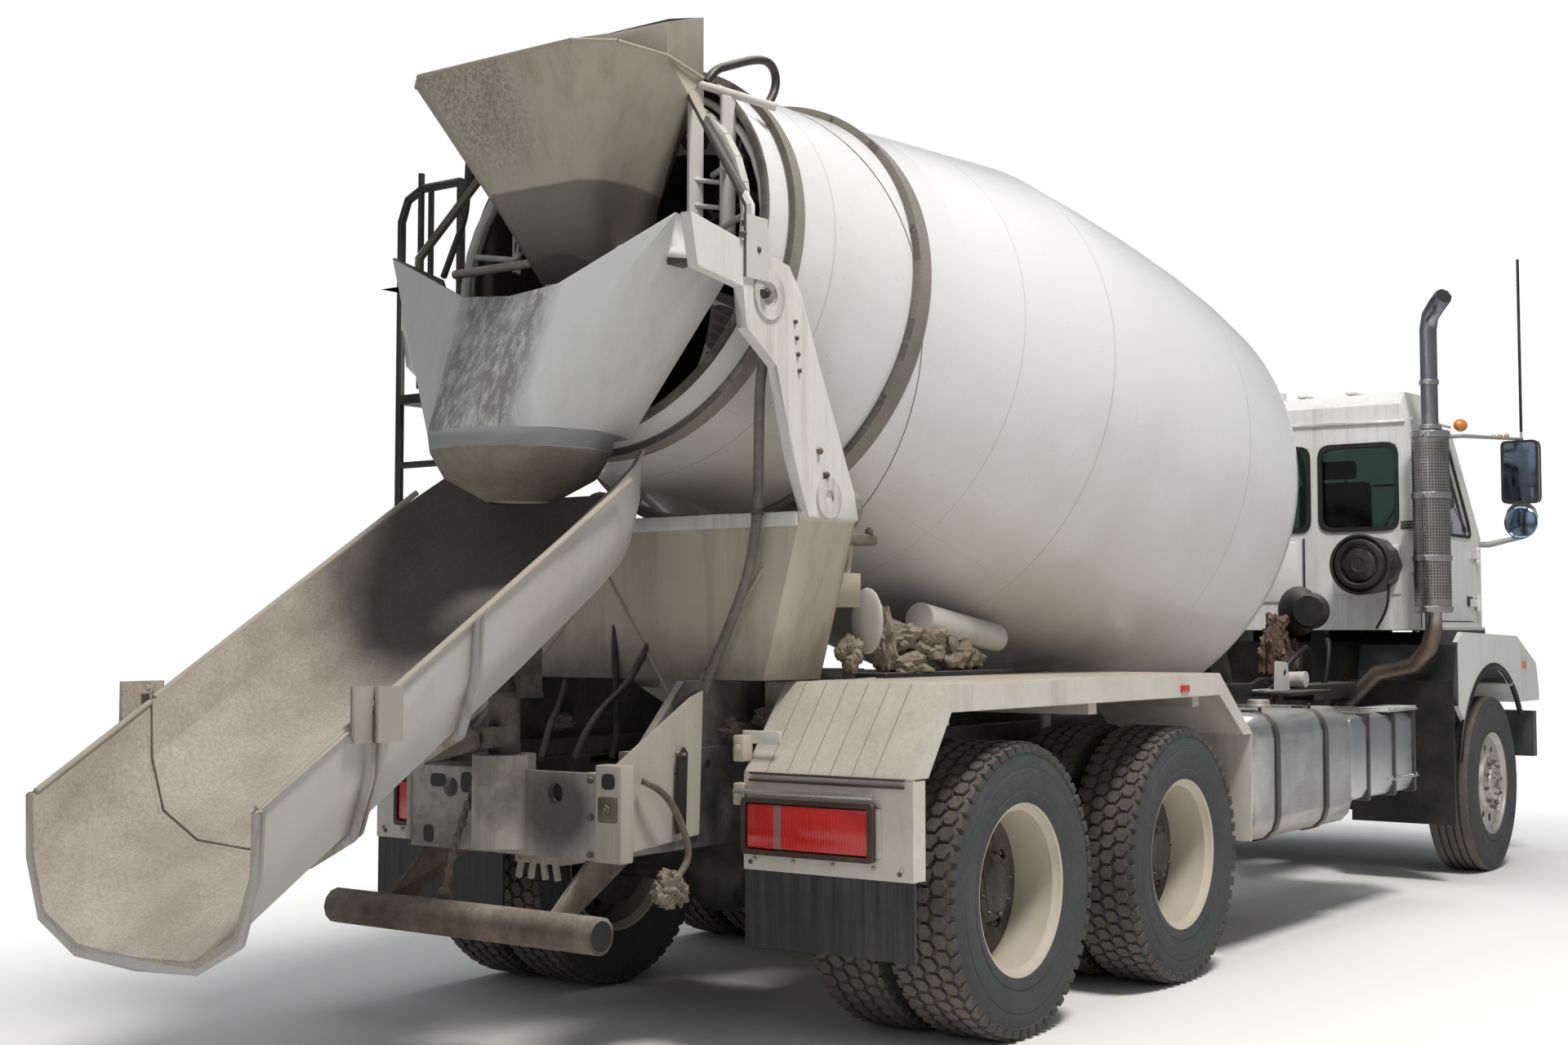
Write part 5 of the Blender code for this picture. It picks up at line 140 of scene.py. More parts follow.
class Tree:
    """Adds nodes to a shader tree and links what feeds them."""

    def __init__(self, tree):
        self.tree = tree

    def feed(self, socket, value):
        if isinstance(value, bpy.types.NodeSocket):
            self.tree.links.new(value, socket)
        elif value is not None:
            rgb = socket.type == "RGBA" and len(value) == 3
            socket.default_value = (*value, 1.0) if rgb else value

    def add(self, kind, inputs=None, **settings):
        made = self.tree.nodes.new(kind)
        for key, value in settings.items():
            setattr(made, key, value)
        for key, value in (inputs or {}).items():
            self.feed(made.inputs[key], value)
        return made

    def math(self, operation, first, second=None, third=None):
        made = self.add("ShaderNodeMath", {0: first, 1: second, 2: third}, operation=operation)
        return made.outputs[0]

    def vector(self, operation, first, second=None):
        made = self.add("ShaderNodeVectorMath", {0: first, 1: second}, operation=operation)
        return made.outputs["Value" if operation in ("DOT_PRODUCT", "LENGTH") else "Vector"]

    def times(self, first, second):
        return self.math("MULTIPLY", first, second)

    def plus(self, first, second):
        return self.math("ADD", first, second)

    def most(self, first, second):
        return self.math("MAXIMUM", first, second)

    def below(self, value, limit):
        return self.math("LESS_THAN", value, limit)

    def above(self, value, limit):
        return self.math("GREATER_THAN", value, limit)

    def size(self, value):
        return self.math("ABSOLUTE", value)

    def joined(self, x, y, z):
        return self.add("ShaderNodeCombineXYZ", {0: x, 1: y, 2: z}).outputs[0]

    def inside_of(self, way, limit=0.0):
        """1 where a face looks back against the way, and 0 elsewhere."""
        return self.below(self.vector("DOT_PRODUCT", self.facing(), self.vector("NORMALIZE", way)), limit)

    def spread(self, value, low, high, start=0.0, end=1.0):
        """Maps a value from low..high to start..end, held at both ends."""
        made = self.add(
            "ShaderNodeMapRange",
            {"Value": value, "From Min": low, "From Max": high, "To Min": start, "To Max": end},
        )
        return made.outputs["Result"]

    def blend(self, share, first, second):
        made = self.add("ShaderNodeMix", {0: share, 6: first, 7: second}, data_type="RGBA")
        return made.outputs[2]

    def place(self):
        return self.add("ShaderNodeTexCoord").outputs["Object"]

    def facing(self):
        return self.add("ShaderNodeTexCoord").outputs["Normal"]

    def axes(self, vector):
        return self.add("ShaderNodeSeparateXYZ", {0: vector}).outputs

    def noise(self, where, scale, detail=4.0, roughness=0.6):
        made = self.add(
            "ShaderNodeTexNoise", {"Vector": where, "Scale": scale, "Detail": detail, "Roughness": roughness}
        )
        return made.outputs[0]

    def stretched(self, where, x, y, z):
        return self.vector("MULTIPLY", where, (x, y, z))

    def group(self, name, **inputs):
        made = self.tree.nodes.new("ShaderNodeGroup")
        made.node_tree = bpy.data.node_groups[name]
        for key, value in inputs.items():
            self.feed(made.inputs[key], value)
        return made.outputs

    def streaked(self, colour, streak, amount, width=9.0, length=0.6):
        inputs = {"Colour": colour, "Streak": streak, "Amount": amount, "Width": width, "Length": length}
        return self.group("Rain streaks", **inputs)["Colour"]

    def rusted(self, colour, amount, scale=22.0):
        return self.group("Rust spots", Colour=colour, Amount=amount, Scale=scale)["Colour"]

    def dusted(self, colour, amount, upward, scale=3.0, dust=None):
        inputs = {"Colour": colour, "Dust": dust or looks().dust, "Amount": amount, "Upward": upward}
        return self.group("Settled dust", Scale=scale, **inputs)

    def crust(self, concrete, scale=1.0):
        return self.group("Concrete crust", Concrete=concrete, Scale=scale)


def new_group(name, inputs, outputs):
    """An empty shader group with colours and numbers as its sockets, and the tree to fill."""
    tree = bpy.data.node_groups.new(name, "ShaderNodeTree")
    for way, labels in (("INPUT", inputs), ("OUTPUT", outputs)):
        for label in labels:
            kind = "NodeSocketColor" if label in (
                "Colour", "Dust", "Streak", "Concrete"
            ) else "NodeSocketFloat"
            tree.interface.new_socket(name=label, in_out=way, socket_type=kind)
    build = Tree(tree)
    return build, build.add("NodeGroupInput").outputs, build.add("NodeGroupOutput").inputs


def dust_group():
    """Dry dust in soft patches, thicker on what faces up."""
    inputs = ("Colour", "Dust", "Amount", "Scale", "Upward")
    build, inside, out = new_group("Settled dust", inputs, ("Colour", "Mask"))
    where = build.place()
    patches = build.spread(build.noise(where, inside["Scale"], 7.0, 0.65), 0.38, 0.66)
    speckle = build.spread(build.noise(where, 55.0, 3.0, 0.7), 0.35, 0.75, 0.55, 1.0)
    up = build.spread(build.axes(build.facing())["Z"], 0.25, 0.95)
    settled = build.times(build.times(up, inside["Upward"]), speckle)
    spread = build.times(build.times(patches, inside["Amount"]), speckle)
    mask = build.math("MINIMUM", build.plus(spread, settled), 1.0)
    build.feed(out["Colour"], build.blend(mask, inside["Colour"], inside["Dust"]))
    build.feed(out["Mask"], mask)


def streak_group():
    """Runs that rain has drawn down upright faces."""
    inputs = ("Colour", "Streak", "Amount", "Width", "Length")
    build, inside, out = new_group("Rain streaks", inputs, ("Colour",))
    where = build.axes(build.place())
    x, y = build.times(where["X"], inside["Width"]), build.times(where["Y"], inside["Width"])
    spot = build.joined(x, y, build.times(where["Z"], inside["Length"]))
    runs = build.spread(build.noise(spot, 1.0, 5.0, 0.7), 0.47, 0.74)
    patches = build.spread(build.noise(build.place(), 1.7, 3.0, 0.6), 0.35, 0.62)
    upright = build.spread(build.size(build.axes(build.facing())["Z"]), 0.5, 0.95, 1.0, 0.1)
    mask = build.times(build.times(runs, patches), build.times(upright, inside["Amount"]))
    build.feed(out["Colour"], build.blend(mask, inside["Colour"], inside["Streak"]))


def rust_group():
    """Small brown chips and spots, sparse and uneven."""
    build, inside, out = new_group("Rust spots", ("Colour", "Amount", "Scale"), ("Colour",))
    where = build.place()
    spots = build.spread(build.noise(where, inside["Scale"], 5.0, 0.75), 0.66, 0.72)
    areas = build.spread(build.noise(where, 1.9, 2.0, 0.5), 0.40, 0.60)
    mask = build.times(build.times(spots, areas), inside["Amount"])
    build.feed(out["Colour"], build.blend(mask, inside["Colour"], (0.16, 0.06, 0.025)))


def concrete_group():
    """Crust of dried concrete: a pale film with grit and dark damp patches."""
    build, inside, out = new_group("Concrete crust", ("Concrete", "Scale"), ("Colour", "Height"))
    where = build.vector("SCALE", build.place())
    build.feed(where.node.inputs["Scale"], inside["Scale"])
    patches = build.spread(build.noise(where, 2.2, 6.0, 0.62), 0.3, 0.75)
    grit = build.noise(where, 95.0, 3.0, 0.75)
    lumps = build.noise(where, 26.0, 5.0, 0.6)
    dark = build.blend(0.55, inside["Concrete"], (0.16, 0.14, 0.12))
    pale = build.blend(0.35, inside["Concrete"], (0.80, 0.77, 0.71))
    colour = build.blend(patches, dark, pale)
    speckled = build.blend(build.spread(grit, 0.35, 0.7, 0.35, 0.0), colour, (0.13, 0.11, 0.09))
    build.feed(out["Colour"], speckled)
    build.feed(out["Height"], build.plus(build.times(grit, 0.4), build.times(lumps, 0.6)))


def brush_group():
    """Fine parallel scratches of rolled or brushed metal."""
    build, inside, out = new_group("Brushed grain", ("Fine", "Along X", "Along Z"), ("Height", "Mask"))
    where = build.axes(build.place())
    x, z = build.times(where["X"], inside["Along X"]), build.times(where["Z"], inside["Along Z"])
    spot = build.joined(x, where["Y"], z)
    lines = build.noise(spot, inside["Fine"], 3.0, 0.6)
    build.feed(out["Height"], lines)
    build.feed(out["Mask"], build.spread(lines, 0.3, 0.7))


def finish(build, colour, roughness, metallic=0.0, height=None, bump=0.15, rounding=0.006, coat=0.0, **extra):
    """Closes a material: its Principled shader with a grain bump and softly rounded edges."""
    inputs = {"Base Color": colour, "Roughness": roughness, "Metallic": metallic, **extra}
    if coat:
        inputs.update({"Coat Weight": coat, "Coat Roughness": 0.08})
    shader = build.add("ShaderNodeBsdfPrincipled", inputs)
    normal = None
    if rounding:
        normal = build.add("ShaderNodeBevel", {"Radius": rounding}, samples=4).outputs[0]
    if height is not None:
        bumped = {"Height": height, "Strength": bump, "Distance": 0.004, "Normal": normal}
        normal = build.add("ShaderNodeBump", bumped).outputs[0]
    build.feed(shader.inputs["Normal"], normal)
    build.add("ShaderNodeOutputMaterial", {0: shader.outputs[0]})


def begun(name):
    """The empty tree of a new material."""
    material = bpy.data.materials.new(name)
    material.use_nodes = True
    material.node_tree.nodes.clear()
    return Tree(material.node_tree)


def darker(colour, share):
    return tuple(value * share for value in colour[:3])


def weathered(
    name, colour, dust=0.35, upward=0.5, streaks=0.4, rust=0.2, rough=0.42, coat=0.0, rounding=0.008,
    width=9.0
):
    """Painted sheet metal with rain streaks, rust spots and settled dust."""
    build = begun(name)
    runs = build.streaked(colour, (0.25, 0.22, 0.19), streaks, width)
    spots = build.rusted(runs, rust)
    dusted = build.dusted(spots, dust, upward)
    roughness = build.spread(dusted["Mask"], 0.0, 0.8, rough, 0.85)
    grain = build.noise(build.place(), 180.0, 2.0, 0.5)
    finish(build, dusted["Colour"], roughness, height=grain, bump=0.05, coat=coat, rounding=rounding)


def grimy(name, colour, dust=0.6, upward=0.8, rough=0.6, metallic=0.0, scale=4.0, rounding=0.004, bump=0.25):
    """A dark or bare surface under dust and grease."""
    build = begun(name)
    grease = build.spread(build.noise(build.place(), 7.0, 6.0, 0.7), 0.35, 0.7)
    base = build.blend(grease, colour, darker(colour, 0.55))
    dusted = build.dusted(base, dust, upward, scale)
    roughness = build.spread(dusted["Mask"], 0.0, 0.8, rough, 0.9)
    bare = build.spread(dusted["Mask"], 0.0, 0.7, metallic, 0.0) if metallic else 0.0
    grain = build.noise(build.place(), 90.0, 4.0, 0.65)
    finish(build, dusted["Colour"], roughness, bare, height=grain, bump=bump, rounding=rounding)


def flap_finish():
    """Bluish black rubber with dried splashes running down it."""
    build = begun("flap_rubber")
    runs = build.noise(build.stretched(build.place(), 1.0, 26.0, 1.6), 1.0, 5.0, 0.7)
    wide = build.noise(build.place(), 2.6, 4.0, 0.6)
    mask = build.times(build.spread(runs, 0.40, 0.72), build.spread(wide, 0.30, 0.70))
    colour = build.blend(build.times(mask, 0.62), (0.012, 0.013, 0.017), (0.17, 0.16, 0.15))
    finish(build, colour, build.spread(mask, 0.0, 1.0, 0.45, 0.85), height=runs, bump=0.15, rounding=0.003)


def cab_finish():
    """White cab paint with rain streaks, black on the posts, the sill and the inside of the arches."""
    build = begun("cab_body")
    where = build.axes(build.place())
    aside = build.size(where["Y"])
    inner = build.most(build.below(where["X"], 5.262 - MIDDLE), build.below(aside, 1.172))
    under = build.times(build.below(where["Z"], 1.452), inner)
    run = build.noise(build.stretched(build.place(), 16.0, 16.0, 0.9), 1.0, 5.0, 0.75)
    behind = build.spread(where["X"], 5.15 - MIDDLE, 5.18 - MIDDLE, 1.0, 0.35)
    streak = build.times(build.spread(run, 0.46, 0.76), behind)
    colour = build.blend(build.times(streak, 0.55), looks().white_paint, (0.36, 0.34, 0.31))
    spots = build.rusted(colour, 0.25)
    dusted = build.dusted(spots, 0.14, 0.22)
    colour = build.blend(under, dusted["Colour"], looks().black_paint)
    roughness = build.spread(dusted["Mask"], 0.0, 0.8, 0.36, 0.85)
    grain = build.noise(build.place(), 180.0, 2.0, 0.5)
    finish(build, colour, roughness, height=grain, bump=0.05, coat=0.2, rounding=0.010)


def drum_finish():
    """Glossy drum: weld seams, a steel track ring, a mouth darkened with painted shade, dust and painted
    shade below, and a crust inside.
    """
    build = begun("drum_white")
    arm = build.vector("SUBTRACT", build.place(), tuple(DRUM_SPOT))
    along = build.vector("DOT_PRODUCT", arm, tuple(DRUM_AXIS))
    on_axis = build.vector("SCALE", tuple(DRUM_AXIS))
    build.feed(on_axis.node.inputs["Scale"], along)
    radial = build.vector("SUBTRACT", arm, on_axis)
    seams = None
    for spot, width in ((0.988, 0.0035), (-0.277, 0.0035), (-0.935, 0.0035), (2.55, 0.003), (1.53, 0.002)):
        line = build.math("COMPARE", along, spot, width)
        seams = line if seams is None else build.most(seams, line)
    angle = build.math("ARCTAN2", build.axes(radial)["Y"], build.axes(radial)["Z"])
    weld = build.math("COMPARE", build.math("PINGPONG", build.plus(angle, 0.35), 1.05), 0.0, 0.0016)
    ahead = build.math("COMPARE", build.math("PINGPONG", build.plus(angle, 0.9), 1.05), 0.0, 0.0016)
    rear_part = build.above(along, 0.988)
    weld = build.blend(rear_part, ahead, weld)
    seams = build.most(seams, build.times(weld, 0.6))
    seamed = build.blend(build.times(seams, 0.45), looks().drum_paint, (0.30, 0.29, 0.28))
    # Darker beige-grey towards the bottom of the drum: partly a dust film, partly painted shade on its
    # underside.
    low = build.axes(build.place())["Z"]
    cloud = build.noise(build.place(), 1.6, 5.0, 0.6)
    reach = build.plus(low, build.times(cloud, -1.1))
    film = build.spread(reach, 0.50, 1.80, 0.80, 0.0)
    dusty = build.blend(film, seamed, (0.38, 0.33, 0.27))
    rear_film = build.times(build.spread(along, 1.7, 2.5, 0.0, 0.30), build.spread(cloud, 0.3, 0.6))
    dusty = build.blend(rear_film, dusty, (0.50, 0.47, 0.41))
    specks = build.spread(build.noise(build.place(), 60.0, 2.0, 0.5), 0.70, 0.78, 0.0, 0.35)
    dusty = build.blend(specks, dusty, (0.35, 0.32, 0.28))
    ring = build.math("COMPARE", along, 2.104, 0.047)
    band = build.math("COMPARE", along, 2.747, 0.036)
    grit = build.crust(looks().concrete)
    steel = build.blend(0.55, grit["Colour"], (0.10, 0.09, 0.08))
    trimmed = build.blend(build.most(ring, band), dusty, steel)
    # The inner faces get the crust darkened towards black: painted shade inside the drum's mouth.
    crust = build.blend(0.72, grit["Colour"], (0.05, 0.045, 0.04))
    inner = build.inside_of(radial)
    colour = build.blend(inner, trimmed, crust)
    bands = build.most(inner, build.most(ring, band))
    roughness = build.most(build.spread(film, 0.0, 0.6, 0.20, 0.5), build.times(bands, 0.85))
    height = build.plus(build.times(seams, 0.5), build.times(grit["Height"], bands))
    finish(build, colour, roughness, height=height, bump=0.35, rounding=0.0, coat=0.35)


def chute_finish():
    """Greyish white outside, darkened with painted shade, rusty at the flanges; dried concrete over the whole
    inner face, darker towards the swivel end.
    """
    build = begun("chute_white")
    where = build.axes(build.place())
    rim = build.plus(build.times(build.plus(where["X"], MIDDLE - SWING_X), CHUTE_FALL), RIM_Z)
    arm = build.joined(0.0, where["Y"], build.math("SUBTRACT", where["Z"], rim))
    inward = build.inside_of(arm, 0.12)
    # The outside paint is a darker grey than clean white: painted shade on the trough's outside.
    paint = build.streaked((0.50, 0.495, 0.485), (0.30, 0.25, 0.18), 0.5, 7.0)
    dusted = build.dusted(paint, 0.45, 0.9, 2.2, dust=(0.50, 0.44, 0.35))
    crust = build.crust((0.70, 0.61, 0.50))
    ragged = build.times(build.noise(build.place(), 3.0, 4.0, 0.6), 0.35)
    # Darker towards the swivel end of the trough.
    swivel_end_dark = build.spread(build.plus(where["X"], ragged), -3.85, -3.55)
    lined = build.blend(build.times(swivel_end_dark, 0.75), crust["Colour"], (0.06, 0.058, 0.055))
    below = build.spread(build.math("SUBTRACT", rim, where["Z"]), 0.12, 0.38)
    patchy = build.spread(build.noise(build.place(), 9.0, 4.0, 0.7), 0.38, 0.58)
    outside = dusted["Colour"]
    for flange in (-2.00, -2.39):
        off = build.size(build.plus(where["X"], MIDDLE - flange))
        rusty = build.times(build.spread(off, 0.015, 0.075, 1.0, 0.0), build.times(below, patchy))
        outside = build.blend(build.times(rusty, 0.8), outside, (0.20, 0.125, 0.065))
    latch = build.spread(build.size(where["Y"]), 0.512, 0.520)
    outside = build.blend(build.times(latch, 0.7), outside, (0.33, 0.30, 0.25))
    colour = build.blend(inward, outside, lined)
    roughness = build.spread(inward, 0.0, 1.0, 0.48, 0.92)
    height = build.times(crust["Height"], build.spread(inward, 0.0, 1.0, 0.08, 1.0))
    finish(build, colour, roughness, height=height, bump=0.8, rounding=0.0)


def charge_finish():
    """Cream hopper with brown runs, a dirty shield above its rim and a dark spout below."""
    build = begun("charge_hopper_cream")
    where = build.axes(build.place())
    runs = build.streaked((0.49, 0.44, 0.36), (0.22, 0.13, 0.06), 0.6, 11.0, 0.25)
    patch = build.spread(build.noise(build.place(), 70.0, 3.0, 0.7), 0.40, 0.62)
    wide = build.spread(build.noise(build.stretched(build.place(), 2.0, 2.0, 0.8), 1.0, 4.0, 0.6), 0.32, 0.56)
    behind = build.spread(where["X"], -3.46, -3.36, 1.0, 0.0)
    left = build.spread(where["Y"], -0.16, 0.02)
    grey = build.times(build.times(patch, wide), build.times(behind, left))
    dirty = build.blend(build.times(grey, 0.85), runs, (0.22, 0.20, 0.17))
    shield = build.spread(where["Z"], 3.375, 3.385)
    above = build.blend(0.65, dirty, (0.22, 0.20, 0.17))
    colour = build.blend(shield, dirty, above)
    spout = build.spread(where["Z"], 2.975, 2.985, 1.0, 0.0)
    colour = build.blend(build.times(spout, 0.78), colour, (0.13, 0.12, 0.10))
    aside = build.size(where["Y"])
    thin = build.times(build.below(where["Z"], 3.10), build.above(aside, 0.45))
    colour = build.blend(build.most(thin, build.above(aside, 0.515)), colour, (0.05, 0.05, 0.05))
    colour = build.blend(build.above(aside, 0.755), colour, (0.62, 0.61, 0.58))
    dusted = build.dusted(colour, 0.14, 0.2, 5.0)
    crust = build.crust(looks().concrete)
    # The inner faces get the crust darkened towards black: painted shade inside the hopper.
    centre = build.vector("SUBTRACT", build.place(), (-1.10 - MIDDLE, 0.0, 3.2))
    flat = build.vector("MULTIPLY", centre, (1.0, 1.0, 0.0))
    inner = build.inside_of(flat)
    dark = build.blend(0.7, crust["Colour"], (0.05, 0.045, 0.04))
    colour = build.blend(inner, dusted["Colour"], dark)
    rough = build.spread(dusted["Mask"], 0.0, 0.8, 0.5, 0.88)
    finish(build, colour, rough, height=crust["Height"], bump=0.18, rounding=0.004)


def discharge_finish():
    """White folded scoop with grey runs, a rubber collar band and a caked cone under it."""
    build = begun("discharge_hopper_white")
    where = build.axes(build.place())
    runs = build.streaked((0.63, 0.63, 0.61), (0.36, 0.31, 0.25), 0.35, 12.0, 0.7)
    middle = build.spread(build.size(where["Y"]), 0.16, 0.26, 1.0, 0.0)
    behind = build.spread(where["X"], -3.46, -3.40, 1.0, 0.0)
    run = build.noise(build.stretched(build.place(), 34.0, 34.0, 1.6), 1.0, 5.0, 0.75)
    wisp = build.noise(build.stretched(build.place(), 4.0, 4.0, 1.2), 1.0, 3.0, 0.6)
    wisps = build.times(build.spread(run, 0.28, 0.54), build.spread(wisp, 0.27, 0.52))
    spill = build.times(build.times(middle, behind), wisps)
    colour = build.blend(build.times(spill, 0.85), runs, (0.15, 0.145, 0.14))
    crust = build.crust((0.30, 0.24, 0.17), 1.6)
    band = build.math("COMPARE", where["Z"], 2.078, 0.030)
    colour = build.blend(band, colour, (0.33, 0.33, 0.33))
    cone = build.spread(where["Z"], 2.045, 2.05, 1.0, 0.0)
    colour = build.blend(cone, colour, crust["Colour"])
    # The inner faces get the crust darkened towards black: painted shade inside the scoop.
    centre = build.vector("SUBTRACT", build.place(), (-1.26 - MIDDLE, 0.0, 2.4))
    flat = build.vector("MULTIPLY", centre, (1.0, 1.0, 0.0))
    inner = build.inside_of(flat)
    colour = build.blend(inner, colour, build.blend(0.75, crust["Colour"], (0.03, 0.03, 0.03)))
    rough = build.most(build.times(cone, 0.92), 0.55)
    height = build.times(crust["Height"], build.spread(cone, 0.0, 1.0, 0.12, 1.0))
    finish(build, colour, rough, height=height, bump=0.7, rounding=0.004)


def frame_finish():
    """Black dusty rails whose rear end and wedges are worn white."""
    build = begun("frame_paint")
    where = build.axes(build.place())
    ragged = build.plus(where["X"], build.times(build.noise(build.place(), 4.0, 4.0, 0.6), 0.3))
    rear = build.spread(ragged, -2.98, -2.90, 1.0, 0.0)
    rear = build.times(rear, build.spread(where["X"], -3.42, -3.36, 1.0, 0.62))
    white = build.streaked((0.44, 0.42, 0.38), (0.10, 0.09, 0.08), 0.9, 8.0)
    stain = build.spread(build.noise(build.place(), 3.4, 5.0, 0.7), 0.47, 0.60)
    worn = build.blend(build.times(stain, 0.7), white, (0.15, 0.14, 0.13))
    # A dark round spot near the middle of the end plate: painted shade.
    off = build.vector("SUBTRACT", build.place(), (-3.5, -0.25, 0.86))
    shade_spot_reach = build.vector("LENGTH", build.stretched(off, 1.0, 6.5, 7.5))
    worn = build.blend(build.spread(shade_spot_reach, 0.70, 1.30, 0.93, 0.0), worn, (0.055, 0.055, 0.062))
    base = build.blend(rear, looks().black_paint, worn)
    spots = build.rusted(base, 0.8, 14.0)
    dusted = build.dusted(spots, 0.30, 0.6, 3.5)
    grain = build.noise(build.place(), 70.0, 4.0, 0.65)
    finish(build, dusted["Colour"], build.spread(dusted["Mask"], 0.0, 0.8, 0.55, 0.9), height=grain, bump=0.3)


def pedestal_finish():
    """Beige stained box between clean white side arms."""
    build = begun("pedestal_paint")
    where = build.axes(build.place())
    arms = build.spread(build.size(where["Y"]), 0.745, 0.755)
    high = build.spread(where["Z"], 1.82, 1.84)
    clean = build.times(arms, high)
    runs = build.streaked((0.56, 0.50, 0.41), (0.22, 0.17, 0.11), 0.8, 6.0)
    spots = build.rusted(runs, 0.9, 16.0)
    ragged = build.times(build.noise(build.place(), 6.0, 5.0, 0.7), 0.25)
    foot = build.spread(build.plus(where["Z"], ragged), 1.40, 1.60, 0.8, 0.0)
    grubby = build.blend(foot, spots, (0.13, 0.12, 0.10))
    white = build.streaked((0.76, 0.75, 0.72), (0.35, 0.30, 0.24), 0.55, 10.0)
    colour = build.blend(clean, grubby, white)
    dusted = build.dusted(colour, 0.22, 0.5, 3.0)
    grain = build.noise(build.place(), 120.0, 3.0, 0.6)
    rough = build.spread(dusted["Mask"], 0.0, 0.8, 0.5, 0.88)
    finish(build, dusted["Colour"], rough, height=grain, bump=0.12)


def tyre_finish():
    """Dusty rubber: pale on the tread blocks, dark in the grooves, grey rings on the sidewall."""
    build = begun("tyre_rubber")
    where = build.place()
    cloud = build.spread(build.noise(where, 5.0, 6.0, 0.7), 0.30, 0.68)
    fine = build.spread(build.noise(where, 70.0, 3.0, 0.7), 0.30, 0.75, 0.55, 1.0)
    axle = build.size(build.axes(build.facing())["Y"])
    tread = build.spread(axle, 0.55, 0.85, 0.58, 0.30)
    mask = build.times(build.times(build.spread(cloud, 0.0, 1.0, 0.45, 1.0), tread), fine)
    dirt = build.blend(build.spread(axle, 0.55, 0.85), (0.34, 0.29, 0.23), (0.20, 0.21, 0.22))
    colour = build.blend(mask, looks().tyre_rubber, dirt)
    finish(build, colour, 0.88, height=build.noise(where, 160.0, 3.0, 0.6), bump=0.2, rounding=0.0)


def metal_finish(name, colour, rough, dust, along_x=0.02, metallic=1.0):
    """Bare metal with brushed grain under a film of dust."""
    build = begun(name)
    grain = build.group("Brushed grain", **{"Fine": 150.0, "Along X": along_x, "Along Z": 1.0})
    dull = build.spread(build.noise(build.place(), 6.0, 5.0, 0.6), 0.3, 0.7)
    base = build.blend(build.times(dull, 0.35), colour, darker(colour, 0.6))
    dusted = build.dusted(base, dust, dust * 1.2, 4.0)
    roughness = build.plus(
        build.spread(dusted["Mask"], 0.0, 0.8, rough, 0.8), build.times(grain["Mask"], 0.08)
    )
    bare = build.spread(dusted["Mask"], 0.1, 0.8, metallic, 0.0)
    finish(build, dusted["Colour"], roughness, bare, height=grain["Height"], bump=0.10, rounding=0.005)


def shield_finish():
    """Exhaust stack: a perforated bright shield whose holes are painted near black as painted shade, a
    heat-stained elbow and a dark mouth.
    """
    build = begun("stack_steel")
    where = build.axes(build.place())
    arm = build.vector("SUBTRACT", build.place(), (STACK_X - MIDDLE, STACK_Y, 0.0))
    flat = build.axes(arm)
    angle = build.math("ARCTAN2", flat["Y"], flat["X"])
    around = build.math("PINGPONG", build.times(angle, 0.105), 0.0085)
    rows = build.math("PINGPONG", where["Z"], 0.0085)
    spot = build.vector("LENGTH", build.joined(around, rows, 0.0))
    hole = build.below(spot, 0.0046)
    shield = build.times(build.above(where["Z"], 1.62), build.below(where["Z"], 2.53))
    wide = build.above(build.vector("LENGTH", build.vector("MULTIPLY", arm, (1.0, 1.0, 0.0))), 0.09)
    holes = build.times(hole, build.times(shield, wide))
    dull = build.spread(build.noise(build.place(), 8.0, 5.0, 0.6), 0.3, 0.7)
    bright = build.blend(dull, (0.55, 0.53, 0.50), (0.33, 0.30, 0.26))
    heat = build.spread(where["Z"], 1.45, 1.60, 0.85, 0.0)
    stained = build.blend(heat, bright, build.blend(dull, (0.20, 0.13, 0.085), (0.10, 0.085, 0.075)))
    blue = build.spread(where["Z"], 2.60, 2.75, 0.0, 0.55)
    stained = build.blend(blue, stained, (0.22, 0.27, 0.36))
    soot = build.spread(where["Z"], 3.25, 3.33, 0.0, 0.6)
    stained = build.blend(soot, stained, (0.04, 0.04, 0.045))
    # The perforations are painted near black: painted shade behind the holes.
    colour = build.blend(holes, stained, (0.015, 0.014, 0.013))
    rough = build.most(build.spread(dull, 0.0, 1.0, 0.26, 0.42), build.times(build.most(heat, soot), 0.6))
    metallic = build.math("SUBTRACT", 1.0, holes)
    height = build.times(holes, -1.0)
    finish(build, colour, rough, metallic, height=height, bump=0.5, rounding=0.0)


def tank_finish():
    """Brushed aluminium tank with black straps, darkened to brown towards its foot by grime and painted
    shade.
    """
    build = begun("tank_aluminium")
    where = build.axes(build.place())
    strap = None
    for x in TANK_STRAPS:
        line = build.math("COMPARE", where["X"], x - MIDDLE, 0.028)
        strap = line if strap is None else build.most(strap, line)
    grain = build.group("Brushed grain", **{"Fine": 150.0, "Along X": 0.02, "Along Z": 1.0})
    dull = build.spread(build.noise(build.place(), 5.0, 5.0, 0.6), 0.3, 0.7)
    metal = build.blend(dull, (0.70, 0.71, 0.72), (0.50, 0.50, 0.49))
    # Brown towards the bottom: partly road grime, partly painted shade on the tank's underside.
    low = build.spread(where["Z"], 0.48, 0.75, 0.75, 0.0)
    stained = build.blend(low, metal, (0.20, 0.16, 0.12))
    base = build.blend(strap, stained, (0.03, 0.03, 0.032))
    dusted = build.dusted(base, 0.10, 0.40, 4.0)
    bare = build.times(build.math("SUBTRACT", 1.0, strap), build.spread(dusted["Mask"], 0.1, 0.8, 1.0, 0.1))
    rough = build.plus(build.spread(dusted["Mask"], 0.0, 0.8, 0.30, 0.8), build.times(grain["Mask"], 0.1))
    finish(build, dusted["Colour"], rough, bare, height=grain["Height"], bump=0.12)


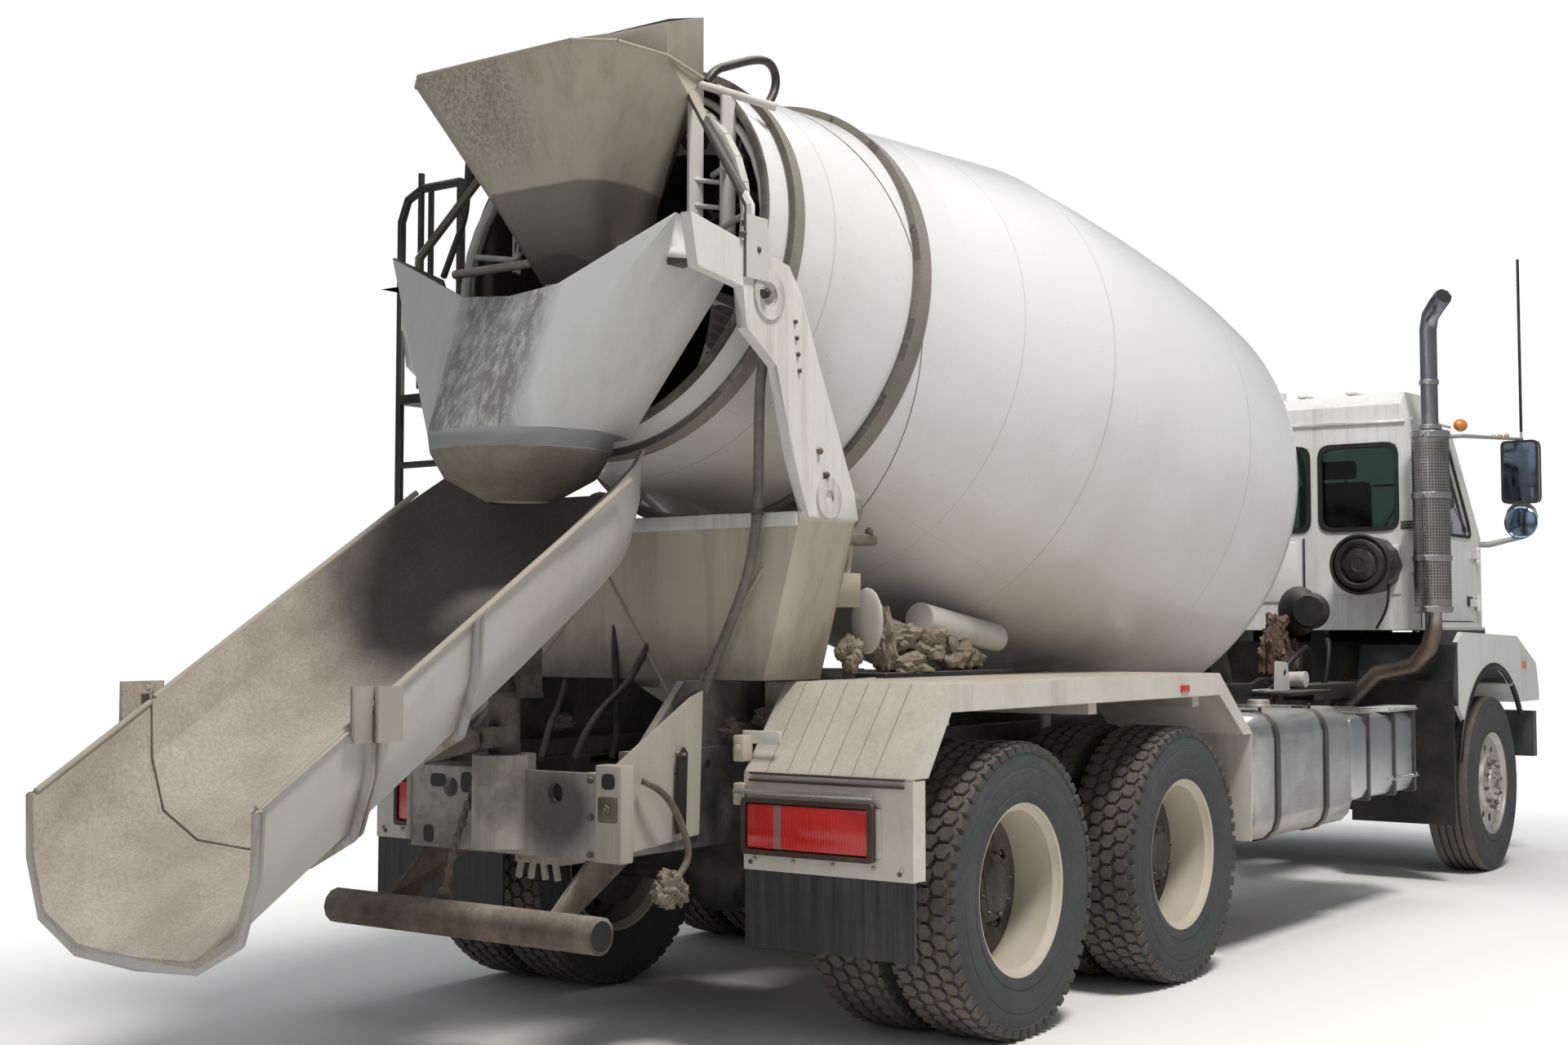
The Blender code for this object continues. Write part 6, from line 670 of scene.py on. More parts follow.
def glass_finish(name, tint, rough=0.02):
    """Tinted glass with faint smears."""
    build = begun(name)
    smear = build.spread(build.noise(build.place(), 6.0, 5.0, 0.65), 0.45, 0.75, rough, rough + 0.25)
    finish(build, tint, smear, rounding=0.0, **{"Transmission Weight": 1.0, "IOR": 1.45})


def lens_finish(name, colour, clear_from=None):
    """Moulded lamp lens with fine vertical flutes, and a clear stripe where the reversing lamp is."""
    build = begun(name)
    where = build.axes(build.place())
    flutes = build.math("SINE", build.times(where["Y"], 520.0))
    tone = build.blend(build.spread(flutes, 0.2, 1.0, 0.0, 0.35), colour, darker(colour, 0.45))
    if clear_from:
        stripe = build.math("COMPARE", build.size(where["Y"]), clear_from, 0.015)
        tone = build.blend(stripe, tone, (0.30, 0.16, 0.16))
    dusted = build.dusted(tone, 0.03, 0.2, 9.0)
    finish(build, dusted["Colour"], 0.16, height=flutes, bump=0.12, rounding=0.0, coat=0.6)


def cloth_finish():
    """Dark woven seat cloth."""
    build = begun("seat_cloth")
    weave = build.add(
        "ShaderNodeTexWave", {"Vector": build.place(), "Scale": 160.0, "Distortion": 1.5},
        bands_direction="DIAGONAL"
    ).outputs["Fac"]
    tone = build.blend(weave, (0.055, 0.057, 0.062), (0.12, 0.12, 0.125))
    finish(build, tone, 0.95, height=weave, bump=0.4, rounding=0.0, **{"Sheen Weight": 0.3})


def mirror_finish():
    """Bluish mirror glass with faint smears."""
    build = begun("mirror_glass")
    cloud = build.spread(build.noise(build.place(), 9.0, 4.0, 0.6), 0.4, 0.8, 0.03, 0.25)
    finish(build, (0.20, 0.26, 0.36), cloud, 1.0, rounding=0.0)


def paint(name):
    return bpy.data.materials[name]


# Modelling


class Shape:
    """Collects the forms of one piece, given in the truck's own measures."""

    def __init__(self):
        self.bm = bmesh.new()

    def box(self, low, high, bevel=0.0, turn=None):
        """A block between two corners, turned about its middle where a turn is given."""
        low, high = Vector(low), Vector(high)
        place = Matrix.Translation((low + high) / 2) @ (turn or Matrix())
        made = bmesh.ops.create_cube(self.bm, size=1.0, matrix=place @ Matrix.Diagonal((*(high - low), 1.0)))
        if bevel:
            edges = {edge for vert in made["verts"] for edge in vert.link_edges}
            bmesh.ops.bevel(
                self.bm, geom=list(edges), offset=bevel, affect="EDGES", segments=2, profile=0.5, material=-1
            )

    def rod(self, start, end, radius, tip=None, sides=12):
        """A round bar between two points, tapering to its tip radius."""
        start, end = Vector(start), Vector(end)
        turn = (end - start).to_track_quat("Z", "Y").to_matrix().to_4x4()
        bmesh.ops.create_cone(
            self.bm, cap_ends=True, segments=sides, radius1=radius, radius2=radius if tip is None else tip,
            depth=(end - start).length, matrix=Matrix.Translation((start + end) / 2) @ turn,
        )

    def ball(self, centre, radius, scale=(1, 1, 1), sides=16):
        place = Matrix.Translation(Vector(centre)) @ Matrix.Diagonal((*scale, 1.0))
        bmesh.ops.create_uvsphere(
            self.bm, u_segments=sides, v_segments=sides // 2, radius=radius, matrix=place
        )

    def lump(self, centre, radius, scale=(1, 1, 1), rough=0.45):
        """A caked mass: a ball pushed in and out unevenly."""
        made = bmesh.ops.create_icosphere(self.bm, subdivisions=4, radius=1.0)
        for vert in made["verts"]:
            way = Vector(vert.co)
            spot = way * 1.6 + Vector(centre) * 7.0
            swell = 1.0 + rough * noise.noise(spot) + rough * 0.5 * noise.noise(spot * 2.7)
            swell += rough * 0.25 * noise.noise(spot * 6.1)
            vert.co = Vector(centre) + Vector([way[axis] * scale[axis] * radius * swell for axis in range(3)])

    def spun(self, outline, centre, axis, steps=48, closed=False):
        """An outline of (along, radius) pairs spun round an axis."""
        centre, axis = Vector(centre), Vector(axis).normalized()
        side = axis.orthogonal().normalized()
        points = [self.bm.verts.new(centre + axis * along + side * radius) for along, radius in outline]
        lines = [self.bm.edges.new(pair) for pair in zip(points, points[1:])]
        if closed:
            lines.append(self.bm.edges.new((points[-1], points[0])))
        bmesh.ops.spin(
            self.bm, geom=points + lines, cent=centre, axis=axis, dvec=(0, 0, 0), angle=math.tau, steps=steps,
            use_merge=True, use_duplicate=False,
        )

    def pushed(self, faces, push):
        made = bmesh.ops.extrude_face_region(self.bm, geom=faces, use_keep_orig=True)
        moved = [part for part in made["geom"] if isinstance(part, bmesh.types.BMVert)]
        bmesh.ops.translate(self.bm, verts=moved, vec=push)

    def plate(self, corners, push):
        """A flat outline given its thickness by a push."""
        face = self.bm.faces.new([self.bm.verts.new(corner) for corner in corners])
        self.pushed([face], push)

    def pierced(self, outer, inners, push):
        """A flat outline with holes in it, given its thickness by a push."""
        edges = []
        for loop in (outer, *inners):
            ends = [self.bm.verts.new(point) for point in loop]
            edges += [self.bm.edges.new(pair) for pair in zip(ends, ends[1:] + ends[:1])]
        filled = bmesh.ops.triangle_fill(self.bm, use_beauty=True, use_dissolve=False, edges=edges)
        self.pushed([part for part in filled["geom"] if isinstance(part, bmesh.types.BMFace)], push)

    def ring(self, centre, axis, outer, inner, steps, inner_steps, push):
        """A flat ring between two radii, given its thickness by a push."""
        self.pierced(circle(centre, axis, outer, steps), [circle(centre, axis, inner, inner_steps)], push)

    def nut(self, foot, axis, size, height):
        """One nut with its stud end."""
        foot, axis = Vector(foot), Vector(axis)
        self.rod(foot, foot + axis * height, size, size * 0.92, 6)
        self.rod(foot + axis * height, foot + axis * height * 1.45, size * 0.5, size * 0.45, 8)

    def nuts(self, centre, axis, ring, count, size, height, first=0.0):
        """A ring of nuts."""
        centre, axis = Vector(centre), Vector(axis).normalized()
        side = axis.orthogonal().normalized()
        for step in range(count):
            turn = Matrix.Rotation(math.tau * (step + first) / count, 3, axis)
            self.nut(centre + turn @ side * ring, axis, size, height)

    def done(self, name, material, body="chassis", *replaced, slot=None, angle=32.0):
        """Closes the piece, moves it to the frame and hangs it on its body."""
        bm = self.bm
        bmesh.ops.remove_doubles(bm, verts=bm.verts, dist=1e-5)
        bmesh.ops.recalc_face_normals(bm, faces=bm.faces)
        bmesh.ops.translate(bm, verts=bm.verts, vec=(-MIDDLE, 0, 0))
        return settled(meshed(bm, name), name, material, body, *replaced, slot=slot, angle=angle)


def meshed(bm, name):
    mesh = bpy.data.meshes.new(name)
    bm.to_mesh(mesh)
    bm.free()
    return mesh


def settled(mesh, name, material, body, *replaced, slot=None, angle=32.0):
    """A mesh in the frame's measures becomes a piece of a body."""
    for face in mesh.polygons:
        face.use_smooth = True
    mesh.set_sharp_from_angle(angle=math.radians(angle))
    piece = bpy.data.objects.new(name, mesh)
    bpy.context.scene.collection.objects.link(piece)
    mesh.materials.append(paint(material))
    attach(piece, body)
    if replaced:
        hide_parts(*replaced)
    return piece


def tubes(name, routes, radius, material, body="chassis", *replaced, slot=None, sides=3):
    """Bent tubes along routes of points, one piece."""
    curve = bpy.data.curves.new(name, "CURVE")
    curve.dimensions, curve.bevel_depth, curve.bevel_resolution = "3D", radius, sides
    curve.use_fill_caps, curve.resolution_u = True, 5
    for route in routes:
        bent = len(route) > 2
        spline = curve.splines.new("NURBS" if bent else "POLY")
        spline.points.add(len(route) - 1)
        for point, spot in zip(spline.points, route):
            point.co = (*(Vector(spot) - Vector((MIDDLE, 0, 0))), 1.0)
        if bent:
            spline.order_u, spline.use_endpoint_u = 3, True
    guide = bpy.data.objects.new(name + "_guide", curve)
    bpy.context.scene.collection.objects.link(guide)
    graph = bpy.context.evaluated_depsgraph_get()
    mesh = bpy.data.meshes.new_from_object(guide.evaluated_get(graph))
    bpy.data.objects.remove(guide)
    bpy.data.curves.remove(curve)
    mesh.name = name
    mesh.materials.clear()
    return settled(mesh, name, material, body, *replaced, slot=slot, angle=50)


def smoothed(node, angle, test=None, point=None):
    """A softly shaded copy that stands for a CAD node; what the test finds is cut off behind a point."""
    source = frame["nodes"][node]
    bm = bmesh.new()
    bm.from_mesh(source.data)
    bmesh.ops.remove_doubles(bm, verts=bm.verts, dist=1e-5)
    if test:
        spots = {
            face: [(vert.co.x + MIDDLE, vert.co.y, vert.co.z) for vert in face.verts] for face in bm.faces
        }
        faces = [face for face in bm.faces if test(spots[face])]
        region = {part for face in faces for part in (*face.verts, *face.edges, face)}
        bmesh.ops.bisect_plane(
            bm, geom=list(region), dist=1e-5, plane_co=at(*point), plane_no=(-1, 0, 0), clear_outer=True
        )
        bmesh.ops.holes_fill(bm, edges=[edge for edge in bm.edges if edge.is_boundary])
        bmesh.ops.recalc_face_normals(bm, faces=bm.faces)
    name, material = node + "_finish", source.data.materials[0].name
    piece = settled(meshed(bm, name), name, material, body_of(source)[0], node, angle=angle)
    even = piece.modifiers.new("Even", "WEIGHTED_NORMAL")
    even.keep_sharp = True
    return piece


def rounded(corners, radius, steps=4):
    """A closed outline whose corners are eased into arcs."""
    corners = [Vector(corner) for corner in corners]
    eased = []
    for before, corner, after in zip(corners[-1:] + corners[:-1], corners, corners[1:] + corners[:1]):
        start = corner + (before - corner).normalized() * radius
        end = corner + (after - corner).normalized() * radius
        for step in range(steps + 1):
            share = step / steps
            eased.append(start.lerp(corner, share).lerp(corner.lerp(end, share), share))
    return eased


def grown(corners, by):
    """A flat closed outline moved outwards by a width, or inwards where the width is negative."""
    corners = [Vector(corner) for corner in corners]
    middle = sum(corners, Vector()) / len(corners)
    normal = sum(
        ((a - middle).cross(b - middle) for a, b in zip(corners, corners[1:] + corners[:1])), Vector()
    )
    normal.normalize()
    moved = []
    for before, corner, after in zip(corners[-1:] + corners[:-1], corners, corners[1:] + corners[:1]):
        one = (corner - before).normalized().cross(normal)
        two = (after - corner).normalized().cross(normal)
        both = (one + two).normalized()
        moved.append(corner + both * by / max(both.dot(one), 0.3))
    return moved


def upright(x, low, high, foot, head):
    """The corners of a rectangle that stands across the truck."""
    return [(x, low, foot), (x, high, foot), (x, high, head), (x, low, head)]


def mirrored(points):
    return [(x, -y, z) for x, y, z in points]


def circle(centre, axis, radius, steps=16):
    centre, axis = Vector(centre), Vector(axis).normalized()
    side = axis.orthogonal().normalized()
    return [
        centre + Matrix.Rotation(math.tau * step / steps, 3, axis) @ side * radius for step in range(steps)
    ]


def drum_point(along, radius=0.0, turn=0.0):
    """A point of the drum in the truck's measures: along its axis, out from it, turned from its top."""
    origin = DRUM_SPOT + Vector((MIDDLE, 0, 0))
    up = Vector((math.sin(DRUM_TILT), 0, math.cos(DRUM_TILT)))
    out = Matrix.Rotation(turn, 3, DRUM_AXIS) @ up
    return origin + DRUM_AXIS * along + out * radius


# Operators


class Maker:
    """What the truck's operators share."""

    bl_options = {"REGISTER", "UNDO"}

    def execute(self, context):
        self.make()
        return {"FINISHED"}


class MIXER_OT_stage(Maker, bpy.types.Operator):
    """Sets the floor, the sky, the lamps and the camera of the photograph"""

    bl_idname = "mixer.stage"
    bl_label = "Stage"

    def make(self):
        scene = bpy.context.scene
        scene.view_settings.view_transform = "Standard"
        world = bpy.data.worlds.new("Pale sky")
        scene.world = world
        world.use_nodes = True
        tree = Tree(world.node_tree)
        world.node_tree.nodes.clear()
        path = tree.add("ShaderNodeLightPath").outputs
        seen = tree.most(path["Is Camera Ray"], path["Is Transmission Ray"])
        light = tree.add("ShaderNodeBackground", {"Color": (0.90, 0.95, 1.0), "Strength": 0.25})
        shown = tree.add("ShaderNodeBackground", {"Color": (1, 1, 1), "Strength": 1.0})
        mixed = tree.add("ShaderNodeMixShader", {0: seen, 1: light.outputs[0], 2: shown.outputs[0]})
        tree.add("ShaderNodeOutputWorld", {0: mixed.outputs[0]})

        build = begun("studio_floor")
        reach = build.vector("LENGTH", build.stretched(build.place(), 0.165, 0.34, 0.0))
        path = build.add("ShaderNodeLightPath").outputs
        seen = build.most(path["Is Camera Ray"], path["Is Transmission Ray"])
        far = build.times(build.spread(reach, 0.80, 1.35), seen)
        dull = build.add("ShaderNodeBsdfDiffuse", {"Color": (0.90, 0.89, 0.87)})
        white = build.add("ShaderNodeEmission", {"Color": (1, 1, 1), "Strength": 1.0})
        faded = build.add("ShaderNodeMixShader", {0: far, 1: dull.outputs[0], 2: white.outputs[0]})
        build.add("ShaderNodeOutputMaterial", {0: faded.outputs[0]})
        bm = bmesh.new()
        bmesh.ops.create_circle(bm, cap_ends=True, segments=96, radius=70.0)
        bmesh.ops.translate(bm, verts=bm.verts, vec=(20, 14, 0))
        mesh = meshed(bm, "floor")
        floor = bpy.data.objects.new("floor", mesh)
        mesh.materials.append(paint("studio_floor"))
        scene.collection.objects.link(floor)

        self.lamp("key", (-3.0, -5.0, 11.5), (0.2, 0, 1.3), 2.6, 1100.0, (1.0, 0.97, 0.92))
        self.lamp("fill", (-9.5, -1.5, 5.0), (-2.0, 0, 1.2), 5.0, 45.0, (0.94, 0.97, 1.0))
        self.lamp("top", (1.0, 0.5, 9.5), (0, 0, 1.0), 6.0, 250.0, (0.97, 0.98, 1.0))

        camera = bpy.data.objects.new("camera", bpy.data.cameras.new("camera"))
        scene.collection.objects.link(camera)
        camera.data.lens, camera.data.sensor_width, camera.data.sensor_fit = 44.31, 36.0, "HORIZONTAL"
        camera.data.clip_end = 200.0
        ahead, right = Vector((0.81078, 0.58250, 0.05704)), Vector((0.58345, -0.81213, 0.0))
        up = right.cross(ahead)
        turn = Matrix((right, up, -ahead)).transposed()
        camera.matrix_world = Matrix.Translation(at(-6.1032, -4.5653, 1.4357)) @ turn.to_4x4()
        scene.camera = camera

    def lamp(self, name, place, target, size, power, colour):
        lamp = bpy.data.lights.new(name, "AREA")
        lamp.shape, lamp.size, lamp.energy, lamp.color = "DISK", size, power, colour
        holder = bpy.data.objects.new(name, lamp)
        turn = (Vector(place) - Vector(target)).to_track_quat("Z", "Y").to_matrix().to_4x4()
        holder.matrix_world = Matrix.Translation(Vector(place)) @ turn
        bpy.context.scene.collection.objects.link(holder)


class MIXER_OT_finishes(Maker, bpy.types.Operator):
    """Paints the truck's solid frame with worn paint, dust, rubber and steel"""

    bl_idname = "mixer.finishes"
    bl_label = "Finishes"

    def make(self):
        look = looks()
        dust_group()
        streak_group()
        rust_group()
        concrete_group()
        brush_group()
        weathered(
            "cab_white", look.white_paint, dust=0.16, upward=0.35, streaks=0.55, rust=0.15, rough=0.34,
            coat=0.25, width=7.0
        )
        weathered("fender_cream", (0.66, 0.63, 0.57), dust=0.55, upward=0.85, streaks=0.5, rust=0.5)
        weathered("fitting_white", (0.70, 0.69, 0.66), dust=0.35, upward=0.6, streaks=0.7, rust=0.6)
        weathered("caked_beige", (0.52, 0.46, 0.37), dust=0.5, upward=0.6, streaks=0.7, rust=1.0, rough=0.75)
        grimy("chassis_black", look.black_paint, dust=0.24, upward=0.5, rough=0.5)
        grimy("fitting_black", (0.018, 0.018, 0.020), dust=0.14, upward=0.4, rough=0.34)
        grimy("black_plastic", (0.026, 0.026, 0.028), dust=0.30, upward=0.5, rough=0.5)
        grimy("black_rubber_and_hole_shade", (0.012, 0.012, 0.013), dust=0.04, upward=0.2, rough=0.5, rounding=0.0)
        grimy("pure_black", (0.008, 0.008, 0.009), dust=0.0, upward=0.05, rough=0.5, rounding=0.0)
        grimy("guard_black", (0.014, 0.014, 0.016), dust=0.06, upward=0.3, rough=0.45)
        grimy("dusty_iron", (0.10, 0.09, 0.08), dust=0.60, upward=0.8, rough=0.7, metallic=0.5)
        grimy("roller_steel", (0.26, 0.22, 0.17), dust=0.75, upward=0.7, rough=0.65, metallic=0.4)
        grimy("hub_iron", (0.040, 0.034, 0.030), dust=0.32, upward=0.3, rough=0.7)
        grimy("tube_brown", (0.13, 0.10, 0.075), dust=0.5, upward=0.55, rough=0.75, metallic=0.2)
        grimy("hose_grey", (0.13, 0.125, 0.115), dust=0.45, upward=0.4, rough=0.55, rounding=0.0)
        grimy("dark_trim", (0.030, 0.031, 0.034), dust=0.2, upward=0.4, rough=0.5)
        metal_finish("wheel_aluminium", (0.62, 0.60, 0.57), 0.34, 0.42, along_x=1.0)
        metal_finish("box_aluminium", (0.60, 0.61, 0.62), 0.30, 0.12)
        grimy("dark_frame", (0.045, 0.022, 0.016), dust=0.12, upward=0.4, rough=0.5)
        metal_finish("bright_steel", (0.66, 0.65, 0.63), 0.22, 0.16)
        metal_finish("chrome_trim", (0.80, 0.80, 0.80), 0.08, 0.06)
        metal_finish("cleaner_black", (0.018, 0.018, 0.020), 0.32, 0.12, metallic=0.2)
        grimy("bumper_steel", (0.16, 0.17, 0.18), dust=0.2, upward=0.5, rough=0.35, metallic=0.7)
        weathered("chute_edge", (0.50, 0.46, 0.39), dust=0.6, upward=0.7, streaks=0.7, rust=1.0, rough=0.7)
        weathered(
            "worn_white", (0.43, 0.405, 0.36), dust=0.75, upward=0.6, streaks=0.95, rust=1.0, rough=0.6,
            width=12.0
        )
        weathered(
            "rib_line", (0.27, 0.24, 0.20), dust=0.3, upward=0.3, streaks=0.0, rust=0.2, rough=0.7,
            rounding=0.0
        )
        grimy("mud_caked", (0.30, 0.25, 0.19), dust=0.5, upward=0.3, rough=0.9, scale=14.0, bump=0.9)
        grimy("rust_caked", (0.11, 0.055, 0.035), dust=0.35, upward=0.3, rough=0.9, scale=24.0, bump=0.8)
        flap_finish()
        cab_finish()
        weathered(
            "rim_cream", look.rim_cream, dust=0.5, upward=0.25, streaks=0.0, rust=0.8, rough=0.6, rounding=0.0
        )
        weathered("mirror_arm", (0.30, 0.31, 0.32), dust=0.15, upward=0.5, streaks=0.5, rough=0.3)
        tyre_finish()
        drum_finish()
        chute_finish()
        charge_finish()
        discharge_finish()
        frame_finish()
        pedestal_finish()
        shield_finish()
        tank_finish()
        glass_finish("cab_glass", look.glass_tint)
        lens_finish("tail_lens", look.lens_red, clear_from=0.735)
        lens_finish("marker_lens", look.lens_amber)
        lens_finish("lamp_glass", (0.72, 0.74, 0.76))
        cloth_finish()
        mirror_finish()
        coats = {
            "chassis_black": (
                "front_axle", "rear_axle_1", "rear_axle_2", "engine", "radiator", "battery_box",
                "front_pedestal", "drum_gearbox", "knuckle_left", "knuckle_right"
            ),
            "cab_body": ("cab_shell",), "bumper_steel": ("bumper",),
            "guard_black": ("splash_guard_left", "splash_guard_right"), "frame_paint": ("frame",),
            "pedestal_paint": ("rear_pedestal",), "tank_aluminium": ("fuel_tank_left", "fuel_tank_right"),
            "fender_cream": ("rear_fender_left", "rear_fender_right"),
            "flap_rubber": ("mud_flap_left", "mud_flap_right"), "tube_brown": ("underrun_bar",),
            "charge_hopper_cream": ("charge_hopper",), "discharge_hopper_white": ("discharge_hopper",),
            "fitting_black": ("ladder",), "cab_white": ("door_left", "door_right", "hood"),
            "black_plastic": ("dashboard",), "cleaner_black": ("air_cleaner",),
            "stack_steel": ("exhaust_stack",), "mirror_arm": ("mirror_left", "mirror_right"),
            "drum_white": ("drum",), "roller_steel": ("ring_roller_left", "ring_roller_right"),
            "chute_white": ("chute_main", "chute_end"), "dusty_iron": ("chute_swivel", "lift_barrel"),
            "bright_steel": ("lift_rod",), "hose_grey": ("water_hose",),
            "seat_cloth": ("seat_left", "seat_right"),
            "tyre_rubber": (
                "wheel_front_left", "wheel_front_right", "twin_wheel_rear1_left", "twin_wheel_rear1_right",
                "twin_wheel_rear2_left", "twin_wheel_rear2_right"
            )
        }
        for coat, names in coats.items():
            for name in names:
                body = frame["nodes"][name].data
                body.materials.clear()
                body.materials.append(paint(coat))


def tyre(shape, centre, ribbed=False):
    """One tyre: a spun carcass with rings on its walls, and either lugs or running ribs."""
    look = looks()
    radius, half, deep = look.tyre_radius, look.tyre_width / 2, look.tread_depth
    base = radius - (0.0 if ribbed else deep)
    wall = [
        (half - 0.040, 0.290), (half - 0.018, 0.305), (half - 0.009, 0.330), (half - 0.006, 0.345),
        (half - 0.009, 0.350), (half - 0.003, 0.375), (half, 0.405), (half, 0.425), (half - 0.003, 0.429),
        (half - 0.002, 0.434), (half - 0.003, 0.455), (half - 0.009, 0.480), (half - 0.006, 0.484),
        (half - 0.012, 0.497), (half - 0.019, base - 0.005), (half - 0.028, base),
    ]
    top = []
    if ribbed:
        for groove in (-0.066, -0.023, 0.023, 0.066):
            top += [
                (groove - 0.007, base), (groove - 0.005, base - deep), (groove + 0.005, base - deep),
                (groove + 0.007, base)
            ]
    outline = [(-along, out) for along, out in wall] + top + list(reversed(wall))
    shape.spun(outline, centre, (0, 1, 0), steps=60, closed=True)
    if ribbed:
        return
    count, centre = 54, Vector(centre)
    for across, shift in ((-0.087, 0.5), (-0.029, 0.0), (0.029, 0.5), (0.087, 0.0)):
        for step in range(count):
            turn = Matrix.Rotation(math.tau * (step + shift) / count, 4, "Y")
            out = Matrix.Translation((0, across, base + deep / 2 - 0.002))
            place = Matrix.Translation(centre) @ turn @ out
            bmesh.ops.create_cone(
                shape.bm, cap_ends=True, segments=6, radius1=0.0315, radius2=0.0275, depth=deep + 0.004,
                matrix=place
            )
    for across in (-1, 1):
        for step in range(count):
            turn = Matrix.Rotation(math.tau * (step + 0.25) / count, 4, "Y")
            out = Matrix.Translation((0, across * (half - 0.016), base - 0.012))
            place = Matrix.Translation(centre) @ turn @ out
            bmesh.ops.create_cube(
                shape.bm, size=1.0, matrix=place @ Matrix.Diagonal((0.036, 0.024, 0.026, 1.0))
            )


RIM = (
    (0.112, 0.313), (0.121, 0.313), (0.123, 0.306), (0.119, 0.297), (0.106, 0.291), (0.094, 0.279),
    (0.0, 0.274), (-0.07, 0.272), (-0.075, 0.262), (-0.081, 0.262), (-0.081, 0.284), (0.09, 0.288),
    (0.104, 0.300)
)


def wheel_disc(shape, centre, axis, face, holes, hole_ring, hole_radius, outer=0.274, inner=0.10):
    """A pressed disc with a ring of hand holes."""
    centre, axis = Vector(centre), Vector(axis)
    middle = centre + axis * face
    cuts = [circle(middle, axis, inner, 32)]
    side = axis.orthogonal().normalized()
    for step in range(holes):
        spot = middle + Matrix.Rotation(math.tau * (step + 0.5) / holes, 3, axis) @ side * hole_ring
        cuts.append(circle(spot, axis, hole_radius, 16))
    shape.pierced(circle(middle, axis, outer, 60), cuts, axis * -0.010)


class MIXER_OT_rear_wheels(Maker, bpy.types.Operator):
    """Makes the twin rear wheels with lugged tyres, deep rims, pierced discs and nuts"""

    bl_idname = "mixer.rear_wheels"
    bl_label = "Rear wheels"

    def make(self):
        for axle, x in REAR_AXLES:
            for name, side in SIDES:
                body, node = f"{axle}_wheels_{name}", f"twin_wheel_{axle}_{name}"
                out, back = (0, side, 0), (0, -side, 0)
                outer, inner = (x, side * 1.10, AXLE_HEIGHT), (x, side * 0.77, AXLE_HEIGHT)
                rubber = Shape()
                tyre(rubber, outer)
                tyre(rubber, inner)
                rubber.done(f"{axle}_tyres_{name}", "tyre_rubber", body, node, slot="tyre")
                rims = Shape()
                rims.spun(RIM, outer, out, steps=60, closed=True)
                rims.spun(RIM, inner, back, steps=60, closed=True)
                rims.done(f"{axle}_rims_{name}", "rim_cream", body, node, slot="worn_steel")
                discs = Shape()
                wheel_disc(discs, outer, out, -0.060, 10, 0.198, 0.027)
                wheel_disc(discs, inner, back, -0.024, 10, 0.198, 0.027)
                hub = (
                    (-0.20, 0.0), (-0.20, 0.10), (-0.072, 0.10), (-0.070, 0.178), (-0.054, 0.178),
                    (-0.050, 0.132), (-0.010, 0.121), (0.010, 0.113), (0.014, 0.088), (0.022, 0.082),
                    (0.024, 0.0)
                )
                discs.spun(hub, outer, out, steps=40)
                discs.spun(
                    ((-0.20, 0.0), (-0.20, 0.10), (0.03, 0.12), (0.06, 0.20), (0.10, 0.205), (0.10, 0.0)),
                    inner, back, steps=40
                )
                discs.done(f"{axle}_hubs_{name}", "hub_iron", body, node, slot="worn_steel")
                nuts = Shape()
                face = Vector(outer) + Vector(out) * -0.054
                nuts.nuts(face, out, 0.154, 10, 0.0155, 0.020)
                nuts.nuts(Vector(outer) + Vector(out) * 0.012, out, 0.100, 8, 0.009, 0.010, first=0.3)
                nuts.done(f"{axle}_nuts_{name}", "dusty_iron", body, slot="worn_steel")


class MIXER_OT_front_wheels(Maker, bpy.types.Operator):
    """Makes the steered wheels with ribbed tyres, aluminium discs and nuts"""

    bl_idname = "mixer.front_wheels"
    bl_label = "Front wheels"

    def make(self):
        for name, side in SIDES:
            body, node = f"front_wheel_{name}", f"wheel_front_{name}"
            out, centre = Vector((0, side, 0)), Vector((FRONT_AXLE, side * 1.06, AXLE_HEIGHT))
            rubber = Shape()
            tyre(rubber, centre, ribbed=True)
            rubber.done(f"front_tyre_{name}", "tyre_rubber", body, node, slot="tyre")
            rim = Shape()
            rim.spun(RIM, centre, out, steps=60, closed=True)
            rim.spun([(-along, r) for along, r in RIM], centre, out, steps=60, closed=True)
            wheel_disc(rim, centre, out, 0.090, 10, 0.212, 0.026, outer=0.278, inner=0.09)
            dome = (
                (0.075, 0.180), (0.094, 0.180), (0.112, 0.168), (0.117, 0.155), (0.117, 0.112),
                (0.120, 0.104), (0.136, 0.098), (0.142, 0.085), (0.144, 0.0), (0.04, 0.0), (0.04, 0.12)
            )
            rim.spun(dome, centre, out, steps=48, closed=True)
            rim.done(f"front_rim_{name}", "wheel_aluminium", body, node, slot="aluminium")
            nuts = Shape()
            nuts.nuts(centre + out * 0.115, out, 0.137, 10, 0.017, 0.018)
            nuts.nuts(centre + out * 0.142, out, 0.068, 8, 0.008, 0.007, first=0.3)
            nuts.rod(centre + out * 0.14, centre + out * 0.151, 0.035, 0.03, 20)
            nuts.done(f"front_nuts_{name}", "dusty_iron", body, slot="worn_steel")


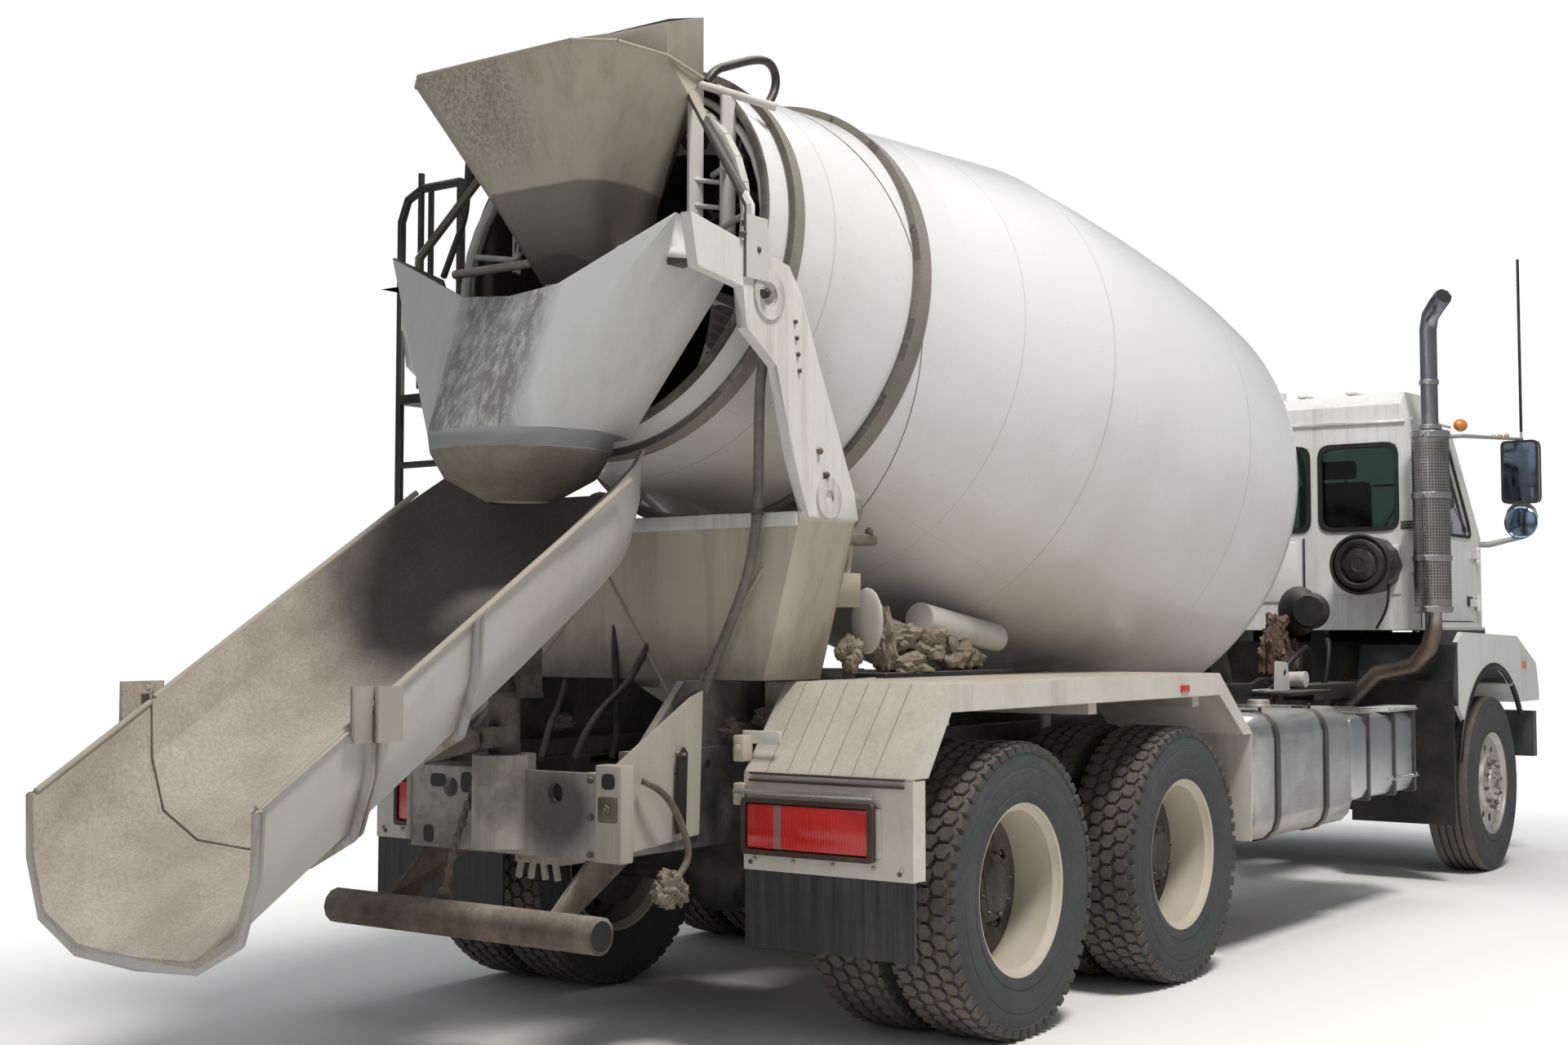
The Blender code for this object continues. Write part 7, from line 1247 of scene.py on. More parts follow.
class MIXER_OT_drum_fittings(Maker, bpy.types.Operator):
    """Makes the drum's smooth shell with its two spiral blades, its bolts and the lip of its mouth"""

    bl_idname = "mixer.drum_fittings"
    bl_label = "Drum fittings"

    def make(self):
        shell = Shape()
        outside = (
            (2.893, 0.695), (2.777, 0.723), (2.777, 0.748), (2.717, 0.748), (2.717, 0.732), (2.144, 0.838),
            (2.144, 0.870), (2.064, 0.870), (2.064, 0.856), (0.988, 1.10), (0.60, 1.130), (0.15, 1.157),
            (-0.277, 1.17), (-0.60, 1.168), (-0.90, 1.152), (-0.957, 1.139), (-1.00, 1.108), (-1.05, 1.068),
            (-1.438, 0.745), (-1.463, 0.700), (-1.551, 0.30), (-1.551, 0.0)
        )
        inside = (
            (-1.540, 0.0), (-1.540, 0.29), (-1.45, 0.70), (-0.94, 1.128), (-0.277, 1.157), (0.988, 1.087),
            (2.893, 0.683)
        )
        shell.spun(outside + inside, drum_point(0.0), DRUM_AXIS, steps=144, closed=True)
        pitch = math.radians(330)
        for start in (0.0, math.pi):
            rows = []
            for step in range(121):
                share = step / 120
                along, turn = 0.9 + 1.9 * share, start + pitch * share * 1.3
                skin = 1.087 + (0.683 - 1.087) * (along - 0.988) / (2.893 - 0.988)
                section = ((0, 0), (0.0, 0.24), (0.008, 0.24), (0.008, 0))
                spots = [drum_point(along + shift, skin + 0.002 - deep, turn) for shift, deep in section]
                rows.append([shell.bm.verts.new(spot) for spot in spots])
            for one, two in zip(rows, rows[1:]):
                for a, b in ((0, 1), (1, 2), (2, 3), (3, 0)):
                    shell.bm.faces.new((one[a], one[b], two[b], two[a]))
            shell.bm.faces.new(rows[0])
            shell.bm.faces.new(rows[-1])
        shell.done("drum_shell", "drum_white", "mixer_drum", "drum", slot="drum_paint", angle=9.0)
        bolts = Shape()
        for step in range(8):
            turn = math.tau * (step + 0.4) / 8
            bolts.rod(drum_point(2.144, 0.856, turn), drum_point(2.152, 0.856, turn), 0.008, 0.007, 6)
        bolts.nuts(drum_point(-1.548), -DRUM_AXIS, 0.25, 12, 0.016, 0.014)
        bolts.done("drum_bolts", "dusty_iron", "mixer_drum", slot="worn_steel")
        lip = Shape()
        lip.spun(
            ((2.880, 0.690), (2.880, 0.712), (2.896, 0.714), (2.900, 0.706), (2.900, 0.690)),
            drum_point(0.0), DRUM_AXIS, steps=72, closed=True,
        )
        lip.done("drum_lip", "dusty_iron", "mixer_drum", slot="worn_steel")


class MIXER_OT_smooth_forms(Maker, bpy.types.Operator):
    """Puts softly shaded copies in the place of the solid frame's faceted round forms"""

    bl_idname = "mixer.smooth_forms"
    bl_label = "Smooth forms"

    def make(self):
        def left_lug(points):
            return all(y > 0.56 and 2.64 < z < 2.70 for _, y, z in points)

        def left_tip(points):
            return any(x < -1.10 and y > 0.70 and z > 1.83 for x, y, z in points)

        angles = {
            "chute_main": 50, "chute_end": 50, "fuel_tank_left": 35, "fuel_tank_right": 35,
            "exhaust_stack": 62, "air_cleaner": 35, "ladder": 45, "charge_hopper": 24, "underrun_bar": 40,
            "mirror_left": 40, "mirror_right": 40, "ring_roller_left": 35, "ring_roller_right": 35,
            "front_pedestal": 35, "drum_gearbox": 35, "front_axle": 35, "rear_axle_1": 35, "rear_axle_2": 35,
            "lift_barrel": 35, "lift_rod": 35, "chute_swivel": 35
        }
        for node, angle in angles.items():
            smoothed(node, angle)
        smoothed("discharge_hopper", 30, left_lug, (-1.12, 0.65, 2.67))
        smoothed("rear_pedestal", 30, left_tip, (-1.10, 0.78, 2.7))


def window_seal(shape, corners, inward, width, radius=0.05, thick=0.014):
    """A rubber frame round an opening, lying on the wall and lapping over both edges of it."""
    outer = rounded(grown(corners, width * 0.62), radius + width * 0.62)
    inner = rounded(grown(corners, -width * 0.38), radius)
    shape.pierced(outer, [inner], Vector(inward) * thick)


def window_pane(shape, corners, inward, deep, radius=0.05):
    """A sheet of glass set back from its opening's outer face."""
    push = Vector(inward)
    shape.plate([point + push * deep for point in rounded(grown(corners, 0.002), radius)], push * 0.005)


def cab_side(x, z, side):
    """A point of the cab's outer side, which leans in above its waist."""
    lean = 0.05 * max(0.0, min(z, 2.70) - 2.03) / 0.84 + 0.05 * max(0.0, z - 2.70) / 0.17
    return Vector((x, side * (1.03 - lean), z))


class MIXER_OT_windows(Maker, bpy.types.Operator):
    """Sets the tinted glass and its rubber seals in the cab and the doors"""

    bl_idname = "mixer.windows"
    bl_label = "Windows"

    def make(self):
        width = looks().seal_width
        glass, seals = Shape(), Shape()
        for low, high in ((-0.37, 0.37), (0.45, 0.90), (-0.90, -0.45)):
            corners = upright(BACK_WALL, low, high, 2.05, 2.54)
            window_pane(glass, corners, (1, 0, 0), 0.018, 0.07)
            lifted = [Vector(corner) - Vector((0.010, 0, 0)) for corner in corners]
            window_seal(seals, lifted, (1, 0, 0), width * 1.5, 0.06)
        slope = Vector((5.90 - 6.36, 0, 2.70 - 2.03))
        foot, head = Vector((6.36, 0, 2.03)) + slope * 0.10, Vector((6.36, 0, 2.03)) + slope * 0.88
        inward = Vector((-slope.z, 0, slope.x)).normalized()
        across = Vector((0, 0.86, 0))
        corners = [foot - across, foot + across, head + across, head - across]
        window_pane(glass, corners, inward, 0.018, 0.05)
        lifted = [corner - inward * 0.010 for corner in corners]
        window_seal(seals, lifted, inward, width * 1.6, 0.05)
        post = Vector((0, 0.018, 0))
        seals.plate(
            [end - inward * 0.008 for end in (foot - post, foot + post, head + post, head - post)],
            inward * 0.03
        )
        glass.done("cab_panes", "cab_glass", slot="glass")
        seals.done("cab_seals", "black_rubber_and_hole_shade", slot="rubber")
        for name, side in SIDES:
            corners = [
                cab_side(x, z, side)
                for x, z in ((5.425, 2.03), (5.425, 2.555), (5.827, 2.555), (6.134, 2.085), (6.134, 2.03))
            ]
            inward = Vector((0, -side, -0.06)).normalized()
            pane, seal = Shape(), Shape()
            window_pane(pane, corners, inward, 0.016, 0.045)
            window_seal(seal, [corner - inward * 0.008 for corner in corners], inward, width, 0.04)
            pane.done(f"door_pane_{name}", "cab_glass", f"{name}_door", slot="glass")
            seal.done(f"door_seal_{name}", "black_rubber_and_hole_shade", f"{name}_door", slot="rubber")


class MIXER_OT_cab_trim(Maker, bpy.types.Operator):
    """Adds the roof ribs, drip rail, handles, beacon, markers, wipers and panel joints of the cab"""

    bl_idname = "mixer.cab_trim"
    bl_label = "Cab trim"

    def make(self):
        white, dark, amber = Shape(), Shape(), Shape()
        for y in (-0.60, -0.30, 0.0, 0.30, 0.60):
            white.box((5.24, y - 0.03, 2.862), (5.86, y + 0.03, 2.880), 0.007)
        white.ball((5.26, -0.72, 2.70), 0.16, (0.75, 1.0, 0.95), 28)
        rail = [(5.132, y, 2.672 + 0.012 * (1 - abs(y))) for y in (-0.96, -0.5, 0.0, 0.5, 0.96)]
        for a, b in zip(rail, rail[1:]):
            white.rod(a, b, 0.009, sides=8)
        for side in (1, -1):
            white.rod((5.14, side * 0.998, 2.685), (5.90, side * 0.990, 2.700), 0.010, sides=8)
        for y in (-0.72, 0.72):
            white.box((5.130, y - 0.20, 1.66), (5.142, y + 0.20, 1.95), 0.004)
        white.box((5.128, -0.30, 1.62), (5.142, 0.30, 1.98), 0.004)
        for y in (-0.80, -0.40, 0.0, 0.40, 0.80):
            amber.box((5.905, y - 0.045, 2.742), (5.965, y + 0.045, 2.768), 0.008)
            dark.box((5.88, y - 0.055, 2.735), (5.950, y + 0.055, 2.745), 0.003)
        beacon = ((0.0, 0.0), (0.0, 0.046), (0.05, 0.044), (0.068, 0.034), (0.076, 0.0))
        amber.spun(beacon, (5.63, 0, 2.880), (0, 0, 1), 24)
        dark.spun(((0.0, 0.0), (0.0, 0.060), (0.016, 0.058), (0.018, 0.0)), (5.63, 0, 2.866), (0, 0, 1), 24)
        for side in (1, -1):
            foot = Vector((6.30, side * 0.42, 2.075))
            dark.rod(foot, foot + Vector((-0.20, side * 0.24, 0.30)), 0.007, 0.005, 8)
            dark.box(
                foot + Vector((-0.215, side * 0.24 - 0.22, 0.29)),
                foot + Vector((-0.20, side * 0.24 + 0.22, 0.305)), 0.003
            )
            dark.box((5.145, side * 1.030 - 0.004, 1.46), (5.155, side * 1.030 + 0.004, 2.02), 0.001)
        dark.box((5.127, -0.345, 1.60), (5.141, -0.335, 2.00), 0.001)
        dark.box((5.127, 0.335, 1.60), (5.141, 0.345, 2.00), 0.001)
        white.done("cab_pressings", "cab_white", slot="white_paint")
        dark.done("cab_dark_trim", "black_plastic", slot="black_plastic")
        amber.done("cab_markers", "marker_lens", slot="lens_amber")
        for name, side in SIDES:
            handle = Shape()
            spot = Vector((5.50, side * 1.036, 1.92))
            handle.box(spot - Vector((0.075, 0.008, 0.022)), spot + Vector((0.075, 0.008, 0.022)), 0.006)
            handle.box(
                spot + Vector((-0.060, side * 0.006 - 0.007, -0.010)),
                spot + Vector((0.055, side * 0.022 + 0.003, 0.012)), 0.005
            )
            for x, low, high in ((5.46, 1.60, 1.66), (6.10, 1.60, 1.66)):
                handle.box(
                    (x - 0.05, side * 1.034 - 0.005, low), (x + 0.05, side * 1.034 + 0.005, high), 0.003
                )
            handle.done(f"door_handle_{name}", "fitting_black", f"{name}_door", slot="black_plastic")
            grab = Shape()
            for z in (2.10, 2.52):
                grab.rod((5.245, side * 1.020, z), (5.245, side * 1.070, z), 0.009, sides=8)
            grab.rod((5.245, side * 1.070, 2.06), (5.245, side * 1.070, 2.56), 0.013)
            for z in (1.62, 1.92):
                grab.rod((6.235, side * 1.046, z - 0.04), (6.235, side * 1.046, z + 0.04), 0.011, sides=10)
            grab.done(f"cab_grab_{name}", "bright_steel", slot="steel")


class MIXER_OT_hopper_fittings(Maker, bpy.types.Operator):
    """Adds the guard hoop, cross tube, ladder pipes, mouth lattice and rim about the two hoppers"""

    bl_idname = "mixer.hopper_fittings"
    bl_label = "Hopper fittings"

    def make(self):
        hoop = [
            (-0.83, 0.44, 3.37), (-0.80, 0.45, 3.42), (-0.70, 0.45, 3.46), (-0.55, 0.45, 3.52),
            (-0.46, 0.45, 3.53), (-0.42, 0.45, 3.48), (-0.44, 0.45, 3.41), (-0.52, 0.45, 3.32),
            (-0.60, 0.46, 3.19)
        ]
        foot = (-0.66, 0.50, 2.90)
        routes = [mirrored([*hoop, (-0.64, 0.47, 3.02), foot]), [*hoop, foot]]
        tubes("hopper_hoop", routes, 0.016, "fitting_black", slot="black_paint")
        route = [(-1.02, -0.60, 2.77), (-1.02, 0.60, 2.77)]
        tubes("hopper_cross_tube", [route], 0.017, "caked_beige", slot="worn_steel")
        tubes(
            "ladder_pipes",
            [
                [
                    (-0.85, 0.70, 3.30), (-0.84, 0.72, 3.20), (-0.84, 0.72, 3.05), (-0.90, 0.72, 2.92),
                    (-0.98, 0.70, 2.78)
                ],
                [(-0.785, 0.76, 3.15), (-0.80, 0.73, 3.22), (-0.82, 0.69, 3.30)],
                [(-0.78, 1.035, 3.26), (-0.78, 1.035, 2.40)]
            ],
            0.013, "fitting_black", slot="black_paint"
        )
        lattice = Shape()

        def bow(step):
            turn = math.radians(22 + step * 10)
            return Vector((-0.76 - 0.020 * step, side * math.sin(turn) * 0.66, 2.78 + math.cos(turn) * 0.62))

        for side in (1, -1):
            posts = ((-0.86, 0.41, 3.37, 2.86), (-0.79, 0.50, 3.32, 2.80))
            for x, y, top, low in posts:
                lattice.plate(
                    [(x - 0.028, side * y, low), (x + 0.028, side * (y + 0.02), low),
                     (x + 0.030, side * (y + 0.02), top), (x - 0.025, side * y, top)],
                    (0, side * -0.010, 0),
                )
            for z in (3.02, 2.93, 2.86):
                lattice.rod((-0.86, side * 0.41, z), (-0.79, side * 0.50, z - 0.01), 0.009, sides=8)
            lattice.rod((-0.87, side * 0.40, 3.37), (-0.66, side * 0.62, 3.29), 0.016, sides=10)
            beside = Vector((0.06, side * 0.03, 0.02))
            for step in range(8):
                lattice.rod(bow(step), bow(step + 1), 0.020, sides=8)
                lattice.rod(bow(step) + beside, bow(step + 1) + beside, 0.014, sides=8)
            for step in (2, 4, 6):
                lattice.rod(bow(step), bow(step) + Vector((0.07, side * -0.16, -0.02)), 0.012, sides=8)
        lattice.done("mouth_lattice", "fitting_white", slot="white_paint")
        rim = Shape()
        shares = ((0.0, 0.71), (0.15, 0.94), (0.49, 1.0), (0.94, 0.86), (1.0, 0.5))
        left = [(-1.444 + 0.648 * a, 0.503 * b, 3.382) for a, b in shares]
        ring = left + mirrored(reversed(left))
        for a, b in zip(ring, ring[1:] + ring[:1]):
            rim.rod(a, b, 0.0065, sides=8)
        rim.done("hopper_rim", "caked_beige", slot="white_paint")


class MIXER_OT_chute_fittings(Maker, bpy.types.Operator):
    """Edges the two chutes with rims"""

    bl_idname = "mixer.chute_fittings"
    bl_label = "Chute fittings"

    def make(self):
        def rim(x):
            return RIM_Z - (SWING_X - x) * CHUTE_FALL

        main, tail = Shape(), Shape()
        for side in (1, -1):
            for shape, front, rear, aside, radius in (
                (main, -1.30, -2.385, 0.497, 0.011), (tail, -2.405, -2.79, 0.490, 0.010)
            ):
                ends = [(x, side * aside, rim(x) + 0.004) for x in (front, rear)]
                shape.rod(*ends, radius, sides=8)
        main.done("chute_rims", "chute_edge", "chute_trough", slot="chute_paint")
        tail.done("chute_tip_rims", "chute_edge", "chute_tail", slot="chute_paint")


class MIXER_OT_fender_fittings(Maker, bpy.types.Operator):
    """Adds deck grooves, brackets, bolts, tail lamps and flap clamps to the rear fenders"""

    bl_idname = "mixer.fender_fittings"
    bl_label = "Fender fittings"

    def make(self):
        grooves, dark, iron, lens, rods = Shape(), Shape(), Shape(), Shape(), Shape()
        for side in (1, -1):
            near, far = sorted((side * 0.60, side * 1.10))
            for share in (0.10, 0.24, 0.38, 0.52, 0.66, 0.80):
                y = side * (0.60 + share * 0.62)
                grooves.box((-0.52, y - 0.003, 1.2605), (1.66, y + 0.003, 1.2645), 0.0012)
                grooves.rod((-0.770, y, 0.965), (-0.533, y, 1.2625), 0.0026, sides=6)
            outline = upright(-0.786, near - 0.016, far + 0.016, 0.686, 0.878)
            dark.pierced(rounded(outline, 0.018), [rounded(grown(outline, -0.017), 0.012)], (-0.030, 0, 0))
            dark.box((-0.790, near, 0.70), (-0.780, far, 0.865))
            lens.box((-0.812, near + 0.004, 0.706), (-0.788, far - 0.004, 0.858), 0.010)
            dark.box((-0.7935, side * 0.91 - 0.31, 0.930), (-0.780, side * 0.91 + 0.31, 0.940), 0.002)
            dark.box((-0.790, side * 0.91 - 0.31, 0.955), (-0.776, side * 0.91 + 0.31, 0.962), 0.002)
            rods.rod((-0.815, side * 0.555, 0.896), (-0.815, side * 1.12, 0.900), 0.0085, sides=10)
            for z, size in ((1.04, 0.045), (0.885, 0.038)):
                iron.box(
                    (-0.800, side * 0.560 - 0.022, z - size), (-0.740, side * 0.560 + 0.022, z + size), 0.006
                )
                iron.nut((-0.800, side * 0.560, z), (-1, 0, 0), 0.014, 0.012)
            for y in (0.62, 0.78, 0.94, 1.10, 1.21):
                iron.rod((-0.781, side * y, 0.668), (-0.790, side * y, 0.668), 0.007, 0.006, 6)
            for x in (0.0, 0.70, 1.38):
                iron.rod((x, side * 0.60, 1.245), (x, side * 0.46, 1.235), 0.024, sides=12)
                iron.box((x - 0.05, side * 0.60 - 0.03, 1.20), (x + 0.05, side * 0.60 + 0.03, 1.244), 0.006)
            lens.box((1.30, side * 1.252 - 0.006, 1.19), (1.38, side * 1.252 + 0.006, 1.22), 0.004)
        grooves.done("fender_ribs", "rib_line", slot="worn_steel")
        dark.done("lamp_frames", "dark_frame", slot="black_plastic")
        lens.done("tail_lamps", "tail_lens", slot="lens_red")
        iron.done("fender_brackets", "caked_beige", slot="worn_steel")
        rods.done("lamp_guard_rods", "bright_steel", slot="steel")
        beam = Shape()
        for side in (1, -1):
            for y in (0.60, 1.20):
                beam.box((-0.774, side * y - 0.02, 0.636), (-0.764, side * y + 0.02, 0.70), 0.003)
                beam.nut((-0.776, side * y, 0.655), (-1, 0, 0), 0.009, 0.007)
        beam.done("flap_clamps", "dusty_iron", slot="worn_steel")


class MIXER_OT_rear_fittings(Maker, bpy.types.Operator):
    """Adds the end plates, their slots and holes as near-black plates of painted shade, the wedges, chain,
    hook and lines at the rear of the frame
    """

    bl_idname = "mixer.rear_fittings"
    bl_label = "Rear fittings"

    def make(self):
        dark, white, iron = Shape(), Shape(), Shape()
        # The slots are near-black plates on the end plate: painted shade in the openings.
        slots = (
            (0.300, 0.930, 0.036, 0.022), (0.165, 0.928, 0.026, 0.034), (0.045, 0.930, 0.020, 0.026),
            (0.345, 0.745, 0.024, 0.030),
        )
        for y, z, wide, high in slots:
            corners = upright(END_PLATE, y - wide, y + wide, z - high, z + high)
            dark.plate(rounded(corners, min(wide, high) * 0.8), (-0.0015, 0, 0))
        white.box((-1.395, -0.545, 0.700), (-1.33, -0.435, 1.012), 0.006)
        white.box((-1.380, 0.428, 0.72), (-1.33, 0.446, 0.99), 0.004)
        dark.plate(rounded(upright(-1.3960, -0.520, -0.465, 0.935, 0.985), 0.018), (-0.0015, 0, 0))
        iron.box((-1.401, -0.53, 0.83), (-1.389, -0.45, 0.91), 0.008)
        iron.nut((-1.398, -0.49, 0.87), (-1, 0, 0), 0.018, 0.014)
        # Near-black discs on the frame's side: painted shade in its holes.
        for x, z in ((-1.06, 0.948), (-0.80, 0.985), (-0.93, 0.80)):
            dark.plate(circle((x, -0.4305, z), (0, 1, 0), 0.014, 14), (0, -0.0015, 0))
        wedge = ((-1.33, 0.705), (-0.86, 0.745), (-0.84, 1.235), (-0.905, 1.215), (-1.33, 0.985))
        for side in (-1, 1):
            white.plate([(x, side * 0.431, z) for x, z in wedge], (0, side * 0.010, 0))
        dark.plate(
            [
                (-1.01, -0.455, 0.76), (-0.96, -0.455, 0.77), (-0.955, -0.458, 1.03), (-0.975, -0.458, 1.05),
                (-1.00, -0.456, 1.02)
            ],
            (0, -0.008, 0)
        )
        iron.nut((-0.98, -0.441, 1.025), (0, -1, 0), 0.012, 0.024)
        white.box((-1.30, -0.215, 0.665), (-1.18, 0.005, 0.700), 0.004)
        for y in (-0.18, -0.125, -0.07, -0.015):
            white.box(
                (-1.302, y - 0.010, 0.612), (-1.285, y + 0.010, 0.680), 0.003,
                Matrix.Rotation(math.radians(12 if y > -0.1 else -12), 4, "X")
            )
        white.done("frame_end_plates", "worn_white", slot="white_paint")
        for z in (0.72, 0.84, 0.96):
            iron.rod((-1.371, -0.40, z), (-1.384, -0.40, z), 0.011, 0.010, 6)
        for step in range(15):
            share = step / 14
            x = -1.385 - 0.02 * math.sin(share * 3.1) - 0.11 * share
            spot = Vector((x, 0.10 + 0.035 * share, 0.935 - 0.375 * share))
            iron.ball(spot, 0.018, (0.75, 1.0 if step % 2 else 0.55, 1.15), 8)
        iron.ball(spot, 0.030, (0.8, 1, 1.2), 10)
        iron.done("end_irons", "tube_brown", slot="worn_steel")
        dark.done("end_hole_shades", "black_rubber_and_hole_shade", slot="black_paint")
        hook = [
            (-1.20, -0.47, 0.95), (-1.16, -0.50, 0.93), (-1.09, -0.51, 0.87), (-1.02, -0.51, 0.76),
            (-1.00, -0.51, 0.69), (-1.04, -0.51, 0.64), (-1.09, -0.51, 0.61)
        ]
        tubes("end_hook", [hook], 0.012, "tube_brown", slot="worn_steel")
        knob = Shape()
        for spot, radius in (
            ((-1.10, -0.51, 0.60), 0.040), ((-1.13, -0.50, 0.575), 0.034), ((-1.07, -0.52, 0.575), 0.030)
        ):
            knob.lump(spot, radius, (1, 1, 1.2), 0.6)
        knob.rod((-1.10, -0.51, 0.61), (-1.12, -0.51, 0.53), 0.034, 0.028, 10)
        knob.done("end_coupling", "tube_brown", slot="worn_steel")
        # Near-black discs at the underrun bar's ends: painted shade inside its bore.
        bore = Shape()
        for side in (1, -1):
            end = Vector((-1.55, side * 0.6004, 0.50))
            bore.rod(end, end + Vector((0, side * 0.0012, 0)), 0.048, sides=32)
        bore.done("underrun_bore_shades", "pure_black", slot="black_paint")
        tubes(
            "rear_lines",
            [
                [
                    (-0.72, 0.06, 1.48), (-0.74, 0.05, 1.36), (-0.76, 0.02, 1.24), (-0.78, 0.0, 1.10),
                    (-0.80, -0.01, 1.03), (-0.82, -0.01, 0.99)
                ],
                [
                    (-0.72, -0.10, 1.40), (-0.80, -0.08, 1.26), (-0.92, -0.06, 1.18), (-1.02, -0.05, 1.08),
                    (-1.05, -0.04, 1.00)
                ],
                [
                    (-0.72, 0.30, 1.26), (-0.85, 0.22, 1.16), (-1.00, 0.12, 1.12), (-1.10, 0.05, 1.06),
                    (-1.16, 0.02, 1.00)
                ]
            ],
            0.013, "dark_trim", slot="rubber"
        )


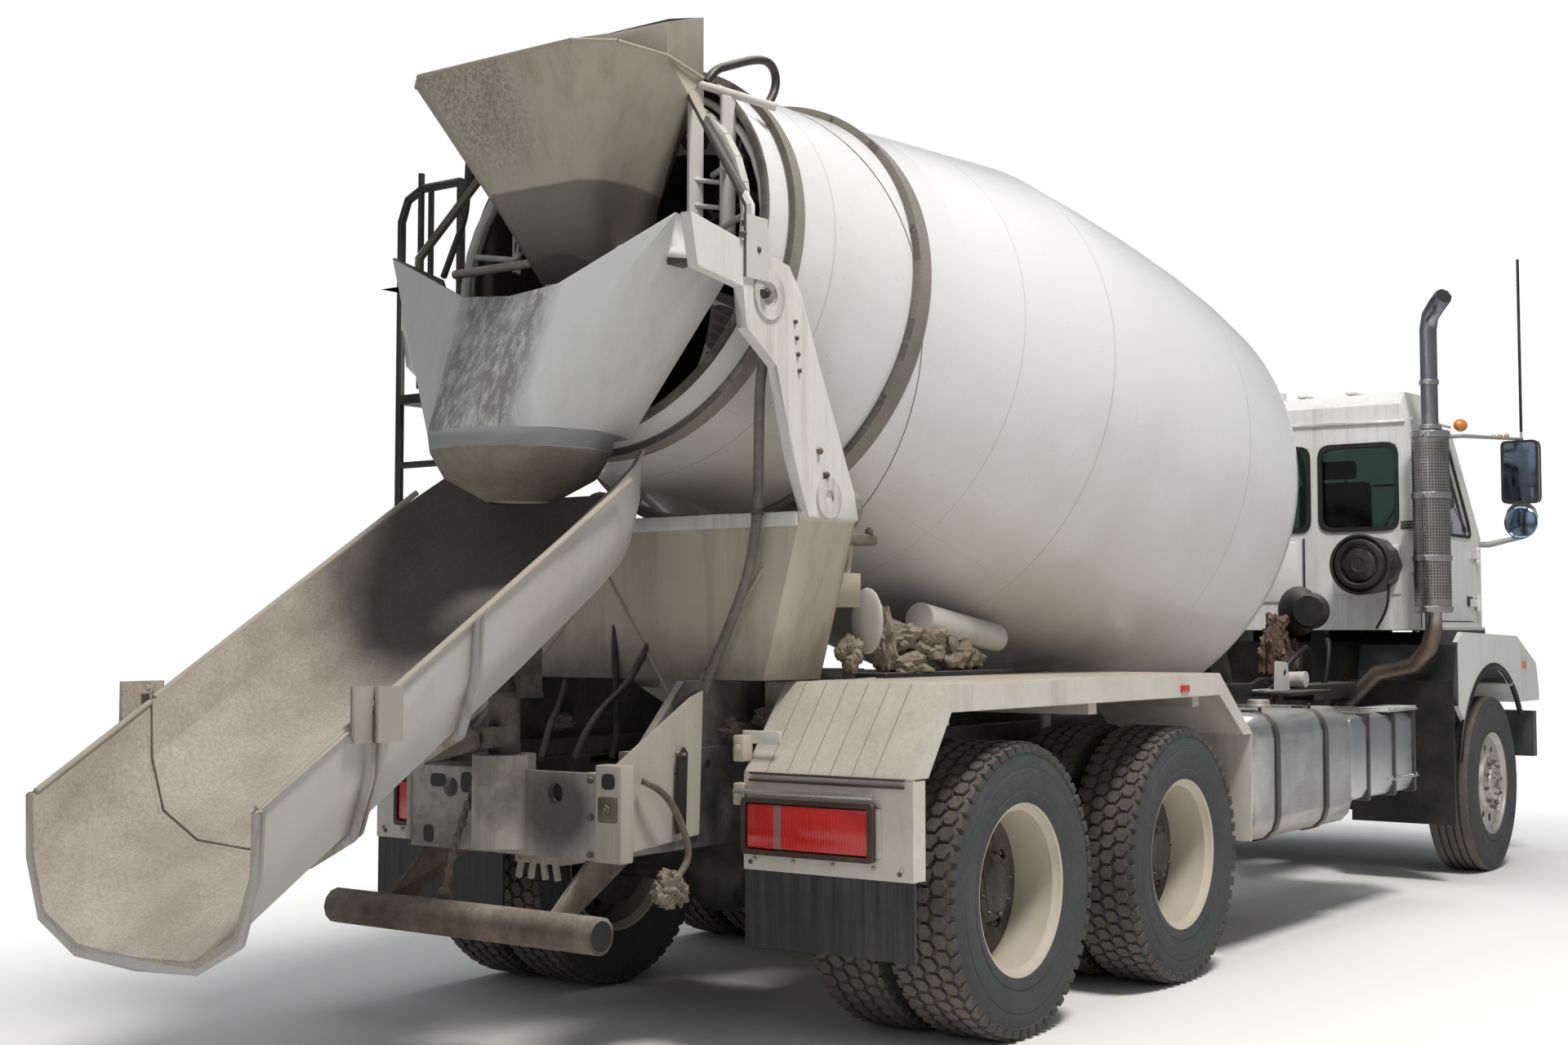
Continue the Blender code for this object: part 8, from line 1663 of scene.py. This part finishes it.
class MIXER_OT_pedestal_fittings(Maker, bpy.types.Operator):
    """Adds the rear pedestal's plates, bolts and folds, and the caked fittings and hoses on the frame"""

    bl_idname = "mixer.pedestal_fittings"
    bl_label = "Pedestal fittings"

    def make(self):
        plates, bolts, iron, folds = Shape(), Shape(), Shape(), Shape()
        for side in (1, -1):
            out = Vector((0, side, 0))
            plates.ring((-0.95, side * ARM_FACE, 2.56), (0, 1, 0), 0.085, 0.041, 32, 24, out * 0.006)
            bolts.nut((-0.99, side * 0.801, 2.56), out, 0.020, 0.022)
            for step in range(4):
                bolts.nut((-0.800 + step * 0.008, side * 0.801, 2.49 - step * 0.055), out, 0.009, 0.007)
            for x, z in ((-1.10, 2.74), (-1.02, 2.70), (-0.66, 2.06), (-0.62, 1.98)):
                bolts.nut((x, side * 0.801, z), out, 0.013, 0.012)
            plates.ring((-0.60, side * ARM_FACE, 1.90), (0, 1, 0), 0.072, 0.026, 28, 20, out * 0.008)
            plates.box((-0.748, side * 0.62 - 0.08, 1.055), (-0.735, side * 0.62 + 0.08, 1.10), 0.003)
        for a, b in (
            ((0.10, 1.66), (-0.26, 1.14)), ((-0.62, 1.66), (-0.26, 1.14)), ((0.46, 1.30), (0.10, 1.66))
        ):
            folds.rod((-0.7365, *a), (-0.7365, *b), 0.006, sides=6)
        plates.box((-0.752, -0.77, 1.80), (-0.735, 0.77, 1.85), 0.004)
        plates.done("pedestal_plates", "fitting_white", slot="white_paint")
        folds.done("pedestal_folds", "caked_beige", slot="worn_steel")
        bolts.done("pedestal_bolts", "dusty_iron", slot="worn_steel")
        for side in (1, -1):
            iron.box((-0.34, side * 0.557 - 0.10, 1.76), (-0.06, side * 0.557 + 0.10, 1.80), 0.010)
            iron.box((-0.40, side * 0.557 - 0.13, 1.66), (-0.34, side * 0.557 + 0.13, 1.79), 0.012)
            for y in (-0.085, 0.085):
                iron.nut((-0.10, side * 0.557 + y, 1.80), (0, 0, 1), 0.018, 0.018)
            iron.lump((-0.52, side * 0.50, 1.13), 0.075, (1.0, 0.8, 0.5))
            iron.lump((-0.66, side * 0.40, 1.10), 0.06, (1.2, 0.9, 0.6))
        iron.done("pedestal_irons", "tube_brown", slot="worn_steel")
        clutter, white, rusty, dark = Shape(), Shape(), Shape(), Shape()
        white.rod((0.40, -0.55, 1.49), (0.97, -0.57, 1.415), 0.066, 0.058, 32)
        white.ball((0.97, -0.57, 1.415), 0.058, (0.5, 1, 1), 20)
        white.ball((-0.05, -0.60, 1.48), 0.10, (0.16, 0.72, 1.25), 20)
        for spot, size, shape in (
            ((0.10, -0.57, 1.40), 0.075, (0.5, 0.8, 1.5)), ((0.26, -0.55, 1.42), 0.085, (1.5, 0.7, 0.7)),
            ((0.44, -0.56, 1.40), 0.085, (1.3, 0.8, 0.8)), ((0.62, -0.57, 1.36), 0.075, (1.4, 0.8, 0.9)),
            ((0.28, -0.57, 1.31), 0.080, (1.8, 0.7, 0.6)), ((0.76, -0.56, 1.33), 0.06, (1.2, 0.9, 0.8)),
            ((-0.14, -0.58, 1.36), 0.055, (1.0, 0.8, 1.2))
        ):
            clutter.lump(spot, size, shape)
        dark.box((0.05, -0.62, 1.20), (1.06, -0.47, 1.285), 0.012)
        dark.box((0.78, -0.60, 1.27), (1.02, -0.50, 1.335), 0.010)
        for spot, size, shape in (
            ((4.36, -0.44, 1.30), 0.085, (0.8, 0.8, 1.5)), ((4.46, -0.42, 1.44), 0.080, (0.8, 0.8, 1.4)),
            ((4.54, -0.44, 1.28), 0.090, (0.8, 0.8, 1.6)), ((4.40, -0.46, 1.16), 0.080, (1.0, 0.8, 1.1))
        ):
            rusty.lump(spot, size, shape, 0.8)
        dark.ball((4.56, -0.52, 1.56), 0.135, (0.6, 0.9, 1.05), 20)
        dark.rod((4.54, -0.60, 1.56), (4.44, -0.62, 1.56), 0.105, 0.085, 24)
        for low, high in (
            ((3.70, -0.80, 1.10), (4.30, -0.50, 1.125)), ((3.20, -0.62, 1.10), (3.62, -0.48, 1.17)),
            ((4.30, -0.70, 1.06), (5.00, -0.52, 1.15))
        ):
            dark.box(low, high, 0.008)
        outline = rounded(
            [(3.84, -0.655, 1.12), (4.06, -0.655, 1.12), (4.03, -0.655, 1.275), (3.86, -0.655, 1.285)], 0.02
        )
        white.pierced(outline, [circle((3.99, -0.655, 1.215), (0, 1, 0), 0.022, 16)], (0, 0.008, 0))
        white.box((3.84, -0.655, 1.115), (4.06, -0.52, 1.130), 0.004)
        white.rod((4.18, -0.70, 1.18), (4.18, -0.60, 1.18), 0.045, 0.04, 20)
        clutter.done("frame_cakes", "mud_caked", slot="worn_steel")
        white.done("frame_whites", "fitting_white", slot="white_paint")
        rusty.done("rusty_masses", "rust_caked", slot="worn_steel")
        dark.done("frame_darks", "guard_black", slot="black_paint")
        tubes(
            "engine_hoses",
            [
                [
                    (4.20, -0.50, 1.12), (4.26, -0.56, 1.26), (4.40, -0.60, 1.34), (4.60, -0.56, 1.36),
                    (4.80, -0.50, 1.26)
                ],
                [(4.05, -0.54, 1.12), (4.12, -0.60, 1.20), (4.30, -0.62, 1.22), (4.44, -0.58, 1.10)],
                [(4.62, -0.64, 1.14), (4.66, -0.66, 1.32), (4.74, -0.62, 1.42), (4.90, -0.56, 1.36)],
                [(3.66, -0.56, 1.13), (3.78, -0.60, 1.20), (3.92, -0.62, 1.16), (4.04, -0.58, 1.20)]
            ],
            0.016, "pure_black", slot="rubber"
        )


class MIXER_OT_tank_fittings(Maker, bpy.types.Operator):
    """Adds caps and strap bolts to the tanks, and makes the step box with its bands and treads"""

    bl_idname = "mixer.tank_fittings"
    bl_label = "Tank fittings"

    def make(self):
        bright, dark, alu = Shape(), Shape(), Shape()
        cap = ((0, 0), (0, 0.062), (0.018, 0.062), (0.020, 0.055), (0.040, 0.052), (0.044, 0.046), (0.046, 0))
        for side in (1, -1):
            alu.spun(cap, (2.95, side * 0.92, 1.066), (0, 0, 1), 28)
            for x in TANK_STRAPS:
                dark.rod((x, side * 1.15, 1.062), (x, side * 1.15, 1.094), 0.009, sides=8)
                dark.box(
                    (x - 0.026, side * 1.10 - 0.03, 1.066), (x + 0.026, side * 1.10 + 0.03, 1.082), 0.004
                )
            for x in (2.118, 3.354):
                alu.box((x - 0.003, side * 0.925 - 0.22, 0.60), (x + 0.009, side * 0.925 + 0.22, 0.96), 0.003)
        box = Shape()
        box.box((3.405, -1.228, 0.590), (4.375, -0.62, 1.022), 0.060)
        box.done("battery_box_finish", "box_aluminium", "chassis", "battery_box", slot="aluminium")
        for x in (3.62, 4.02, 4.345):
            dark.box((x - 0.022, -1.236, 0.586), (x + 0.022, -0.66, 1.030), 0.010)
        for z in (0.665, 1.022):
            bright.box((3.92, -1.238, z), (4.40, -1.06, z + 0.012), 0.003)
            for step in range(16):
                x = 3.93 + step * 0.030
                bright.box((x, -1.232, z + 0.010), (x + 0.014, -1.066, z + 0.022), 0.002)
        alu.done("tank_caps", "wheel_aluminium", slot="aluminium")
        dark.done("tank_dark", "fitting_black", slot="black_paint")
        bright.done("step_treads", "bright_steel", slot="steel")


def stack_way():
    """The way the stack's cut end faces: the normal of its largest face above 3.2 m."""
    faces = [face for face in frame["nodes"]["exhaust_stack"].data.polygons if face.center.z > 3.2]
    turns = {}
    for face in faces:
        key = tuple(round(value, 2) for value in face.normal)
        turns[key] = turns.get(key, 0.0) + face.area
    return Vector(max(turns, key=turns.get)).normalized()


def stack_end():
    """The corners round the stack's cut end."""
    way = stack_way()
    mesh = frame["nodes"]["exhaust_stack"].data
    reach = max(vert.co.dot(way) for vert in mesh.vertices if vert.co.z > 3.2)
    return [vert for vert in mesh.vertices if vert.co.z > 3.2 and vert.co.dot(way) > reach - 0.002]


class MIXER_OT_stack_fittings(Maker, bpy.types.Operator):
    """Adds the stack's bands, stays and a black disc of painted shade in its mouth, and the air cleaner's
    dish, clamp and drain
    """

    bl_idname = "mixer.stack_fittings"
    bl_label = "Stack and air cleaner"

    def make(self):
        bands, dish = Shape(), Shape()
        band = ((-0.016, 0.104), (-0.016, 0.110), (0.016, 0.110), (0.016, 0.104))
        for z in (1.57, 1.86, 2.22, 2.57):
            bands.spun(band, (STACK_X, STACK_Y, z), (0, 0, 1), 36, closed=True)
            bands.box((4.90, -1.150, z - 0.014), (4.918, -1.130, z + 0.014), 0.002)
        for z in (1.78, 2.45):
            bands.rod((5.06, -1.05, z), (5.15, -0.99, z), 0.014, sides=10)
        bands.rod((STACK_X, STACK_Y, 2.60), (STACK_X, STACK_Y, 2.625), 0.066, sides=28)
        bands.rod((STACK_X, STACK_Y, 2.86), (STACK_X, STACK_Y, 2.885), 0.055, sides=28)
        bands.done("stack_bands", "bright_steel", slot="steel")
        # A black disc on the stack's cut end: painted shade inside the pipe.
        mouth = Shape()
        ends = stack_end()
        tip = sum((vert.co for vert in ends), Vector()) / max(len(ends), 1) + Vector((MIDDLE, 0, 0))
        away = stack_way()
        mouth.rod(tip + away * 0.0004, tip + away * 0.0016, 0.043, sides=28)
        mouth.done("stack_mouth_shade", "pure_black", slot="black_paint")
        centre = (4.885, -0.76, 1.83)
        clamp = (
            (-0.012, 0.158), (-0.018, 0.168), (-0.012, 0.177), (0.012, 0.177), (0.016, 0.168), (0.012, 0.158)
        )
        rib = ((0.002, 0.145), (0.012, 0.140), (0.014, 0.118), (0.002, 0.110), (-0.002, 0.128))
        knob = ((0.0, 0.0), (0.0, 0.060), (0.008, 0.058), (0.010, 0.040), (0.003, 0.034), (0.003, 0.0))
        dish.spun(clamp, (4.905, -0.76, 1.83), (-1, 0, 0), 44, closed=True)
        dish.spun(rib, centre, (-1, 0, 0), 44, closed=True)
        dish.spun(knob, centre, (-1, 0, 0), 36)
        dish.box((4.895, -0.955, 1.80), (4.925, -0.925, 1.86), 0.006)
        dish.rod((4.91, -0.945, 1.79), (4.91, -0.945, 1.87), 0.008, sides=8)
        dish.done("cleaner_dish", "cleaner_black", slot="black_plastic")
        drain = [
            (4.98, -0.90, 1.72), (4.97, -0.90, 1.64), (5.00, -0.88, 1.58), (5.04, -0.84, 1.52),
            (5.05, -0.80, 1.46)
        ]
        tubes("cleaner_drain", [drain], 0.008, "black_rubber_and_hole_shade", slot="rubber")


class MIXER_OT_mirror_glasses(Maker, bpy.types.Operator):
    """Sets the mirrors' glasses, shells and rims, the round mirrors, the aerials and the arms' markers"""

    bl_idname = "mixer.mirror_glasses"
    bl_label = "Mirrors"

    def make(self):
        glass, rims, chrome, amber, black = Shape(), Shape(), Shape(), Shape(), Shape()
        bowl = (
            (0.0, 0.0), (0.0, 0.100), (0.010, 0.101), (0.014, 0.094), (0.010, 0.088), (0.018, 0.050),
            (0.021, 0.0)
        )
        for side in (1, -1):
            corners = upright(6.400, side * MIRROR_Y - 0.11, side * MIRROR_Y + 0.11, 2.25, 2.64)
            outer = rounded(grown(corners, 0.003), 0.035)
            inner = rounded(grown(corners, -0.012), 0.028)
            rims.pierced(outer, [inner], Vector((-0.010, 0, 0)))
            glass.plate(rounded(grown(corners, -0.011), 0.028), (-0.004, 0, 0))
            black.rod((6.45, side * MIRROR_Y, 2.70), (6.45, side * MIRROR_Y, 3.798), 0.0092, sides=10)
            black.box(
                (6.418, side * MIRROR_Y - 0.1135, 2.247), (6.4835, side * MIRROR_Y + 0.1135, 2.6435), 0.03
            )
            chrome.spun(bowl, (6.405, side * MIRROR_Y, 2.125), (-1, 0, 0), 36)
            for y in (1.12, 1.16, 1.20):
                amber.ball((6.38, side * y, 2.675), 0.016, (1, 1, 0.8), 12)
            amber.ball((6.02, side * 1.02, 2.72), 0.050, (1.2, 0.8, 0.8), 18)
        rims.done("mirror_rims", "fitting_black", slot="black_plastic")
        glass.done("mirror_glasses", "mirror_glass", slot="mirror_glass")
        chrome.done("round_mirrors", "mirror_glass", slot="mirror_glass")
        black.done("mirror_shells", "fitting_black", slot="black_plastic")
        amber.done("arm_markers", "marker_lens", slot="lens_amber")


class MIXER_OT_hood_fittings(Maker, bpy.types.Operator):
    """Adds the grille's frame, head lamps, turn lamps, hood catches and the bumper's hooks"""

    bl_idname = "mixer.hood_fittings"
    bl_label = "Hood fittings"

    def make(self):
        chrome, lamps, dark, amber = Shape(), Shape(), Shape(), Shape()
        lens = ((0.0, 0.0), (0.0, 0.090), (0.008, 0.088), (0.016, 0.060), (0.020, 0.0))
        outer = upright(7.026, -0.455, 0.455, 1.035, 1.53)
        chrome.pierced(rounded(outer, 0.05), [rounded(grown(outer, -0.030), 0.03)], (0.012, 0, 0))
        for side in (1, -1):
            lamp = (6.998, side * 0.80, 1.19)
            chrome.ring(lamp, (1, 0, 0), 0.105, 0.088, 36, 36, (0.022, 0, 0))
            dark.box((6.90, side * 0.80 - 0.135, 1.06), (7.000, side * 0.80 + 0.135, 1.32), 0.02)
            lamps.spun(lens, lamp, (1, 0, 0), 36)
            amber.box((6.985, side * 1.01 - 0.035, 1.12), (7.010, side * 1.01 + 0.035, 1.26), 0.010)
            amber.box((6.60, side * 1.196 - 0.006, 1.20), (6.72, side * 1.196 + 0.012, 1.26), 0.008)
            dark.box((6.44, side * 0.615 - 0.012, 1.55), (6.48, side * 0.615 + 0.014, 1.68), 0.006)
        chrome.done("grille_frame", "chrome_trim", "tilt_hood", slot="chrome")
        lamps.done("head_lamps", "lamp_glass", "tilt_hood", slot="glass")
        dark.done("lamp_housings", "black_plastic", "tilt_hood", slot="black_plastic")
        amber.done("turn_lamps", "marker_lens", "tilt_hood", slot="lens_amber")
        hooks = Shape()
        for side in (1, -1):
            hooks.box((7.04, side * 0.42 - 0.03, 0.66), (7.085, side * 0.42 + 0.03, 0.72), 0.012)
            hooks.nuts((7.048, side * 0.85, 0.78), (1, 0, 0), 0.05, 4, 0.012, 0.008)
        hooks.done("bumper_hooks", "fitting_black", slot="black_paint")


class MIXER_OT_arch_trims(Maker, bpy.types.Operator):
    """Edges the front wheel arches with black rubber"""

    bl_idname = "mixer.arch_trims"
    bl_label = "Arch trims"

    def make(self):
        for label, body, first, last, foot in (
            ("rear", "chassis", 58, 180, 0.62), ("front", "tilt_hood", 2, 55, 0.92)
        ):
            low, high = math.radians(first), math.radians(last)
            turns = [low + (high - low) * step / 18 for step in range(19)]
            arc = [
                (FRONT_AXLE + math.cos(turn) * ARCH_RADIUS, AXLE_HEIGHT + math.sin(turn) * ARCH_RADIUS)
                for turn in turns
            ]
            routes = [[(x, side * 1.196, z) for x, z in arc if z > foot] for side in (1, -1)]
            tubes(f"arch_trim_{label}", routes, 0.017, "pure_black", body, slot="rubber")


class MIXER_OT_underbody(Maker, bpy.types.Operator):
    """Adds the brake chambers, air tanks and air lines under the truck"""

    bl_idname = "mixer.underbody"
    bl_label = "Underbody"

    def make(self):
        iron, black = Shape(), Shape()
        chamber = (
            (-0.06, 0.0), (-0.06, 0.06), (-0.03, 0.082), (0.0, 0.085), (0.008, 0.092), (0.016, 0.085),
            (0.05, 0.080), (0.075, 0.05), (0.075, 0.0)
        )
        tank = (
            (-0.42, 0.0), (-0.42, 0.05), (-0.38, 0.105), (-0.34, 0.12), (0.34, 0.12), (0.38, 0.105),
            (0.42, 0.05), (0.42, 0.0)
        )
        for _, x in REAR_AXLES:
            for side in (1, -1):
                iron.spun(chamber, (x - 0.26, side * 0.50, 0.56), (-1, 0, 0.15), 24)
                iron.rod((x - 0.20, side * 0.50, 0.56), (x - 0.05, side * 0.50, 0.53), 0.018, sides=8)
        for y in (0.30, -0.30):
            black.spun(tank, (2.75, y, 0.565), (1, 0, 0), 28)
        iron.done("brake_chambers", "dusty_iron", slot="worn_steel")
        black.done("air_tanks", "chassis_black", slot="black_paint")
        brake = [(-0.32, 0.50, 0.60), (-0.40, 0.48, 0.72), (-0.34, 0.44, 0.86), (-0.20, 0.36, 0.90)]
        tubes(
            "air_lines",
            [
                [
                    (-0.9, 0.28, 0.86), (-0.4, 0.26, 0.80), (0.2, 0.28, 0.92), (0.8, 0.26, 0.88),
                    (1.5, 0.29, 0.92), (2.2, 0.28, 0.86)
                ],
                [
                    (-1.0, -0.28, 0.84), (-0.4, -0.26, 0.88), (0.2, -0.28, 0.84), (0.8, -0.25, 0.92),
                    (1.5, -0.28, 0.86), (2.2, -0.28, 0.90)
                ],
                mirrored(brake), brake
            ],
            0.011, "dark_trim", slot="rubber"
        )


class MIXER_OT_cab_inside(Maker, bpy.types.Operator):
    """Pads the seats with cushions, backs and head rests, and adds the dashboard's dials"""

    bl_idname = "mixer.cab_inside"
    bl_label = "Cab inside"

    def make(self):
        for name, side in SIDES:
            self.seat(name, side)
        dials = Shape()
        dial = ((0.0, 0.0), (0.0, 0.055), (0.012, 0.055), (0.014, 0.046), (0.006, 0.044), (0.006, 0.0))
        for y in (0.38, 0.52):
            dials.spun(dial, (5.985, y, 1.95), (-1, 0, 0), 28)
        for y in (-0.2, -0.05, 0.10):
            dials.box((5.976, y - 0.05, 1.90), (5.988, y + 0.05, 1.97), 0.004)
        dials.done("dash_dials", "dark_trim", slot="black_plastic")

    def seat(self, name, side):
        """Cushion, back and head rest: blocks blown out between their corners, with sewn channels."""
        mid = side * 0.48
        parts = (
            ("cushion", (5.26, mid - 0.225, 1.66), (5.70, mid + 0.225, 1.80)),
            ("back", (5.235, mid - 0.215, 1.84), (5.355, mid + 0.215, 2.34)),
            ("head_rest", (5.245, mid - 0.13, 2.36), (5.335, mid + 0.13, 2.47)),
        )
        for label, low, high in parts:
            bm = bmesh.new()
            low, high = Vector(low) - Vector((MIDDLE, 0, 0)), Vector(high) - Vector((MIDDLE, 0, 0))
            size, middle = high - low, (high + low) / 2
            bmesh.ops.create_cube(
                bm, size=1.0, matrix=Matrix.Translation(middle) @ Matrix.Diagonal((*size, 1.0))
            )
            bmesh.ops.bevel(
                bm, geom=bm.edges[:], offset=min(size) * 0.28, affect="EDGES", segments=3, profile=0.5,
                material=-1
            )
            bmesh.ops.subdivide_edges(
                bm, edges=[e for e in bm.edges if e.calc_length() > 0.06], cuts=9, use_grid_fill=True
            )
            thin = min(range(3), key=lambda axis: size[axis])
            wide = [axis for axis in range(3) if axis != thin]
            for vert in bm.verts:
                share = [(vert.co[axis] - middle[axis]) / size[axis] * 2 for axis in wide]
                crown = (1 - share[0] ** 2) * (1 - share[1] ** 2)
                sewn = abs(math.sin(share[0 if label == "cushion" else 1] * math.pi * 1.5))
                seam = 1.0 if label == "head_rest" else sewn
                facing = 1 if vert.co[thin] > middle[thin] else -0.3
                channel = 0.010 * (1 - min(seam * 4, 1.0)) * max(crown, 0.2)
                vert.co[thin] += facing * (0.022 * max(crown, 0.0) - channel)
            bmesh.ops.recalc_face_normals(bm, faces=bm.faces)
            whole = f"seat_{label}_{name}"
            piece = settled(
                meshed(bm, whole), whole, "seat_cloth", "chassis", f"seat_{name}", slot="cloth", angle=60
            )
            soft = piece.modifiers.new("Soft", "SUBSURF")
            soft.levels = soft.render_levels = 1
        base = Shape()
        base.box((5.30, mid - 0.19, 1.60), (5.66, mid + 0.19, 1.665), 0.01)
        for y in (-0.07, 0.07):
            base.rod((5.29, mid + y, 2.32), (5.29, mid + y, 2.38), 0.007, sides=8)
        base.done(f"seat_base_{name}", "black_plastic", slot="black_plastic")


class MIXER_OT_water_hose(Maker, bpy.types.Operator):
    """Hangs the grey wash-down hose between the side arm and the frame"""

    bl_idname = "mixer.water_hose"
    bl_label = "Water hose"

    def make(self):
        route = [
            (-0.870, -0.7417, 2.542), (-0.870, -0.7417, 2.416), (-0.870, -0.7057, 2.272),
            (-0.789, -0.6337, 1.850), (-0.789, -0.5797, 1.598), (-0.789, -0.4357, 1.306),
            (-0.789, -0.3997, 1.216), (-0.789, -0.3997, 1.162)
        ]
        points = []
        for step in range(len(route) - 1):
            four = [Vector(route[min(max(step + shift, 0), len(route) - 1)]) for shift in (-1, 0, 1, 2)]
            before, here, ahead, past = four
            for share in (0.0, 0.25, 0.5, 0.75):
                low = (ahead - before) * share + (before * 2 - here * 5 + ahead * 4 - past) * share ** 2
                high = (here * 3 - before - ahead * 3 + past) * share ** 3
                points.append(here + (low + high) / 2)
        points.append(Vector(route[-1]))
        hose = tubes(
            "water_hose_skin", [points], 0.018, "hose_grey", "chassis", "water_hose", slot="rubber", sides=6
        )
        clips = Shape()
        clip = ((-0.012, 0.0185), (-0.012, 0.0225), (0.012, 0.0225), (0.012, 0.0185))
        for spot in (route[1], route[3], route[5]):
            clips.spun(clip, spot, (0.05, 0.2, 1), 20, closed=True)
        clips.done("hose_clips", "dusty_iron", slot="worn_steel")


CLASSES = [TruckLooks] + [
    MIXER_OT_stage, MIXER_OT_finishes, MIXER_OT_smooth_forms, MIXER_OT_rear_wheels, MIXER_OT_front_wheels,
    MIXER_OT_drum_fittings, MIXER_OT_windows, MIXER_OT_cab_trim, MIXER_OT_hopper_fittings,
    MIXER_OT_chute_fittings, MIXER_OT_fender_fittings, MIXER_OT_rear_fittings, MIXER_OT_pedestal_fittings,
    MIXER_OT_tank_fittings, MIXER_OT_stack_fittings, MIXER_OT_mirror_glasses, MIXER_OT_hood_fittings,
    MIXER_OT_arch_trims, MIXER_OT_underbody, MIXER_OT_cab_inside, MIXER_OT_water_hose
]


class MIXER_PT_panel(bpy.types.Panel):
    """Lists the truck's colours, sizes and pieces"""

    bl_idname = "MIXER_PT_panel"
    bl_label = "Mixer Truck"
    bl_space_type = "VIEW_3D"
    bl_region_type = "UI"
    bl_category = "Mixer Truck"

    def draw(self, context):
        look = context.scene.mixer_truck
        for name in TruckLooks.__annotations__:
            self.layout.prop(look, name)
        for made in CLASSES[1:]:
            self.layout.operator(made.bl_idname)


def register():
    for made in [*CLASSES, MIXER_PT_panel]:
        bpy.utils.register_class(made)
    bpy.types.Scene.mixer_truck = bpy.props.PointerProperty(type=TruckLooks)


def unregister():
    del bpy.types.Scene.mixer_truck
    for made in reversed([*CLASSES, MIXER_PT_panel]):
        bpy.utils.unregister_class(made)


def main():
    register()
    for made in CLASSES[1:]:
        group, name = made.bl_idname.split(".")
        getattr(getattr(bpy.ops, group), name)()
    bpy.context.view_layer.update()


if __name__ == "__main__":
    main()
